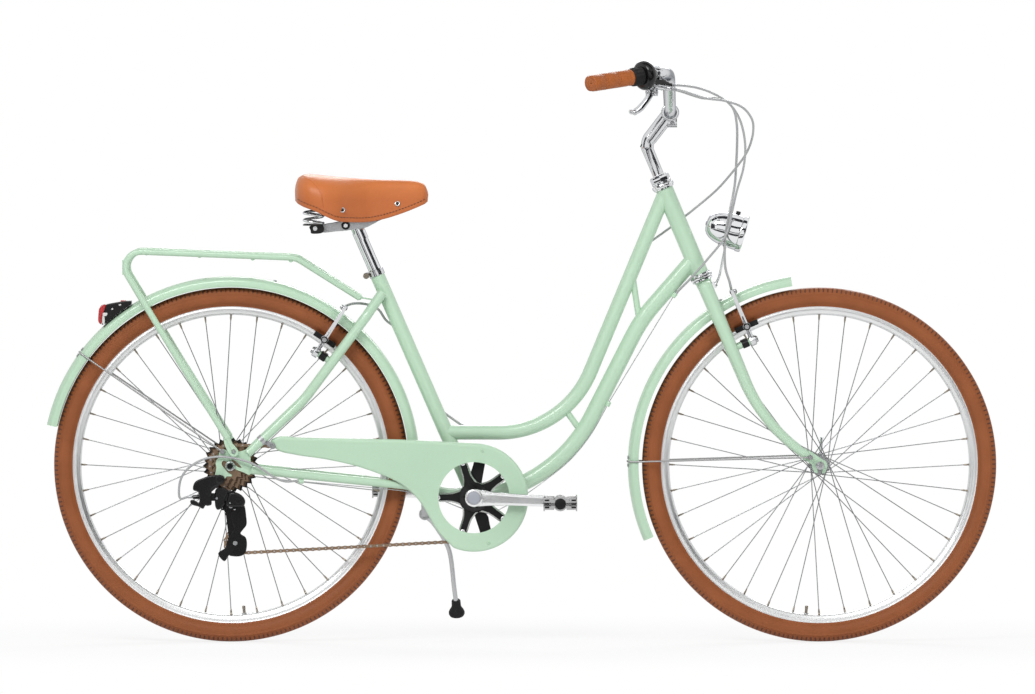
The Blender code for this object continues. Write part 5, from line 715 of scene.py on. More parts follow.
def rounded_path(corners, radii, steps=8):
    """A line through corners, each rounded by an arc."""
    corners = [Vector(c) for c in rows(corners)]
    found = [corners[0]]
    for before, corner, after, radius in zip(corners, corners[1:], corners[2:], radii):
        back, ahead = (before - corner).normalized(), (after - corner).normalized()
        half = back.angle(ahead) / 2
        middle = corner + (back + ahead).normalized() * (radius / math.sin(half))
        start, end = (corner + way * (radius / math.tan(half)) - middle for way in (back, ahead))
        found += [middle + start.slerp(end, i / steps).normalized() * radius for i in range(steps + 1)]
    return [*found, corners[-1]]


print("turning and sweeping ready")

# %% [markdown]
# Blocks, bolts and plates make up the rest. A pillow is a plate with a rounded outer edge, as a
# cast or pressed piece has, and a flat plate can have holes.


# %% Blocks, bolts and plates
def slab(shape, centre, axes, size, mark=0):
    """A box along three directions. It is always one bit of a larger piece."""
    half = [axis * (length / 2) for axis, length in zip(axes, size)]
    square = ((-1, -1), (1, -1), (1, 1), (-1, 1))
    corners = [centre + half[0] * i + half[1] * j + half[2] * k for k in BOTH for i, j in square]
    faces = [(3, 2, 1, 0), (4, 5, 6, 7)] + [(i, (i + 1) % 4, 4 + (i + 1) % 4, 4 + i) for i in range(4)]
    return shape.put(corners, faces, mark)


def bolt(shape, spot, axis, radius, height, mark=0, hexagon=True, washer=0.0):
    """A bolt's head, hexagonal or with a socket, and its washer."""
    if washer:
        turned(shape, [(0, 0), (washer, 0), (washer, 0.9), (0, 0.9)], spot, axis, 20, mark)
        spot = spot + axis.normalized() * 0.9
    if hexagon:
        head = [(0, 0), (radius, 0), (radius, height * 0.85), (radius * 0.86, height), (0, height)]
    else:
        hole = radius * 0.5
        head = [(radius, 0), (radius, height * 0.6), (radius * 0.8, height), (hole, height)]
        head += [(hole, height * 0.35), (0, height * 0.35)]
    return turned(shape, head, spot, axis, 6 if hexagon else 24, mark)


def closed_curve(places, cuts=4):
    """A rounded closed loop through places (x, z)."""
    knots = [at(x, 0, z) for x, z in rows(places)]
    found = []
    for i in range(len(knots)):
        a, b, c, d = (knots[(i + k - 1) % len(knots)] for k in range(4))
        for t in (s / cuts for s in range(cuts)):
            square, cube = a * 2 - b * 5 + c * 4 - d, b * 3 - a - c * 3 + d
            found.append((b * 2 + (c - a) * t + square * t * t + cube * t**3) / 2)
    return found


def inset(loop, amount):
    """A closed loop moved inward, for one that runs clockwise as seen from the right."""
    found = []
    for i, spot in enumerate(loop):
        ahead = (loop[(i + 1) % len(loop)] - loop[i - 1]).normalized()
        found.append(spot + at(ahead.z, 0, -ahead.x) * amount)
    return found


def layers(shape, loop, steps, mark=0, flip=False):
    """Walls between copies of a loop: each step has how far it is moved inward, and its y."""
    loops = [[beside(p, y) for p in inset(loop, amount)] for amount, y in rows(steps)]
    shape.put([p for one in loops for p in one], grid(len(loops), len(loop), False, True), mark, flip)
    return loops


def filled(loops):
    """Triangles that fill a loop around its holes."""
    return geometry.tessellate_polygon([[at(p.x, p.z, 0) * MM for p in loop] for loop in loops])


def flat_plate(shape, outline, low, high, holes=()):
    """A plate in the bike's plane between two places in y, with holes through it."""
    loops = [outline, *holes]
    triangles = filled(loops)
    for y, faces in ((low, [t[::-1] for t in triangles]), (high, triangles)):
        shape.put([beside(p, y) for loop in loops for p in loop], faces)
    for loop in loops:
        shape.put([beside(p, y) for y in (low, high) for p in loop], grid(2, len(loop), False, True))
    return shape


def pillow(shape, loop, back, front, rim, mark=0):
    """A cast or pressed piece: an outline from one y to another, with its outer edge rounded."""
    if sum(a.x * b.z - b.x * a.z for a, b in zip(loop, loop[1:] + loop[:1])) > 0:
        loop = loop[::-1]
    out = 1 if front > back else -1
    turns = (0.0, 0.4, 0.8, 1.2, math.pi / 2)
    edge = [(rim * (1 - math.cos(t)), front - out * rim * (1 - math.sin(t))) for t in turns]
    loops = layers(shape, loop, [(0.0, back), *edge], mark)
    for one in (loops[0], loops[-1]):
        shape.put(one, filled([one]), mark)
    return shape


print("blocks, bolts and plates ready")

# %% [markdown]
# ## Tyres
# A city tyre has a rounded crown with a fine file tread, a row of small blocks on each shoulder, a
# smooth brown sidewall with a few moulded lines, and beads that sit in the rim. The section could be
# drawn once and turned, but the blocks need the turning itself to rise and fall. So each step of the
# turn has its own section, and the shoulder's points move in and out with a block pattern.

# %% Tyres with shoulder blocks
SECTION = rows(  # radius and half width, from the bead over the crown
    """309.6 10.4, 314 12.2, 317.2 14.2, 317.6 15.3, 318.6 15.6, 319 16.3, 325 18.8, 329.2 19.7,
    333 20, 336.6 19.5, 337.1 19.9, 338 19.7, 338.5 19, 341.2 18, 344 16.4, 345.9 14.6, 347.2 12.8,
    348.2 10.8, 348.6 10, 349.1 8, 349.7 5.2, 349.9 2.6, 350 0"""
)
CUT = {13: 0.3, 14: 1.4, 15: 1.6, 16: 1.4, 17: 0.4}


def tyre_piece(name, centre):
    shape, points = Shape(), []
    steps, half = 720, len(SECTION)
    across = 2 * half - 2
    for i in range(steps):
        out = around(ORIGIN, 1.0, 360 * i / steps - 90)
        for side in BOTH:
            notched = (i + (2 if side > 0 else 0)) % 3 == 0
            for j in range(half) if side < 0 else range(half - 2, -1, -1):
                radius, y = SECTION[j]
                cut = CUT.get(j, 0) if notched else 0
                tread = 0.4 * ((i // 2 + j) % 2) if 18 <= j < 22 else 0
                points.append(beside(centre, side * (y - cut)) + out * (radius - cut * 0.3 - tread))
    shape.put(points, grid(steps, across + 1, True, False))
    # Faces in the notches between the shoulder blocks take the second finish, a darker brown that is painted shade.
    for k in range(len(shape.marks)):
        i, j = divmod(k, across)
        row, shift = (j, 0) if j < half - 1 else (across - 1 - j, 2)
        shape.marks[k] = int(13 <= row < 17 and (i + shift) % 3 == 0)
    return shape.piece(name + "_tyre_rubber", name + "_wheel", "brown_tyre tyre_groove", name + "_tyre", "brown_tyre")


for name, centre in (("rear", REAR_AXLE), ("front", FRONT_AXLE)):
    made = tyre_piece(name, centre)
    print(made.name, len(made.data.vertices), "points")

# %% [markdown]
# ## Rims, spokes and valves
# The rim is rolled alloy with flat brake tracks, a small step below them and a rounded inner wall.
# Thirty-six spokes run from the hub's flanges, each leaning forward or back, to brass nipples in the
# rim. They are all one mesh per wheel, built spoke by spoke from the same angles as the solids.

# %% Rims, spokes and valves
RIM_HALF = rows(
    """317.2 10.8, 317.5 11.4, 317.1 12, 316 12, 315.6 11.7, 311 11.7, 310.6 11.5, 310.2 11.7, 305.2 11.7,
    304.6 11.4, 304 10.6, 300.8 9.8, 298.2 7.8, 296.6 4.8, 296 0"""
)
RIM_LOOP = [(r, -y) for r, y in RIM_HALF] + RIM_HALF[-2::-1] + rows("312 10.2, 307.5 8.5, 306 0, 307.5 -8.5, 312 -10.2")
WHEELS = {  # axle, flanges of the hub, angle of the valve
    "rear": (REAR_AXLE, (-19.0, 34.0), -85.0),
    "front": (FRONT_AXLE, (-30.0, 30.0), -95.0),
}
SPOKES, FLANGE_RADIUS = 36, 19.6
NIPPLE = "0.95 -11.5, 1.3 -11.3, 1.5 -8, 1.8 -7, 1.8 -1.2, 2.8 -0.6, 2.8 0.8"
THREADS = [(3.6, 0), (3.6, -1), (3, -1.2)]
for i in range(9):
    THREADS += [(3, -1.4 - i * 0.9), (2.6, -1.85 - i * 0.9)]
THREADS += [(3.1, -10), (3.1, -15), (2.4, -16), (0, -16)]
for name, (centre, flanges, valve_angle) in WHEELS.items():
    body = name + "_wheel"
    rim = turned(Shape(), RIM_LOOP, centre, Y, 288, 0, True)
    rim.piece(name + "_rim_alloy", body, "brushed_alloy", name + "_rim", "polished_alloy", 40)
    wires = Shape()
    for k in range(SPOKES):
        flange, lean, angle = flanges[k % 2], 1 if (k // 2) % 2 else -1, -90 + 10 * k
        root = around(centre, FLANGE_RADIUS, angle + lean * 60, flange + lean * 1.5)
        edge = around(centre, 296.5, angle, math.copysign(3.0, flange) + lean * 0.8)
        swept(wires, [root, root.lerp(edge, 0.04), edge], [1.12, 0.95, 0.95], 8, 0, False)
        turned(wires, "0 0, 1.9 0.2, 1.9 0.9, 0 1.4", beside(root, flange + lean * 1.8), Y * lean, 10)
        turned(wires, NIPPLE, edge, edge - root, 10, 1)
    wires.piece(name + "_spokes", body, "spoke_steel brass", "", "steel")
    out, foot = around(ORIGIN, 1.0, valve_angle), around(centre, 296.2, valve_angle)
    valve = turned(Shape(), THREADS, foot, out, 20)
    turned(valve, "0 0.6, 5.2 0.2, 5.2 -1.4, 0 -1.4", foot, out, 6, 1)
    valve.piece(name + "_valve", body, "brass steel", "", "polished_alloy")
print("wheels dressed")

# %% [markdown]
# ## The saddle
# A sprung city saddle is thick leather over shaped foam on a stiff base: broad behind, waisted in
# the middle, narrow at the nose, with a skirt that ends in a row of stitches. It could be sculpted by
# hand, or swelled from a flat pattern. Stretched leather over a base hardly creases, so sections from
# rear to nose, rounded like a worn seat, give a truer surface. Each section runs from the skirt's edge
# over the crown to the other edge, and then under the lip.

# %% Saddle sections
SADDLE = np.array(rows(  # place, half width, top, skirt's edge
    """-124 38 90 60, -120.5 62 101 56, -113 80 108.5 51, -103 92 112 46.5, -85 101 111.2 40, -64 104 109.2 29.8,
        -42 95 107.4 20.5, -12 69 105.4 17.6, 18 46 104 17.6, 48 33 102.6 22.8, 78 27.5 101.4 31.8,
        105 24.5 99.4 41.8, 123 21.5 95.5 49.5, 132 16 89.5 54, 136.5 9.5 79 58"""
))
SLOPES = np.gradient(SADDLE[:, 1:], SADDLE[:, 0], axis=0)


def saddle_row(x):
    """Half width, top and edge of the saddle at a place, by smooth interpolation."""
    i = int(np.clip(np.searchsorted(SADDLE[:, 0], x) - 1, 0, len(SADDLE) - 2))
    h = SADDLE[i + 1, 0] - SADDLE[i, 0]
    t = (x - SADDLE[i, 0]) / h
    start = (2 * t**3 - 3 * t**2 + 1) * SADDLE[i, 1:] + (t**3 - 2 * t**2 + t) * h * SLOPES[i]
    return start + (-2 * t**3 + 3 * t**2) * SADDLE[i + 1, 1:] + (t**3 - t**2) * h * SLOPES[i + 1]


def saddle_skin(x, u, out=0.0):
    """A point of the leather: u runs from the right edge, 0, over the top to the left edge, 1."""
    half, top, low = saddle_row(x)
    angle = math.pi * u
    side = -math.copysign(abs(math.cos(angle)) ** 0.62, math.cos(angle))
    rise = math.sin(angle) ** 0.60
    dip = 3.2 * math.exp(-((side * half / 20) ** 2)) * (1 - abs(x - 5) / 150)
    y = side * (half + out) * (1 - 0.05 * (1 - rise))
    return SADDLE_AT + at(x, y, low + (top + out - low) * rise - max(dip, 0))


ROUND = 41
shape = Shape()
stations = [-124 + 260.5 * (0.5 - 0.5 * math.cos(math.pi * i / 60)) for i in range(61)]
for x in stations:
    half, top, low = saddle_row(x)
    over = [saddle_skin(x, u / (ROUND - 1)) for u in range(ROUND)]
    lip = [over[-1] - Y * 1.6 - Z * 1.2, over[-1] - Y * 4 + Z * 3]
    under = low + min(22, 0.45 * (top - low))
    roof = [SADDLE_AT + at(x, share * (half - 5), under) for share in (0.8, 0.4, 0.0, -0.4, -0.8)]
    back = [over[0] + Y * 4 + Z * 3, over[0] + Y * 1.6 - Z * 1.2]
    shape.points.extend([*over, *lip, *roof, *back])
ring = ROUND + 9
for a in range(0, ring * (len(stations) - 1), ring):
    for j in range(ring):
        b, k = a + ring, (j + 1) % ring
        shape.faces.append((a + j, b + j, b + k, a + k))
        shape.marks.append(1 if ROUND + 1 <= j <= ROUND + 6 else 0)
for start, bulge in ((0, -1.8), (ring * (len(stations) - 1), 1.8)):
    rim = [start + j for j in range(ring)]
    middle = sum((shape.points[j] for j in rim), ORIGIN) / ring + X * bulge
    pairs = zip(rim, rim[1:] + rim[:1])
    shape.faces += [(len(shape.points), a, b) if bulge > 0 else (len(shape.points), b, a) for a, b in pairs]
    shape.points.append(middle)
    shape.marks += [0] * ring
cover = shape.piece("saddle_leather", "saddle", "tan_leather black_plastic", "saddle_cover", "tan_leather")
smoother = cover.modifiers.new("rounded", "SUBSURF")
smoother.levels = smoother.render_levels = 1
print("saddle", len(cover.data.vertices), "points")

# %% [markdown]
# A line of thread holds the leather's turned edge, about 10 mm above it, eyelets with black pins hold
# it to the base, and a seam curves down each rear side. Each stitch is a short bent rod half sunk in
# the skin, as a real one pulls in, and the seam is a thin welt swept over the skin.

# %% Stitches and rivets
threads = Shape()


def skin_at(x, side, height, out=0.0):
    """The skin's point at a height over the saddle's origin, on one side."""
    low, high = 0.0, 0.5
    for _ in range(24):
        middle = (low + high) / 2
        if saddle_skin(x, middle).z < SADDLE_AT.z + height:
            low = middle
        else:
            high = middle
    found = saddle_skin(x, low, out)
    return found if side < 0 else beside(found, -found.y)


WELT = rows("-104 104, -96 102, -88.5 97, -80 88, -74.4 78.8, -70.5 68, -69.3 58.7, -67.2 48")
rivets = Shape()
for side in BOTH:
    x = -118.5
    while x < 132:
        a, b, c = (
            skin_at(x + d, side, saddle_row(x + d)[2] + 8.5, o) for d, o in ((0.0, 0.0), (1.9, 0.8), (3.8, 0.0))
        )
        swept(threads, [a, b, c], 0.7, 6)
        x += 6
    welt = smooth_path([skin_at(x, side, z) for x, z in WELT], 3)
    swept(rivets, welt, 0.8, 8, 2)
    for x, height in ((-30.5, 41.6), (77.2, 53.6)):
        spot = skin_at(x, side, height)
        outward = (skin_at(x, side, height, 4) - spot).normalized()
        turned(rivets, "5.6 -1.2, 5.6 0.3, 4.9 1.3, 3.8 1.5, 3 0.9, 3 -0.4", spot, outward, 24)
        turned(rivets, "3.1 0.6, 2.4 1.4, 1.2 1.8, 0 1.9", spot, outward, 20, 1)
threads.piece("saddle_stitches", "saddle", "dark_thread", "", "tan_leather")
rivets.piece("saddle_rivets", "saddle", "polished_alloy gloss_black tan_leather", "", "tan_leather")
print("rivets 4")

# %% [markdown]
# The two springs under the rear are wound steel wire. Each is one swept coil that rides on the seat post.

# %% Springs
SPRING_TURNS, COIL_STEPS = 2.5, 28
for name, side in SIDES:
    base = SADDLE_AT + at(-88.5, side * 47, 11.8)
    coil = []
    for k in range(int(SPRING_TURNS * COIL_STEPS) + 1):
        rise = 2.2 + 35.6 * (k / (SPRING_TURNS * COIL_STEPS))
        turn = 2 * math.pi * k / COIL_STEPS
        coil.append(base + at(18.5 * math.cos(turn), side * 18.5 * math.sin(turn), rise))
    shape = swept(Shape(), coil, 2.3, 10)
    spring = shape.piece("spring_coil_" + name, "seat_post", "chrome", "saddle_spring_" + name, "black_steel")
    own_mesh(spring)
print("springs 2")

# %% [markdown]
# ## Grips
# The grips are leather sleeves sewn round the bar: a flat end with a small hole, a body with two raised
# seams round it and a line of stitches underneath. They are turned along the bar's own direction.

# %% Grips
GRIP_STITCHES = 26
GRIP_PROFILE = rows("""0 3, 1.1 3, 1.3 0.4, 1.6 0, 10 0, 10.4 0.4, 10.8 0, 13.8 0.1, 15.2 0.8, 15.8 2.4, 15.8 10""")
for middle in (30, 62):
    half_seam = [(15.7, 3.2), (15, 2.2), (15, 1.6), (16, 0.6)]
    GRIP_PROFILE += [(r, middle - along) for r, along in half_seam]
    GRIP_PROFILE += [(r, middle + along) for r, along in half_seam[::-1]]
GRIP_PROFILE += rows("15.5 88, 15 92, 15.9 93, 16 97.2, 15 98, 11.8 98")
for name, side in SIDES:
    tip, inward = at(135.05, side * 300, 1102.58), at(0.78887, -side * 0.60262, 0.12055).normalized()
    shape = turned(Shape(), GRIP_PROFILE, tip, inward, 56)
    grip = shape.piece("grip_leather_" + name, "fork_body", "brown_grip", "grip_" + name, "brown_grip")
    seam = Shape()
    down = (-Z - inward * (-Z).dot(inward)).normalized()
    for k in range(GRIP_STITCHES):
        start = tip + inward * (8 + 3.1 * k) + down * 15.5
        swept(seam, [start, start + inward * 0.9 + down * 0.5, start + inward * 1.9], 0.45, 5)
    seam.piece("grip_seam_" + name, "fork_body", "stitch_thread", "", "brown_grip")
print("grips 2")

# %% [markdown]
# ## Twist shifter
# The shifter's rubber sleeve has soft ribs for the fingers. Its housing is a smooth black bulge with
# a small window that shows the gear. Turning gives the sleeve, and the ribs come from moving every
# other point of the turn outward.

# %% Twist sleeve
TWIST_LINE = at(0.78887, 0.60262, 0.12055).normalized()
TWIST_START = at(212.6, -240.8, 1114.4)
shape = Shape()
first, second = square_to(TWIST_LINE)
SLEEVE = rows("11.8 0, 16 0, 17 1.6, 18.2 4.5, 18.6 8, 18.6 19, 19 21.5, 19 23.8, 11.8 23.8")
RIBS, SLEEVE_STEPS = 14, 72
points = []
for i in range(SLEEVE_STEPS):
    turn = 2 * math.pi * i / SLEEVE_STEPS
    out = first * math.cos(turn) + second * math.sin(turn)
    for j, (radius, along) in enumerate(SLEEVE):
        if 2 <= j <= 6:
            radius -= 1.1 * max(0.0, math.cos(turn * RIBS)) * (1 if 3 <= j <= 5 else 0.4)
        points.append(TWIST_START + out * radius + TWIST_LINE * along)
shape.put(points, grid(SLEEVE_STEPS, len(SLEEVE)))
shape.piece("twist_sleeve", "twist_grip", "black_rubber", "shifter_twist", "black_rubber")
print("sleeve length", SLEEVE[-1][1])

# %% [markdown]
# ## The chain
# A chain is outer and inner plates, pins and rollers, half an inch from pin to pin. Here it has 118
# links. One link could be copied along a curve by a modifier, but then it wouldn't bend at the pins.
# So the pins are placed first, one pitch apart round the toothed wheels and along the runs, by the
# same rule as for the solid. Each pair of pins then gets its own plates.

# %% Chain line
PITCH, LINKS, RING_TEETH = 12.7, 118, 42


def pitch_radius(teeth):
    return PITCH / (2 * math.sin(math.pi / teeth))


CHAIN_WHEELS = [  # centre as a complex number, pitch radius, side of the chain
    (complex(BRACKET.x, BRACKET.z), pitch_radius(RING_TEETH), 1),
    (complex(-564.62, 197.13), pitch_radius(10), 1),
    (complex(-573.18, 270.06), pitch_radius(10), -1),
    (complex(REAR_AXLE.x, REAR_AXLE.z), pitch_radius(20), 1),
]
print("pitch radii", [round(wheel[1], 4) for wheel in CHAIN_WHEELS])

# %% Pins along the runs and arcs
leaves, arrives = [], []
for (c1, r1, s1), (c2, r2, s2) in zip(CHAIN_WHEELS, CHAIN_WHEELS[1:] + CHAIN_WHEELS[:1]):
    across = c2 - c1
    step = s2 * r2 - s1 * r1
    way = across / complex(math.sqrt(abs(across) ** 2 - step**2), -step)
    leaves.append(c1 + 1j * way * s1 * r1)
    arrives.append(c2 + 1j * way * s2 * r2)
arrives = arrives[-1:] + arrives[:-1]
runs = []
for i, (centre, radius, sense) in enumerate(CHAIN_WHEELS):
    enter, leave = cmath.phase(arrives[i] - centre), cmath.phase(leaves[i] - centre)
    runs.append((radius * (((enter - leave) * sense) % (2 * math.pi)), centre, radius, enter, sense))
    target = arrives[(i + 1) % 4]
    runs.append((abs(target - leaves[i]), leaves[i], target, None, None))
total = sum(run[0] for run in runs)


def chain_place(distance):
    """The point at a distance along the chain."""
    distance %= total
    for length, start, end, enter, sense in runs:
        if distance <= length:
            if sense is None:
                return start + (end - start) * (distance / length)
            return start + cmath.rect(end, enter - sense * distance / end)
        distance -= length
    return chain_place(0.0)


pins, spot = [], 10
for _ in range(LINKS):
    pins.append(chain_place(spot))
    low, high = spot + PITCH * 0.98, spot + PITCH * 1.10
    for _ in range(34):
        middle = (low + high) / 2
        low, high = (middle, high) if abs(chain_place(middle) - pins[-1]) < PITCH else (low, middle)
    spot = (low + high) / 2
print("chain closes to", round(abs(pins[0] - chain_place(spot)), 2), "mm")

# %% Plates, pins and rollers
CHAIN_Y = -47


def link_outline(a, b, radius, waist):
    """A plate's outline round two pins, drawn in at its middle."""
    way = (b - a) / abs(b - a)
    points = []
    for end, turned_by in ((b, 0.0), (a, math.pi)):
        for k in range(-3, 4):
            points.append(end + way * cmath.rect(radius, turned_by + k * math.pi / 7))
        middle = (a + b) / 2 + way * cmath.rect(waist, turned_by + math.pi / 2)
        points.append(middle)
    return points


chain_shape = Shape()
for k, pin in enumerate(pins):
    ahead = pins[(k + 1) % LINKS]
    inside = 1.25 if k % 2 else 2.2
    outline = link_outline(pin, ahead, 3.7, 2.5)
    count = len(outline)
    for side in BOTH:
        low, high = CHAIN_Y + side * inside, CHAIN_Y + side * (inside + 0.9)
        points = [at(p.real, low, p.imag) for p in outline] + [at(p.real, high, p.imag) for p in outline]
        faces = [tuple(range(count))[::side], tuple(range(count, 2 * count))[::-side]]
        faces += [(i, (i + 1) % count, count + (i + 1) % count, count + i)[:: -side] for i in range(count)]
        chain_shape.put(points, faces, 0)
    spot = at(pin.real, CHAIN_Y, pin.imag)
    turned(chain_shape, "0 -3.3, 1.6 -3.2, 1.8 -2.9, 1.8 2.9, 1.6 3.2, 0 3.3", spot, Y, 10, 1)
    turned(chain_shape, "1.8 -1.18, 3.8 -1.18, 3.8 1.18, 1.8 1.18", spot, Y, 12, 1)
chain_shape.piece("roller_chain", "frame_body", "bronze_steel steel", "chain", "bronze_steel", angle=35)
print("links", LINKS)

# %% [markdown]
# ## Brake and gear cables
# A cable is a thin steel wire in a grey housing. The housing stops at a metal end cap, and the wire
# goes on bare to what it pulls. The routes repeat the solids' own points, rounded to one smooth
# curve each. The upper housings, which cross the steering, ride on no body.

# %% Cable routes
SHIFT_UPPER = """291.9 -187.9 1098.9, 307 -178.7 1099.2, 341.6 -158.2 1094.8, 373 -138 1084.3, 407.5 -116 1063.1,
    428.6 -100 1031.5, 439.3 -86 984, 436.7 -76 939, 423.5 -64 891, 415 -55 853, 402 -51.5 804, 366 -40 756,
    334 -27 719, 313.4 -12 697.6, 301.2 -6 685"""
SHIFT_WIRE_A = "301.6 -6 685.9, 173 -6 474.3"
SHIFT_WIRE_B = """168.6 -6 465.9, 136.2 -6 409, 96.5 -6 360.1, 48.5 -7 320.6, -3.4 -10 284.3, -66 -16.5 254,
    -94 -22.5 257, -119 -26.5 265, -182 -33.5 289.8, -226 -42 298.6, -428.8 -60.5 318.6"""
SHIFT_LOWER = """-432.7 -60.9 319.1, -443.6 -61.9 320.2, -464.4 -71.8 319.4, -485.9 -80 327, -509.9 -86 344,
    -536.9 -85 358, -569.9 -80.5 366.2, -598.9 -80 368.5, -629.9 -79 362, -659.9 -77 342, -672.9 -72 318,
    -672.2 -67 285.5, -658.2 -64 288.5, -648.2 -64 288.5"""
REAR_UPPER = """293.1 -200.4 1092.2, 312 -196 1088.7, 360 -176 1074, 399.6 -154 1068.5, 434 -132 1055.2,
    452.5 -112 1031.5, 455.1 -95 1010.2, 450 -72 983.9, 439.3 -46 960, 418.2 -20 931, 386.4 4 893.9, 338.8 20 853,
    294.1 24.5 818.3, 237.3 18 777.7"""
REAR_LOWER = """237.3 18 777.7, 204.6 18 699.2, 166.2 18 606.9, 130.8 18 524.2, 115.9 18 498.3, 97.2 18 474.9,
    75.1 18 454.6, 50.1 18 438, 22.8 18 425.7, -6.1 18 417.7, -56 18 415, -101.3 18 419.5, -137.3 19.5 440.5,
    -175.5 18 473.5, -212 18 557, -234.7 18 609, -268.1 18 635, -282.7 11 656, -299.7 9 665, -329.9 22 668.1,
    -344.9 26 664.1, -348.9 18 659.1"""
FRONT_ROUTE = """293.1 200.4 1092.2, 312 196 1088.7, 359.9 170 1073.8, 386.4 135 1074, 407.5 105 1068,
    420.7 80 1049.9, 426.1 58 1020.9, 426.1 33 983.9, 423.5 4 938.9, 420.1 -25 901.4, 410.1 -42.5 850,
    402.6 -43 810.7, 400 -42.5 775.4, 402 -37 737.7, 410 -30 712, 414.1 -18 694.7, 415.6 -6 691"""


CAP = "0 0, 2.2 0, 3 0.8, 3 3, 2.8 3.4, 3 3.8, 3 6.4, 2.8 6.8, 3 7.2, 3 9, 2.5 9.6"


def cable_piece(name, route, radius, body, capped=(True, True), replaced="", finishes="grey_housing steel"):
    """A housing or a wire along its route, with a crimped metal cap at the ends that ask for one."""
    path = smooth_path(route, 5)
    shape = swept(Shape(), path, radius, 12)
    for wanted, line in zip(capped, (path, path[::-1])):
        if wanted:
            turned(shape, CAP, line[0], line[1] - line[0], 18, 1)
    return shape.piece(name, body, finishes, replaced, "grey_housing")


BARE, WIRES = (False, False), "steel steel"
upper = cable_piece("shift_housing_upper", SHIFT_UPPER, 2.3, None, replaced="shift_cable")
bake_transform(upper)
cable_piece("shift_wire_upper", SHIFT_WIRE_A, 0.9, "frame_body", BARE, "", WIRES)
cable_piece("shift_wire_lower", SHIFT_WIRE_B, 0.9, "frame_body", BARE, "", WIRES)
cable_piece("shift_housing_lower", SHIFT_LOWER, 2.3, "frame_body")
upper = cable_piece("rear_brake_housing_upper", REAR_UPPER, 2.3, None, (True, False), "rear_brake_cable")
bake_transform(upper)
cable_piece("rear_brake_housing_lower", REAR_LOWER, 2.5, "frame_body", (False, True))
cable_piece("front_brake_housing", FRONT_ROUTE, 2.5, "fork_body", replaced="front_brake_cable")
for name, body, line in (
    ("front", "fork_body", "415.6 -4 691, 415.6 36.2 691"),
    ("rear", "frame_body", "-348.9 16 659.1, -348.9 -36.2 659.1"),
):
    swept(Shape(), line, 0.8, 8).piece(name + "_brake_wire", body, "bare_wire", "", "steel")
print("cables dressed")

# %% [markdown]
# ## Headlamp
# The headlamp is a chromed bullet: a spun shell, a rolled rim that holds the glass, a bowl-shaped
# mirror with a small bulb inside, and a push switch on top. All but the switch are turned shapes on
# the lamp's own line. Two bent wires and a clip carry it from the fork's crown.

# %% Lamp shell, mirror and glass
LAMP_TIP = at(363.7, 0, 827.7)
LAMP_LINE = at(958.3, 0, -285.7).normalized()
UP = LAMP_LINE.cross(Y)
UP = UP if UP.z > 0 else -UP
ON_LAMP = LAMP_TIP, LAMP_LINE
lamp = Shape()
turned(lamp, """0 0, 4 0, 4.4 0.6, 4.2 1.4, 9 1.8, 15 3.4, 20.5 7, 25.5 13, 29.2 20.5, 31.8 29, 33.6 39, 34.7 50,
    35.3 60, 35.5 67, 35.2 68.4, 35.6 69, 36.5 69.4, 36.9 70.2, 37 72, 37 76.5, 36.6 78.5, 35.6 79.8, 34.6 80,
    33.8 79.4, 33.8 68.6""", *ON_LAMP, 72, 0)
turned(lamp, "33.4 70, 31 56, 26.2 43, 19 33, 10 27.5, 5.2 26.2, 5.2 24, 0 24", *ON_LAMP, 56)
turned(lamp, "5 24.5, 5 30, 3.4 31, 3.4 33", *ON_LAMP, 20, 1)
turned(lamp, "3.4 33, 4.6 36, 5 39.5, 4.4 43, 2.6 45.5, 0 46.2", *ON_LAMP, 24, 2)
switch = LAMP_TIP + LAMP_LINE * 56 + UP * 34
turned(lamp, "7 0, 7 1.4, 6.2 2, 4.6 2.2, 4.6 5.6, 3.8 6.4, 0 6.5", switch, UP, 24, 3)
for way in BOTH:
    low, middle, high = at(381.6, way * 9, 705.3), at(389.4, way * 9, 717.3), at(402.8, way * 9, 783.8)
    bends = [low, low.lerp(middle, 0.6), middle.lerp(high, 0.12), middle.lerp(high, 0.6), high]
    swept(lamp, smooth_path(bends, 3), 2.1, 12)
CROWN_OUT, CROWN_UP = at(0.9219, 0, 0.3875), at(-0.3875, 0, 0.9219)
slab(lamp, at(380.2, 0, 705.1), (CROWN_OUT, Y, CROWN_UP), (3.6, 23.6, 13.6))
bolt(lamp, at(380.2, 0, 705.1) + CROWN_OUT * 1.8, CROWN_OUT, 4.2, 3.4, 4, True, 6)
foot = LAMP_TIP + LAMP_LINE * 45 - UP * 33.8
slab(lamp, foot + UP * 0.5, (LAMP_LINE, Y, UP), (20, 25, 2.8))
lamp.piece(
    "lamp_shell", "fork_body", "chrome black_plastic pale_plastic gloss_black steel", "headlight_shell", "chrome",
    angle=38
)
glass = Shape()
turned(glass, "33.6 68.6, 33.6 72.2, 32.5 75.2, 29 77.2, 23 79, 15 80.3, 7 80.8, 0 80.9", *ON_LAMP, 64)
turned(glass, "32.6 68.6, 32.4 72, 31.2 73.8, 28 75.4, 22 77, 15 78.1, 7 78.6, 0 78.7", *ON_LAMP, 64)
glass.piece("lamp_glass", "fork_body", "clear_lens", "headlight_lens", "clear_lens")
print("lamp ready")
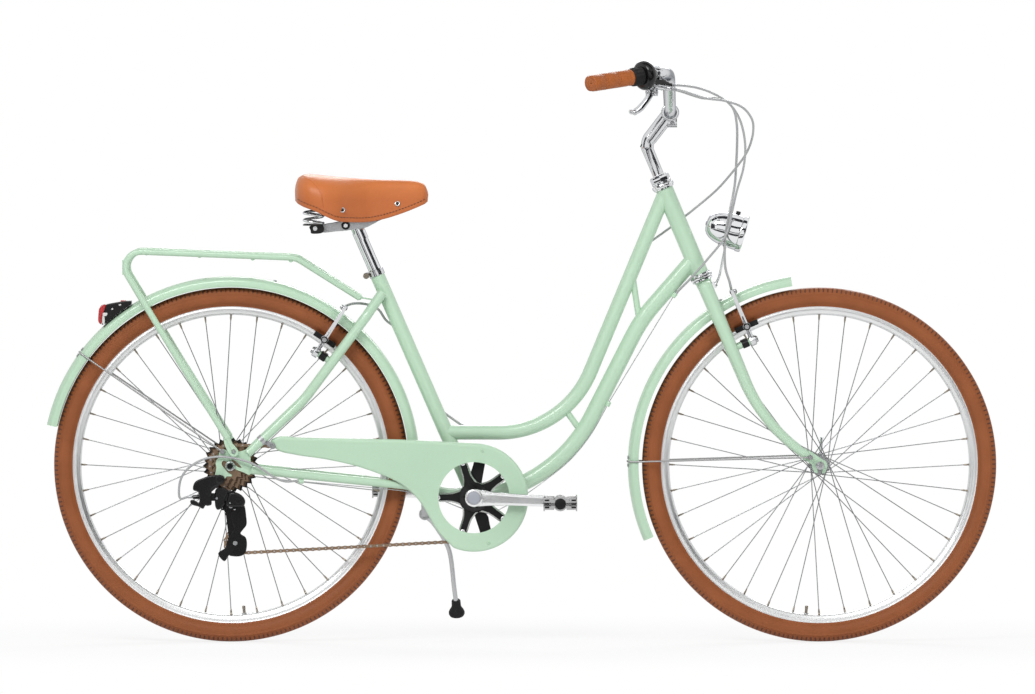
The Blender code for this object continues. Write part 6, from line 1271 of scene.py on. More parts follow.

# %% [markdown]
# ## Rim brakes
# Each brake has two polished arms on bosses, with a rubber pad, its threaded post, washers and a nut.
# A bent tube, the noodle, leads the housing into one arm, and a rubber boot covers the bare wire
# between the arms. The arms are solids already, so only these fittings are made new, all but the noodle.

# %% Brake fittings
BOSS_Y = 41  # the brakes' distance from the bike's middle
BRAKES = {
    "rear": (at(-400, 0, 569.4), at(544.6, 0, 838.7).normalized(), at(-348.9, 0, 659.1)),
    "front": (at(450, 0, 593.7), STEER_LINE, at(415.6, 0, 691)),
}
for name, (boss, up, top) in BRAKES.items():
    outward = up.cross(Y)
    outward = outward if (outward.x > 0) == (name == "front") else -outward
    for label, side in SIDES:
        fit = Shape()
        body = f"{name}_arm_{label}"
        middle = beside(boss, side * BOSS_Y) + outward * 6
        spot = middle + up * 30
        axes = (up.cross(Y), up, Y)
        for step in range(-2, 3):
            slab(fit, beside(spot, side * 18.2) + axes[0] * (step * 8.8), axes, (7.4, 9.4, 8))
        slab(fit, beside(spot, side * 20.5), axes, (47.5, 9.8, 4))
        for y, radius, mark in ((28.5, 6.8, 1), (31.8, 7.6, 2), (50, 7, 1)):
            washer = [(4.6, 0), (radius, 0.4), (radius, 2.2), (4.6, 2.6)]
            turned(fit, washer, beside(spot, side * y), Y * side, 24, mark)
        bolt(fit, beside(spot, side * 52.6), Y * side, 5, 3.8, 2, True)
        bolt(fit, middle + outward * 5.2, outward, 6.2, 5, 2, False, 8.8)
        wire = [beside(middle, side * y) + up * rise for y, rise in ((50.5, 4), (51.5, 30), (50, 52))]
        swept(fit, smooth_path(wire), 0.8, 8, 3)
        turned(fit, "6 -16.5, 8 -16, 8 -3, 6 -2.5", beside(boss, side * BOSS_Y), outward, 24, 1)
        if side == -1:
            bolt(fit, beside(top, side * 37.2) + outward * 4, outward, 4.6, 4.6, 2, False, 6.2)
        fit.piece(
            f"{name}_brake_fittings_{label}", body, "black_rubber black_plastic steel spoke_steel", "",
            "polished_alloy", angle=40
        )
    body = "frame_body" if name == "rear" else "fork_body"
    boot = Shape()
    folds = [(3, 0)]
    for i in range(7):
        folds += [(4.8, 1.2 + i * 3.2), (3.4, 2.8 + i * 3.2)]
    turned(boot, [*folds, (3, 23.6)], beside(top, -12), Y, 20)
    boot.piece(name + "_brake_boot", body, "black_rubber", "", "black_rubber")
print("brakes dressed")

# %% [markdown]
# ## Handlebar, stem and headset
# The bar is one alloy tube, bent cold and thicker in the middle where the stem holds it. The stem is
# forged with a sharp knee and polished, and under it the headset's nut, toothed washer and cup make a
# stack of rings. A tube along a rounded line gives the first two, and a lathe gives the rings.


# %% Bar, stem and headset rings
BAR_CENTRE = at(293.1, 0, 1045.6)
HALF_BAR = rows("293.1 36 1045.6, 290.1 122 1119.6, 279.1 190 1124.6, 139.32 296.81 1103.23")
corners = [(x, -y, z) for x, y, z in HALF_BAR[::-1]] + HALF_BAR
line = rounded_path(corners, [40, 60, 45, 45, 60, 40], 12)
radii = [12.7 if abs(p.y) < 27.2 else 11.1 for p in line]
bar = swept(Shape(), line, radii, 24)
bar.piece("bar_tube", "fork_body", "polished_alloy", "handlebar", "polished_alloy", angle=50)

HEAD_TOP, CROWN_TOP = at(280.5, 0, 897.2), at(356.2, 0, 717.2)
STEM_KNEE = at(244.5, 0, 983)
stem = Shape()
path = rounded_path(
    [HEAD_TOP + STEER_LINE * 27.5, STEM_KNEE, BAR_CENTRE - (BAR_CENTRE - STEM_KNEE).normalized() * 10], [24], 12
)
count = len(path)
radii = [11.2 + 1.6 * min(1.0, i / 4) + 1.6 * max(0.0, (i - 9) / (count - 10)) for i in range(count)]
swept(stem, path, radii, 28, 0, True, 0.94, Y)
collar = "13 -21, 16.5 -21, 17.5 -20, 17.8 -12, 17.8 12, 17.5 20, 16.5 21, 13 21"
turned(stem, collar, BAR_CENTRE, Y, 48)
for side in BOTH:
    slab(stem, BAR_CENTRE + at(4.5, side * 6, -20), XYZ, (18, 9.8, 19))
# A thin black slab fills the slot between the clamp's two ears: painted shade, since the slot is only a gap.
slab(stem, BAR_CENTRE + at(4.5, 0, -20), XYZ, (15, 3, 17), 2)
bolt(stem, BAR_CENTRE + at(4.5, -10.8, -21.5), -Y, 4.6, 4, 1, False)
top = (STEM_KNEE - BAR_CENTRE).normalized() * 0.35 + STEER_LINE * 0.65
spot = STEM_KNEE + STEER_LINE * -6 + top.normalized() * 10.2
turned(stem, "7 -2, 7 0.6, 6.2 1.4, 3.8 1.4, 3.8 -1, 0 -1", spot, top.normalized(), 28, 2)
stem.piece(
    "stem_forging", "fork_body", "polished_alloy steel black_plastic", "stem", "polished_alloy", angle=45, bevel=0.6
)

rings = Shape()
turned(
    rings, "12.8 8.4, 19 8.4, 19 9.6, 18.6 9.7, 19.8 10.2, 19.8 12.6, 19 13.4, 17.6 13.4", HEAD_TOP, STEER_LINE, 48, 0
)
turned(rings, "17.6 13.4, 19.8 13.8, 20 15.2, 20 22.2, 19 24.6", HEAD_TOP, STEER_LINE, 8)
turned(rings, "18.6 24.4, 17.6 25.6, 15 26.2, 12.7 25.8", HEAD_TOP, STEER_LINE, 48)
rings.piece("headset_stack", "fork_body", "chrome black_plastic", "headset_locknut", "chrome", angle=30)
print("bar, stem and rings ready")

# %% [markdown]
# ## Shifter housing and brake levers
# The shifter's housing is a smooth black bulge on the bar with an indicator that tapers down to its
# cable. Each brake lever sits in a polished bracket: a clamp round the bar, two lugs with the pivot's
# screw, and a threaded adjuster that holds the cable. The blade is forged, flat and slightly curved,
# with a round knob at its end. Sections that change along a line give the blade its swelling shape.

# %% Housing, brackets and blades
BODY_START = at(231.8, -226.1, 1117.4)
housing = Shape()
turned(housing, """11.8 0.3, 22.2 0.3, 24 0.8, 26.8 2.6, 28.6 5.6, 29.3 9.2, 29 13, 27.4 17.6, 24.6 21.4, 21.4 24.4,
    19.4 26.2, 18.4 27.2, 18 27.9, 11.8 27.9""", BODY_START, TWIST_LINE, 64, 0)
neck = smooth_path("242 -221.5 1118, 253 -216 1112.5, 269 -205 1106, 283 -195 1101, 291.7 -188.1 1098.9", 4)
last = len(neck) - 1
swept(housing, neck, [17.2 - 12.8 * (i / last) ** 0.8 for i in range(last + 1)], 24, 0, True, 0.8, Y)
turned(housing, "0 -10, 5.2 -10, 5.2 -2, 4.6 -1.2, 4.6 0, 0 0", neck[-1], neck[-1] - neck[-2], 24, 1)
housing.piece("shifter_housing", "fork_body", "gloss_black black_plastic", "shifter_body", "black_plastic", angle=50)

BLADE = rows("""0 5.6 0, 8 5 0.4, 18 4.6 1.4, 30 4.7 2, 46 5.1 1.2, 62 5.5 0, 75 5.8 -2.6, 86 5.8 -5.4, 93 5 -8.2,
    96.5 3.6 -10""")
for name, side in SIDES:
    line = at(TWIST_LINE.x, TWIST_LINE.y * -side, TWIST_LINE.z)
    clamp = at(260.8, side * 203.94, 1121.79)
    pivot = at(256.8, side * 207.94, 1085.79)
    way = at(-362.18, side * 784.72, -503.03).normalized()
    axis = way.cross(Z).normalized()
    across = way.cross(axis).normalized()
    along_body = axis.cross(Z).normalized()
    bracket = Shape()
    turned(bracket, "11.6 -6.9, 15 -6.9, 15.8 -6, 15.8 6, 15 6.9, 11.6 6.9", clamp, line, 40)
    slab(bracket, clamp - Z * 16, (along_body, axis, Z), (15, 13, 11))
    slab(bracket, pivot + Z * 15.5, (along_body, axis, Z), (18.5, 15, 10))
    for turn in BOTH:
        slab(bracket, pivot + axis * (turn * 5.8) + Z * 5, (along_body, axis, Z), (12.8, 3, 25))
        turned(bracket, "0 0, 6.6 0, 6.6 1.6, 0 1.6", pivot + axis * (turn * 5.8), axis * turn, 28)
        turned(bracket, "0 0, 4 0, 4 1.6, 3.4 2.2, 0 2.2", pivot + axis * (turn * 7.4), axis * turn, 20, 1)
    reach = at(64, -side * 15, -12)
    start = pivot + Z * 12.5 + X * 4
    barrel = rows("0 -2, 6.6 -2, 6 10, 5.2 16, 5 18.2, 6.2 18.4, 6.2 20.6, 4 20.8")
    for k in range(4):
        barrel += [(5.2, 21.4 + k * 2.4), (5.2, 22.6 + k * 2.4), (4.6, 23 + k * 2.4)]
    turned(bracket, [*barrel, (4.6, 31.8), (3.6, 32.6), (0.0, 32.6)], start, reach, 28)
    out = line.cross(Z).normalized() * side
    bolt(bracket, clamp - out * 15.8 - Z * 8, -out, 4, 3.4, 1, False)
    bracket.piece(
        "lever_bracket_alloy_" + name, "fork_body", "polished_alloy steel", "lever_bracket_left" if side > 0 else "",
        "polished_alloy", angle=40, bevel=0.8
    )
    blade = Shape()
    spots = [pivot + way * far + across * bend for far, _, bend in BLADE]
    fine = smooth_path(spots, 3)
    reaches, halves, _ = zip(*BLADE)
    widths = np.interp([(p - pivot).dot(way) for p in fine], reaches, halves)
    swept(blade, fine, [float(w) for w in widths], 20, 0, True, 0.52, across)
    knob = spots[-1] - way * 1
    ball = [(5.4 * math.cos(math.radians(a)), 5.4 * math.sin(math.radians(a))) for a in range(-75, 76, 15)]
    turned(blade, [(0, -5.2), *ball, (0, 5.4)], knob, way, 24)
    turned(blade, "2.7 -3.8, 5 -3.8, 5.7 -3, 5.7 3, 5 3.8, 2.7 3.8", pivot, axis, 32)
    blade.piece(
        "lever_blade_" + name, "lever_" + name, "polished_alloy", "brake_lever_" + name, "polished_alloy", angle=50
    )
print("levers ready")

# %% [markdown]
# ## Cranks and chainring
# The right crank carries a five-armed spider, painted black and then faced so that its edges are
# bright. Five sleeve bolts hold the chainring. The arm is forged alloy with a shallow groove along
# it, and a grey plastic cap closes the hole of its fixing bolt. The star's outline is a smooth closed
# curve through a few points for each arm. The arm is a row of rounded sections.


# %% Spider, arms and caps
def outline_plate(shape, outline, front, back, rim, marks):
    """A plate from a closed outline in the bike's plane, with a bright chamfer round its front."""
    count = len(outline)
    inner = []
    for i, spot in enumerate(outline):
        ahead = (outline[(i + 1) % count] - outline[i - 1]).normalized()
        inner.append(spot + at(-ahead.z, 0, ahead.x) * rim)
    lean = 1 if front > back else -1
    walls = ((outline, back), (outline, front - lean * rim), (inner, front))
    shape.put([beside(p, y) for loop, y in walls for p in loop], grid(3, count, False, True), marks[0])
    shape.put([beside(p, front) for p in inner], [tuple(range(count))], marks[1])
    shape.put([beside(p, back) for p in outline], [tuple(range(count))[::-1]], marks[1])
    return shape


STAR_ARM = rows("40 -10.4, 52 -9, 66 -8.8, 74.2 -7, 77.6 0, 74.2 7, 66 8.8, 52 9, 40 10.4")
CRANKS = (("right", -1, -2.6), ("left", 1, 177.4))  # name, side, angle from straight ahead
CRANK_LENGTH = 170
star_points = []
for k in range(5):
    angle = -180 + 72 * k
    out, over = around(ORIGIN, 1.0, angle), around(ORIGIN, 1.0, angle + 90)
    for reach, half in STAR_ARM:
        star_points.append(BRACKET + out * reach + over * half)
    star_points.append(around(BRACKET, 30.5, angle + 36))
closed = smooth_path(star_points[-2:] + star_points + star_points[:3], 2.2)
first = min(range(len(closed)), key=lambda i: (closed[i] - star_points[0]).length)
rest = [i for i in range(first + 12, len(closed)) if (closed[i] - star_points[0]).length < 1e-3]
star = closed[first:rest[0]]
spider = Shape()
outline_plate(spider, star, -53, -48.2, 2.9, (0, 1))
turned(spider, "30 -52.8, 27 -56, 21 -60, 18.5 -63, 18.5 -66", beside(BRACKET, 0), Y, 60, 1)
for k in range(5):
    spot = around(BRACKET, 71.2, -180 + 72 * k, -53)
    turned(spider, "4.8 0, 4.8 -1, 4.2 -1.4, 2.4 -1.4, 2.4 -0.4, 0 -0.4", spot, Y, 24)
spider.piece("spider_star", "cranks", "satin_alloy gloss_black", "crank_right", "polished_alloy", angle=40)


def crank_piece(name, side, angle):
    """A forged arm: boss, rounded sections with a groove, eye and pin."""
    out = around(ORIGIN, 1.0, angle)
    over = out.cross(Y)
    shape = Shape()
    arm = """-15 8.5, -10 14.2, -4 16.6, 6 17, 18 15.8, 30 14.2, 46 13, 70 12.1, 100 11.4, 130 10.8, 150 10.5,
        162 10.3, 172 9.8, 179 8.2, 181.8 5"""
    fine = np.linspace(-15, 181.8, 64)
    halves = np.interp(fine, *zip(*rows(arm)))
    sides = 28
    points = []
    for reach, half in zip(fine, halves):
        hollow = 0.4 * max(0.0, min(1.0, (reach - 26) / 12)) * max(0.0, min(1.0, (152 - reach) / 12))
        thick = 6.5 * (1.0 if 0 < reach < 172 else 0.9)
        for j in range(sides):
            turn = 2 * math.pi * j / sides
            c, s = math.cos(turn), math.sin(turn)
            up = math.copysign(abs(c) ** 0.62, c) * half
            deep = math.copysign(abs(s) ** 0.42, s) * thick
            if s > 0 and abs(up) < half * 0.55:
                deep -= hollow * (1 - (abs(up) / (half * 0.55)) ** 2)
            points.append(beside(BRACKET + out * float(reach) + over * float(up), side * (72.5 + float(deep))))
    ends = [tuple(range(sides)), tuple(range(len(points) - sides, len(points)))[::-1]]
    shape.put(points, grid(len(fine), sides, False, True) + ends, 0, side < 0)
    turned(shape, "17.5 66, 17.8 67.2, 17.8 78, 17 79.7, 15.2 80.4, 12.8 80.4, 12.4 79.8", BRACKET, Y * side, 56)
    turned(shape, "12.4 79.6, 11.6 80.3, 8 80.6, 0 80.6", BRACKET, Y * side, 48, 1)
    if side > 0:
        turned(shape, "0 40, 17.2 40, 17.5 41, 17.5 66.2", BRACKET, Y, 48)
    end = around(BRACKET, CRANK_LENGTH, angle)
    turned(shape, "0 68, 9.8 78.8, 9.8 81.5, 7 81.8, 6 82, 6 166, 0 166", end, Y * side, 28, 2)
    replaced = "crank_left" if side > 0 else ""
    shape.piece("crank_arm_" + name, "cranks", "satin_alloy cap_grey steel", replaced, "polished_alloy", angle=45)


for name, side, angle in CRANKS:
    crank_piece(name, side, angle)
print("cranks ready")

# %% [markdown]
# ## Pedals
# Each pedal is a plastic body on a barrel, inside a plated steel cage whose edges are cut into teeth
# for grip. The cage is two long plates with teeth above and below, joined by two end plates. A plate
# with teeth is an outline with a zigzag, so the teeth are real edges and catch the light.

# %% Pedal cages
inner_y, outer_y = 83, 174
for name, side, angle in CRANKS:
    centre = around(BRACKET, CRANK_LENGTH, angle)
    cage = Shape()
    barrel = [(7.8, inner_y + 2), (11.2, inner_y + 2), (11.8, inner_y + 6), (11.8, outer_y - 10)]
    barrel += [(10.8, outer_y - 4), (10.8, outer_y - 0.6), (9.4, outer_y), (0, outer_y)]
    turned(cage, barrel, centre, Y * side, 36, 1)
    for way in BOTH:
        x = centre.x + way * 31.8
        places = [inner_y + 3 + (outer_y - inner_y - 6) * k / 30 for k in range(31)]
        teeth = [(y, 14.8 if k % 2 else 12.6) for k, y in enumerate(places)]
        edge = teeth + [(y, -rise) for y, rise in teeth[::-1]]
        front = [at(x + way * 1.2, side * y, centre.z + z) for y, z in edge]
        rear = [at(x - way * 1.2, side * y, centre.z + z) for y, z in edge]
        count = len(edge)
        cage.put(front + rear, grid(2, count, False, True), 0)
        faces = [(k, k + 1, count - 2 - k, count - 1 - k) for k in range(count // 2 - 1)]
        cage.put(front, faces, 0)
        cage.put(rear, faces, 0, True)
        for y in (inner_y + 2.2, outer_y - 3.2):
            slab(cage, at(centre.x + way * 22.2, side * y, centre.z), XYZ, (20.4, 3, 23.6))
            for z in (-7, 0.0, 7):
                spot = at(centre.x + way * 26.2, side * (y + (1.8 if y > 100 else -1.2)), centre.z + z)
                slab(cage, spot, XYZ, (9, 1.2, 3.4), 1)
            slab(cage, at(centre.x + way * 14.2, side * y, centre.z), XYZ, (8, 3.4, 18))
        slab(cage, at(centre.x + way * 18, side * (inner_y + outer_y) / 2, centre.z), XYZ, (24, 13, 14), 1)
    for y in (inner_y + 2.2, outer_y - 3.2):
        turned(cage, "10 -1.6, 14.2 -1.6, 14.6 0, 14.2 1.6, 10 1.6", beside(centre, side * y), Y, 36)
    cage.piece(
        "pedal_cage_" + name, f"pedal_{name}_body", "dark_chrome black_plastic", "pedal_" + name, "black_plastic",
        angle=30, bevel=0.4
    )
print("pedals ready")

# %% [markdown]
# ## Colours within a solid
# Some solids hold parts of two finishes: the freewheel's largest sprocket is blackened and every
# other one is a darker bronze, and the pads on the brake arms are black rubber. A second finish on
# the right faces is enough there, chosen by where each face lies.


# %% Second finishes
def second_finish(name, finish_name, chosen):
    """Puts another finish on the faces of a solid whose centre passes a test."""
    mesh = nodes[name].data
    mesh.materials.append(FINISH[finish_name])
    picked = [face for face in mesh.polygons if chosen(face.center / MM, face.normal)]
    for face in picked:
        face.material_index = len(mesh.materials) - 1
    return len(picked)


every_other = second_finish(
    "freewheel", "dark_bronze", lambda p, n: abs(n.y) > 0.5 and round((-p.y - 32) / 5) % 2 == 1
)
largest = second_finish("freewheel", "gloss_black", lambda p, n: p.y > -33.8)
print("freewheel", every_other, "and", largest)
PADS = (
    ("rear", at(-400, 0, 569.4), at(0.5446, 0, 0.8387), at(-0.8387, 0, 0.5446)),
    ("front", at(450, 0, 593.7), CROWN_UP, CROWN_OUT),
)
for wheel, boss, up, out in PADS:
    middle = boss + up * 30 + out * 6

    def by_the_pad(p, n):
        return abs(p.y) < 26.2 and (beside(p, 0) - middle).length < 30

    for label in ("right", "left"):
        print(wheel, label, second_finish(f"{wheel}_brake_arm_{label}", "black_rubber", by_the_pad))

# %% [markdown]
# ## Frame
# A welded steel frame is bent and brazed from plain tubes. The solids have every tube in place with
# few sides. Here each one is drawn again along the same line with a round section, so that its
# highlight runs clean from end to end. The two chromed cups at the head tube's ends belong to the
# headset. Flat plates at the back hold the wheel, one with the derailleur's hanger.


# %% Frame tubes
DROPOUT = """-597.1 366.2, -596.4 373, -593 380.7, -585.7 382.5, -578.9 380.3, -567.6 387.1, -558.5 378, -540 382.2,
    -534.5 370, -533.5 357.5, -530.2 350.8, -534.7 332.7, -546.1 336.7, -558.5 341.3, -566.5 344.7, -573.3 350.4,
    -580.1 357.6, -585.3 360.1, -589.6 358.7, -590.7 354.2, -588 348.5, -582.3 341.7, -577.1 336.1, -571.5 333.1,
    -571.7 329.3, -580.1 329.3, -584.2 325.4, -586.9 330.4, -595 331.5, -601 324, -604 330, -601.2 346.3,
    -602.7 354.2, -601.2 361"""
NOTCH = "-571 361.7, -564.2 359.9, -551.7 347.4, -556.3 346.7, -564.2 351.9, -568.7 357.6"
HEAD_FOOT = at(353, 0, 724.9)
STAY_TOP, STAY_WIDE = at(-269.65, 0, 689), at(-306.65, 0, 643.5)
STAY_KNEE, STAY_END = at(-429.93, 0, 478), at(-539.93, 0, 374)
CHAIN_STAY_END = at(-532.93, 0, 342)
SWAN = rounded_path("281.48 0 883.87, 85.68 0 413.5, -149.29 0 413.5", [195], 26)
DOWN = rounded_path("337.16 0 753.18, 236.12 0 636.95, 70.33 0 311.56, -88.03 0 287", [300, 295], 24)
tubes = Shape()
cup = "17.6 -3, 20 -2.2, 20.3 0.2, 21.4 1, 22.1 3, 22.1 5.6, 21.2 7.4, 18.5 7.9, 13 7.9"
turned(tubes, "16 0, 17.7 1, 17.5 4, 17.5 183, 17.7 186, 16 187", HEAD_FOOT, STEER_LINE, 48)
turned(tubes, cup, HEAD_TOP, STEER_LINE, 48, 1)
turned(tubes, cup, HEAD_FOOT, -STEER_LINE, 48, 1)
turned(tubes, "22.2 3.2, 22.2 4.4", HEAD_FOOT, -STEER_LINE, 48, 2)
swept(tubes, SWAN, 14.3, 32)
swept(tubes, DOWN, 15.9, 32)
swept(tubes, "219.57 0 719.54, 232.08 0 637.15", 6.2, 20)
swept(tubes, "84.62 0 461.16, 118.42 0 413.87", 6.2, 20)
SEAT_TOP = at(-284.99, 0, 724.11)
turned(tubes, "0 4, 14.3 4, 14.3 476.5, 13.6 477, 13 476.5", BRACKET, SEAT_LINE, 44)
turned(tubes, "17.4 -33.5, 19.6 -34, 20.5 -33, 20.5 33, 19.6 34, 17.4 33.5", BRACKET, Y, 48)
for name, side in SIDES:
    corners = ((STAY_TOP - X * 6, 20), (STAY_WIDE, 42), (STAY_KNEE, 47), (STAY_END, 70))
    line = rounded_path([beside(p, side * y) for p, y in corners], [45, 160], 10)
    swept(tubes, line, [9.8] * (len(line) - 1) + [8.6], 24)
    ahead = [BRACKET + at(x, side * y, z) for x, y, z in ((-4, 23, 0), (-88, 33.5, 14), (-132, 42, 23))]
    line = rounded_path([*ahead, beside(CHAIN_STAY_END, side * 70)], [120, 120], 8)
    swept(tubes, line, 8.2, 24)
    flat_plate(tubes, closed_curve(DROPOUT, 3), *sorted((side * 67.5, side * 72.5)), [closed_curve(NOTCH, 3)])
    turned(tubes, "0 -34, 6 -34, 6 9, 0 9.5", at(-400, side * BOSS_Y, 569.43), at(-838.67, 0, 544.64), 20)
swept(tubes, "-315.28 -43 631.92, -315.28 43 631.92", 5.5, 16)
swept(tubes, [BRACKET + at(-83, y, 13.5) for y in (-30, 30)], 5.5, 16)
for spot, way in (
    ((301.2, -6, 685), (-656.06, 0, -754.71)), ((170.8, -6, 470.1), (-453.99, 0, -891.01)),
    ((-434.72, -61.04, 319.26), (-990.54, -90.37, 103.28))
):
    turned(tubes, "2.9 -5, 4.4 -5, 4.7 -4.4, 4.7 4.4, 4.4 5, 2.9 5", Vector(spot), Vector(way), 24, 0, True)
tubes.piece("frame_tubes", "frame_body", "mint_paint chrome black_plastic", "frame", "mint_paint", angle=42)
print("frame tubes", len(tubes.points), "points")

# %% [markdown]
# ## Fork
# The fork has two curved blades that taper to flat ends, joined by a crown. Raked blades are bent on
# a form after tapering, so the section shrinks steadily along the same line as the bend.

# %% Fork blades and crown
fork = Shape()
turned(fork, "0 -20, 12.5 -20, 12.5 8", CROWN_TOP, STEER_LINE, 40)
turned(fork, "0 -20, 15 -18, 15.6 -8, 17.2 -5, 19 -4", CROWN_TOP, STEER_LINE, 48)
turned(fork, "19 -4.2, 20.5 -3.4, 20.5 -1, 19.5 -0.3, 12.6 -0.2", CROWN_TOP, STEER_LINE, 48, 1)
crown_line = rows("""-57 7, -55.5 10.5, -52 12.2, -40 12.8, -20 12.8, 0 12.8, 20 12.8, 40 12.8, 52 12.2, 55.5 10.5,
    57 7""")
spots = [CROWN_TOP - STEER_LINE * 17.5 + Y * y for y, _ in crown_line]
swept(fork, spots, [r * 0.94 for _, r in crown_line], 32, 0, True, 1.0, CROWN_OUT)
for name, side in SIDES:
    line = rounded_path(
        [CROWN_TOP - STEER_LINE * 7.5 + Y * side * 46, (473.71, side * 51.5, 437.6), (563.47, side * 52.5, 367.2)],
        [330], 26
    )
    top = line[0]
    line = [top + (line[1] - top).normalized() * s for s in (0.0, 1.2, 3.5, 7, 12)] + line[1:]
    far = [0.0]
    for a, b in zip(line, line[1:]):
        far.append(far[-1] + (b - a).length)
    dome = [7, 10.5, 12.8, 14.1]
    swept(fork, line, [dome[k] if k < 4 else 14.5 - 6 * (f / far[-1]) ** 1.1 for k, f in enumerate(far)], 30)
    slot = [(4.9 * math.cos(math.radians(a)), 4.9 * math.sin(math.radians(a))) for a in range(0, 181, 15)]
    plate = [
        (9, -15), (4.9, -15.5), *slot, (-4.9, -15.5), (-11, -13), (-14, -7), (-16, 2), (-25, 8), (-35, 13), (-30, 23),
        (-22, 30), (-10, 22.5), (2, 14), (12, 8), (14.2, 2), (14, -4), (12, -11)
    ]
    flat_plate(fork, [FRONT_AXLE + at(x, 0, z) for x, z in plate], *sorted((side * 50, side * 55)))
    turned(fork, "0 -34, 6 -34, 6 9, 0 9.5", at(450, side * BOSS_Y, 593.7), CROWN_OUT, 20)
fork.piece("fork_tubes", "fork_body", "mint_paint chrome", "fork", "mint_paint", angle=42)
print("fork", len(fork.points), "points")

# %% [markdown]
# ## Mudguards
# A mudguard is rolled from thin sheet, with a rounded crown and folded sides. Two steel wires hold
# its end, each with an eye bolted beside the axle, and a clip with two small bolts on the crown. The
# sheet's section is drawn once, with its thickness, and carried round the wheel's centre.


# %% Mudguards and their stays
def rolled_sheet(shape, centre, radius, low, high, steps):
    outer = rows("-21 25.8, -20.4 26.1, -12 26, -8.5 25.2, -5.5 23, -3 19, -1.2 14, -0.3 8, 0 0")
    inner = rows("-20.8 24.9, -12 24.8, -9.3 24.1, -6.6 22.2, -4.2 18.4, -2.5 13.6, -1.6 7.8, -1.3 0")
    loop = outer + [(r, -y) for r, y in outer[-2::-1]] + [(r, -y) for r, y in inner] + inner[-2::-1]
    points = []
    for i in range(steps + 1):
        angle = low + (high - low) * i / steps
        points.extend(around(centre, radius + r, angle, y) for r, y in loop)
    count = len(loop)
    shape.put(points, grid(steps + 1, count, False, True))
    for first in (0, steps * count):
        shape.put(points[first : first + count], [tuple(range(count))])


GUARDS = {
    "rear": (REAR_AXLE, 372.5, -8.0, 167.7, 143.3, at(-589.13, 0, 378.4), 75.9, "frame_body"),
    "front": (FRONT_AXLE, 378, 98.7, 203.4, 179.0, at(568.87, 0, 366.5), 64.8, "fork_body"),
}
for name, (centre, radius, low, high, angle, eye, eye_y, body) in GUARDS.items():
    shape = Shape()
    rolled_sheet(shape, centre, radius, low, high, 140 if name == "rear" else 90)
    if name == "front":
        swept(shape, "385.87 0 668.31, 368.77 0 687.24", 5, 20)
        bolt(shape, around(centre, radius - 0.8, 121.2), around(ORIGIN, 1.0, 121.2), 4.2, 3, 2, True, 6)
    else:
        bolt(shape, around(centre, radius - 1.2, 76.5), around(ORIGIN, 1.0, 76.5), 3.6, 2.6, 2, False, 5.2)
    for side in BOTH:
        start = beside(eye, side * eye_y)
        stop = around(centre, radius - 9.5, angle, side * 27.4)
        bend = around(centre, radius - 1, angle, side * 24)
        over = around(centre, radius + 0.8, angle, side * 19)
        path = smooth_path([start.lerp(stop, 0.012), start.lerp(stop, 0.5), stop, bend, over], 12)
        swept(shape, path, 1.7, 14, 1)
        turned(shape, "2.2 -2, 4.8 -2, 5.2 -1, 5.2 1, 4.8 2, 2.2 2", start, Y * side, 24, 1)
        bolt(shape, start + Y * side * 0.4, Y * side, 3.8, 2.4, 2, False)
        for way in BOTH:
            spot = around(centre, radius - 1.2, angle + way * 1.15, side * 12.5)
            bolt(shape, spot, around(ORIGIN, 1.0, angle), 3, 1.6, 2, True, 4.2)
    shape.piece(
        name + "_mudguard_sheet", body, "mint_paint bare_wire steel", name + "_mudguard", "mint_paint", angle=38
    )
print("mudguards 2")

# %% [markdown]
# ## Rack
# The rack is one bent tube with cross rods, a plate at its back for a reflector, and feet bolted
# beside the axle. The front ends meet at a tab on the seat tube.

# %% Rack tubes
FOOT = """-586.5 407, -580 408.5, -570 395, -559.2 382.5, -557.2 374.5, -562.5 368.8, -570 368.2, -576.5 374.5,
    -585 393"""
rack = Shape()
for name, side in SIDES:
    corners = rows("""-567.03 77.3 379, -579.03 77.3 404, -674.83 67 556.8, -805.47 62 773.89, -444.93 62 760,
        -319.65 34 680.5""")
    line = rounded_path([(x, side * y, z) for x, y, z in corners], [15, 200, 31, 45], 14)
    swept(rack, line, [5 + 1.3 * min(1.0, k / 12) for k in range(len(line))], 24)
    foot = at(-567.03, side * 77.3, 379)
    pillow(rack, closed_curve(FOOT), side * 72.8, side * 80.5, 1.2)
    bolt(rack, foot + Y * side * 3.2, Y * side, 4.4, 3, 1, False)
back_plate = at(-785.2, 0, 740.59)
for share in (0.10, 0.42, 0.74, 0.97):
    spot = at(-771.43, 0, 772.2).lerp(at(-444.93, 0, 756), share) - Z * 2
    swept(rack, [beside(spot, -62), beside(spot, 62)], 4.2, 18)
swept(rack, "-319.65 -36 680.5, -319.65 36 680.5", 4.8, 18)
slab(rack, at(-299.8, 0, 677.04), (at(0.9852, 0, -0.1715), Y, at(0.1715, 0, 0.9852)), (39.8, 14, 3))
slab(rack, back_plate, XYZ, (2.6, 122, 29))
for y in (-40, 40):
    for z in (-7.5, 7.5):
        bolt(rack, back_plate + at(-0.2, y, z), -X, 3.6, 1.2, 1, True)
rack.piece("rack_tubes", "frame_body", "mint_paint steel", "rear_rack", "mint_paint", angle=42)
print("rack", len(rack.points), "points")

# %% [markdown]
# ## Chain guard
# The guard is one pressed sheet with a rolled rim, fixed by a clip on the seat stay and two arms at
# the bottom bracket. Its outline is a smooth curve, a straight top and a ring round the chainring.

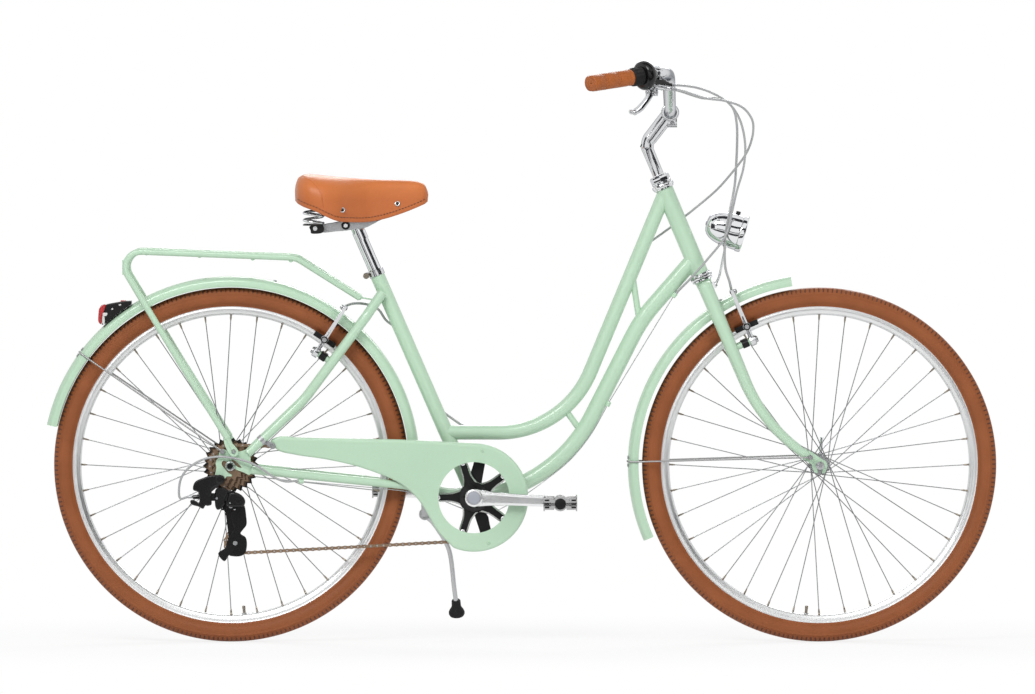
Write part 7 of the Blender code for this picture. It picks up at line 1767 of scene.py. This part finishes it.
# %% Guard sheet
GUARD_RADIUS, GUARD_HOLE = 107, 73.5
ring = [around(BRACKET, GUARD_RADIUS, 86 - a) for a in range(0, 199, 3)]
tail_top = smooth_path("""-240.3 0 401.7, -437.8 0 405.6, -476.8 0 407.5, -495.1 0 398.7, -480.1 0 380.2,
    -440.8 0 370.3""", 6)
LOW_EDGE = """-164.7 0 219, -190 0 262.3, -207.6 0 287.2, -240.3 0 314.8, -309.8 0 344, -375.4 0 360.4,
    -440.8 0 370.3"""
low_edge = smooth_path([ring[-1], *rows(LOW_EDGE)], 6)
outline = ring + low_edge[1:-1] + tail_top[::-1]
count = len(outline)
hole = [around(BRACKET, GUARD_HOLE, a) for a in range(0, 360, 4)]
sheet = Shape()
rim = "0 -54, 0 -55, 0.4 -56.6, 1.3 -57.9, 2.6 -58.8, 4.2 -59.3, 6.2 -59.4"
front = layers(sheet, outline, rim)
back = layers(sheet, outline, "0 -54, 1.2 -54, 1.6 -56.2, 3.4 -57.8", 0, True)
edge = layers(sheet, hole, "-3.4 -59.4, -1.8 -59.1, -0.7 -58.4, -0.1 -57.4, 0 -56.6, -0.6 -56.6")
for outer, inner in ((front[-1], edge[0]), (back[-1], edge[-1])):
    sheet.put(outer + inner, filled([outer, inner]))
clip_way = (STAY_KNEE - STAY_END).normalized()
clip = at(-511.5, -62.5, 401)
turned(sheet, "9.6 -4.5, 10.6 -4.5, 10.6 4.5, 9.6 4.5", clip + at(0, -0.5, 0), clip_way, 28, 1, True)
slab(sheet, at(-497.5, -60, 393), (at(0.86, 0, -0.51), Y, at(0.51, 0, 0.86)), (25, 2.2, 9), 1)
bolt(sheet, at(-490.5, -61, 388.8), -Y, 4.6, 3, 1, False, 6.2)
for angle in (80.0, -72.0):
    bolt(sheet, around(BRACKET, 94, angle, -59.3), -Y, 3.4, 1.6, 0, False)
sheet.piece("guard_sheet", "frame_body", "mint_paint steel", "chain_guard", "mint_paint", angle=30)
print("guard outline", count, "points")

# %% [markdown]
# ## Under the saddle
# Two steel side plates clamp the post's top with one bolt. Bars run back from them to a folded
# bracket that carries both springs, and rails run forward to the nose. The plates are pressed sheet,
# so each is a pillowed outline. The collar at the seat tube's top is pinched by a bolt behind it.

# %% Saddle plates, bars, bracket, rails and collar
PLATE = "-30 20, 35 20, 26 11.5, 16 6.6, 6.2 4.3, -15.9 1.3, -27 0.2, -32 6"
BAR = "-72 10.8, -50 15.6, -29 19, -19 12, -24 1, -43 -1.2, -72 -3.2"
BRACKET_END = "-94.5 9.6, -70.4 11.9, -69 -3, -90.5 -5.4, -93.5 1"


def on_saddle(points):
    return closed_curve([(SADDLE_AT.x + x, SADDLE_AT.z + z) for x, z in rows(points)], 4)


under = Shape()
for side in BOTH:
    pillow(under, on_saddle(PLATE), side * 18.5, side * 21.2, 0.9)
    pillow(under, on_saddle(BAR), side * 21.2, side * 24, 0.8)
    pillow(under, on_saddle(BRACKET_END), side * 52, side * 56, 0.8, 1)
    bolt(under, SADDLE_AT + at(-25, side * 24, 10.3), Y * side, 4.6, 3.4, 2, True)
    turned(under, "8.4 0, 8.4 1, 7.6 1.6, 0 1.6", SADDLE_AT + at(-25, side * 23.6, 10.3), Y * side, 32, 1)
    bolt(under, SADDLE_AT + at(-84.5, side * 56, 4.7), Y * side, 2.6, 2, 2, False, 4.2)
    dish = "0 10.4, 20 10.4, 20.6 11.2, 20.6 12.6, 19.8 13.2, 0 13.2"
    turned(under, dish, SADDLE_AT + at(-88.5, side * 47, 0), Z, 40, 1)
    knots = [SADDLE_AT + at(x, side * y, z) for x, y, z in ((-30, 16.5, 17), (30, 16.5, 19), (94.7, 8, 45))]
    rail = rounded_path(knots, [60], 8)
    swept(under, rail, 3.5, 12, 1)
slab(under, SADDLE_AT + at(-81.5, 0, 10), XYZ, (23, 106, 2.2), 1)
slab(under, SADDLE_AT + at(-72, 0, 4), XYZ, (3, 46, 11), 1)
slab(under, SADDLE_AT + at(96, 0, 46), XYZ, (11, 23, 6), 1)
turned(under, "0 -18.4, 10 -18.4, 10 18.4, 0 18.4", SADDLE_AT + at(-12.3, 0, 12), Y, 28, 1)
turned(under, "12.9 -20, 13 10, 12.2 11, 0 11", SADDLE_AT, SEAT_LINE, 40, 3)
under.piece(
    "saddle_undercarriage", "seat_post", "steel black_steel polished_alloy chrome", "saddle_frame", "black_steel",
    angle=35
)
collar = turned(
    Shape(), "13.8 -1.2, 15.2 -1.2, 15.8 -0.6, 15.8 11.2, 15.2 11.8, 13.8 11.8", SEAT_TOP, SEAT_LINE, 48, 0, True
)
pinch = SEAT_TOP + at(-22, 0, -1.1)
for side in BOTH:
    slab(collar, SEAT_TOP + at(-16, side * 4.2, 2), (SEAT_LINE.cross(Y), Y, SEAT_LINE), (15, 4, 11))
    turned(collar, "0 -4, 5.8 -4, 6 6, 5.2 7.2, 2.6 7.2, 2.4 5.6, 0 5.6", beside(pinch, side * 6.2), Y * side, 28, 1)
collar.piece("seat_collar", "frame_body", "polished_alloy brass", "seat_clamp", "polished_alloy", angle=40)
print("undercarriage and collar ready")

# %% [markdown]
# ## Chainring, axle nuts and derailleur fittings
# The chainring's teeth are cut from flat plate. The chain's rollers set where each gap is, so its
# turn matches the chain. Bolts, caps and adjusters finish the drive.

# %% Chainring and drive fittings
TOOTH = rows(  # share of the pitch, radius, how far to the side
    "0 80.9 -3.1, 0 80.3 -1.2, 0 80.3 1.2, 0 80.9 3.1, 0.36 86.2 0, 0.5 87.6 0, 0.64 86.2 0"
)
FIRST_GAP = -0.0815956  # where the chain's rollers set the first gap, in radians
teeth = []
for k in range(RING_TEETH):
    for turn, radius, half in TOOTH:
        spin = FIRST_GAP + 2 * math.pi * (k + turn) / RING_TEETH
        c, s = math.cos(spin), math.sin(spin)
        teeth.append(BRACKET + at(radius * c - half * s, 0, radius * s + half * c))
bore = []
for a in range(0, 360, 3):
    near = min(abs((a + 180 - 72 * k + 180) % 360 - 180) for k in range(5))
    bore.append(around(BRACKET, 68.6 if near < 4 else (71.5 if near < 7 else 75.2), a))
ring_plate = flat_plate(Shape(), teeth, -47.9, -46.1, [bore])
ring_plate.piece("ring_teeth", "cranks", "black_steel", "chainring", "black_steel", angle=30)

nuts = Shape()
for side in BOTH:
    turned(nuts, "0 72.8, 9.8 72.8, 10.2 73.6, 9.8 79, 8.8 80.6, 5.8 81, 5.6 80", REAR_AXLE, Y * side, 40)
    turned(nuts, "5.8 80, 5.8 86.8, 4.8 87.9, 0 88", REAR_AXLE, Y * side, 28, 1)
nuts.piece("rear_axle_nuts", "frame_body", "chrome gloss_black", "", "steel", angle=35)

FITTINGS = (  # body, place, axis, radius, height, finish
    ("cage", at(-573.18, -56.2, 270.06), -Y, 4, 1.2, 0),
    ("cage", at(-564.62, -56.2, 197.13), -Y, 4.4, 1.6, 0),
    ("frame_body", at(-594.43, -83, 323.5), -Y, 6.4, 1.8, 1),
    ("knuckle", at(-558.5, -74, 280.5), -Y, 5.2, 1.4, 1),
    ("frame_body", at(-620.2, -79, 295.3), -Y, 2.2, 1.4, 0),
    ("frame_body", at(-615.2, -78.6, 283.9), -Y, 2.2, 1.4, 0),
    ("outer_link", at(-600.5, -74, 286.2), -Y, 2.6, 1.4, 0),
    ("knuckle", at(-574.4, -73.8, 277.1), -Y, 2, 1.2, 0),
    ("knuckle", at(-565.3, -70, 265), -Z, 2, 2, 0),
)
COVERS = (  # name, body, outline, back, front, rim
    ("mount_cover", "frame_body", """-626.5 327, -615.2 330.9, -599.3 332.7, -588 329.9, -584.8 323.6, -586.9 317.9,
        -592.1 313.4, -601.6 310, -609.5 304.3, -610.2 296.4, -612 289.1, -610.2 281, -611 273.7, -618.6 271.5,
        -622.5 272.2, -627.2 265.8, -636.7 270.3, -645.8 272.6, -651.5 276, -651.9 282.3, -645.8 283.5, -636.1 278.3,
        -634.3 285.1, -637 298.7, -646.5 302.7, -646 313.4, -640.1 321.3""", -77.5, -83, 3),
    ("link_cover", "outer_link", """-603.8 300.5, -600 306, -594 308.5, -580 304, -579 296, -584.5 285.1, -584 276,
        -588 270.3, -591.4 265.8, -599.3 263.5, -603 269, -604 274.5, -604.4 285.1""", -66, -74.2, 3),
    ("knuckle_cover", "knuckle", """-576.7 295, -567.6 298.5, -556.3 295, -548.3 288.8, -544.5 280.5, -546.1 272.6,
        -551.7 269.2, -567.6 268.7, -577.9 270.3, -581.9 276, -580.3 285.1""", -60, -74, 4),
    ("cage_cover", "cage", """-570 268.1, -558.5 273.6, -548.2 272.7, -545.1 267.1, -542.9 251.1, -542.1 234.1,
        -548.9 223.9, -553.9 215.8, -544.1 208.7, -541.4 196.1, -543.7 180.1, -551.1 172.5, -562.5 170.6, -575 172,
        -577 172.9, -586.3 161.3, -598.5 176.1, -586.5 186.1, -583.1 189.5, -580.8 200.9, -575.1 211.3, -567.2 226.1,
        -570.6 237.5, -572.2 253.3""", -53, -56.2, 1.2),
)
for name, body, loop, back, front, rim in COVERS:
    pillow(Shape(), closed_curve(loop), back, front, rim).piece(
        "derailleur_" + name, body, "gloss_black", "", "black_plastic", angle=50
    )
GUARD_ARM = rows("24 -10, 24 10, 46 15, 60 13, 97 10.5, 97 -10.5, 60 -10")
arms = Shape()
for angle in (80.0, -72.0):
    out, over = around(ORIGIN, 1.0, angle), around(ORIGIN, 1.0, angle + 90)
    loop = [BRACKET + out * a + over * b for a, b in GUARD_ARM]
    pillow(arms, loop, -35.2, -38.8, 0.8)
arms.piece("guard_arms", "frame_body", "black_plastic", "", "black_steel", angle=40)
for k, (body, spot, way, radius, height, mark) in enumerate(FITTINGS):
    fit = Shape()
    hole = radius * 0.45
    head = [(radius, 0), (radius, height * 0.6), (radius * 0.86, height)]
    turned(fit, head + [(hole, height), (hole, height * 0.3), (0, height * 0.3)], spot, way, 28)
    fit.piece(f"drive_bolt_{k}", body, "gloss_black" if mark else "steel", "", "black_plastic", angle=35)
for name, body, x in (("mount", "frame_body", -618.93), ("knuckle", "knuckle", -574.93)):
    pins = Shape()
    for y in (-70, -58):
        for way in BOTH:
            turned(pins, "3.2 0, 3.2 0.6, 2.2 1.1, 0 1.2", at(x, y, 288.5 + way * 11.6), Z * way, 16)
    pins.piece("link_pins_" + name, body, "steel", "", "steel", angle=35)
print("drive fittings ready")

# %% [markdown]
# ## Tail lamp
# The tail lamp is a black case that follows the mudguard's curve, with a red lens at its back, a
# clear strip along the lens and a red push button on top. Its side outline is extruded and rounded.

# %% Tail lamp case and lens
base = [around(REAR_AXLE, 372.7, angle) for angle in (131.6, 130, 128, 126, 124, 122)]
case_top = [at(x, 0, z) for x, z in rows(
    """-770.3 668.5, -770.8 673.8, -785 673.2, -800 670.7, -812 668.6, -820.5 666.6, -821.6 660.5, -825.2 646.4,
    -826.8 633, -828.6 626.2"""
)]
case = Shape()
pillow(case, base + case_top, 0.0, -25.8, 2.2)
pillow(case, base + case_top, 0.0, 25.8, 2.2)
for side in BOTH:
    for loop in (
        "-826.2 650, -818 650.5, -817.4 647, -820 644.4, -825 644",
        "-827.4 641.2, -823.2 642.4, -822.8 630, -826.2 628.4",
        "-795.2 666.6, -791.2 668, -790 665.8, -793.8 664.5",
        "-809.8 658.5, -806.6 659.8, -805.6 657.6, -808.6 656.2",
    ):
        pillow(case, closed_curve(loop), side * 24, side * 26.4, 0.5, 1)
case.piece(
    "tail_lamp_case", "frame_body", "black_plastic pale_plastic", "tail_light_housing", "black_plastic", angle=40
)
lens = Shape()
glow = """-820 666.8, -828.6 665.6, -833.2 659, -835 650, -835.6 634.4, -831.6 628.3, -829.2 630, -828.2 642,
    -825 650, -821.4 661"""
pillow(lens, closed_curve(glow), 0.0, -25.2, 2)
pillow(lens, closed_curve(glow), 0.0, 25.2, 2)
for k in range(6):
    slab(lens, at(-835 + 0.2 * k, 0, 637 + k * 4.2), XYZ, (1.6, 44, 1.1))
lens.piece("tail_lamp_lens", "frame_body", "red_lens", "tail_light_lens", "red_lens", angle=35)
print("tail lamp ready")

# %% [markdown]
# ## Kickstand leg
# The stand's leg is a bent rod with a flattened eye at its pivot and a rubber foot pushed on its
# end. The rod is swept along its bends, and the foot is a turned bell shape on the rod's last line.

# %% Kickstand leg and foot
leg = Shape()
pivot = at(-191.53, 34, 250.5)
line = smooth_path([pivot, (-177, 39.5, 238), (-161, 46, 213), (-144, 54, 179), (-134, 64, 105), (-130.3, 74, 74)], 6)
swept(leg, line, [7.5 - 3 * min(1.0, k / 9) for k in range(len(line))], 24)
turned(leg, "0 -8.5, 10.5 -8.5, 11.8 -7, 11.8 7, 10.5 8.5, 0 8.5", pivot, Y, 36)
bolt(leg, pivot - Y * 8.5, -Y, 4.8, 4, 2, True, 7.8)
BELL = "0 0, 5.2 0, 8 0.8, 9 3, 9.2 13, 10.8 18, 14 22.5, 15.8 27, 15.8 31, 14 34.5, 10 36, 0 36.2"
turned(leg, BELL, at(-130.3, 73.8, 79), at(0.05, 0.42, -0.91), 36, 1)
leg.piece("stand_leg", "kick_leg", "cast_alloy black_rubber steel", "kickstand_leg", "polished_alloy", angle=40)
print("kickstand leg ready")
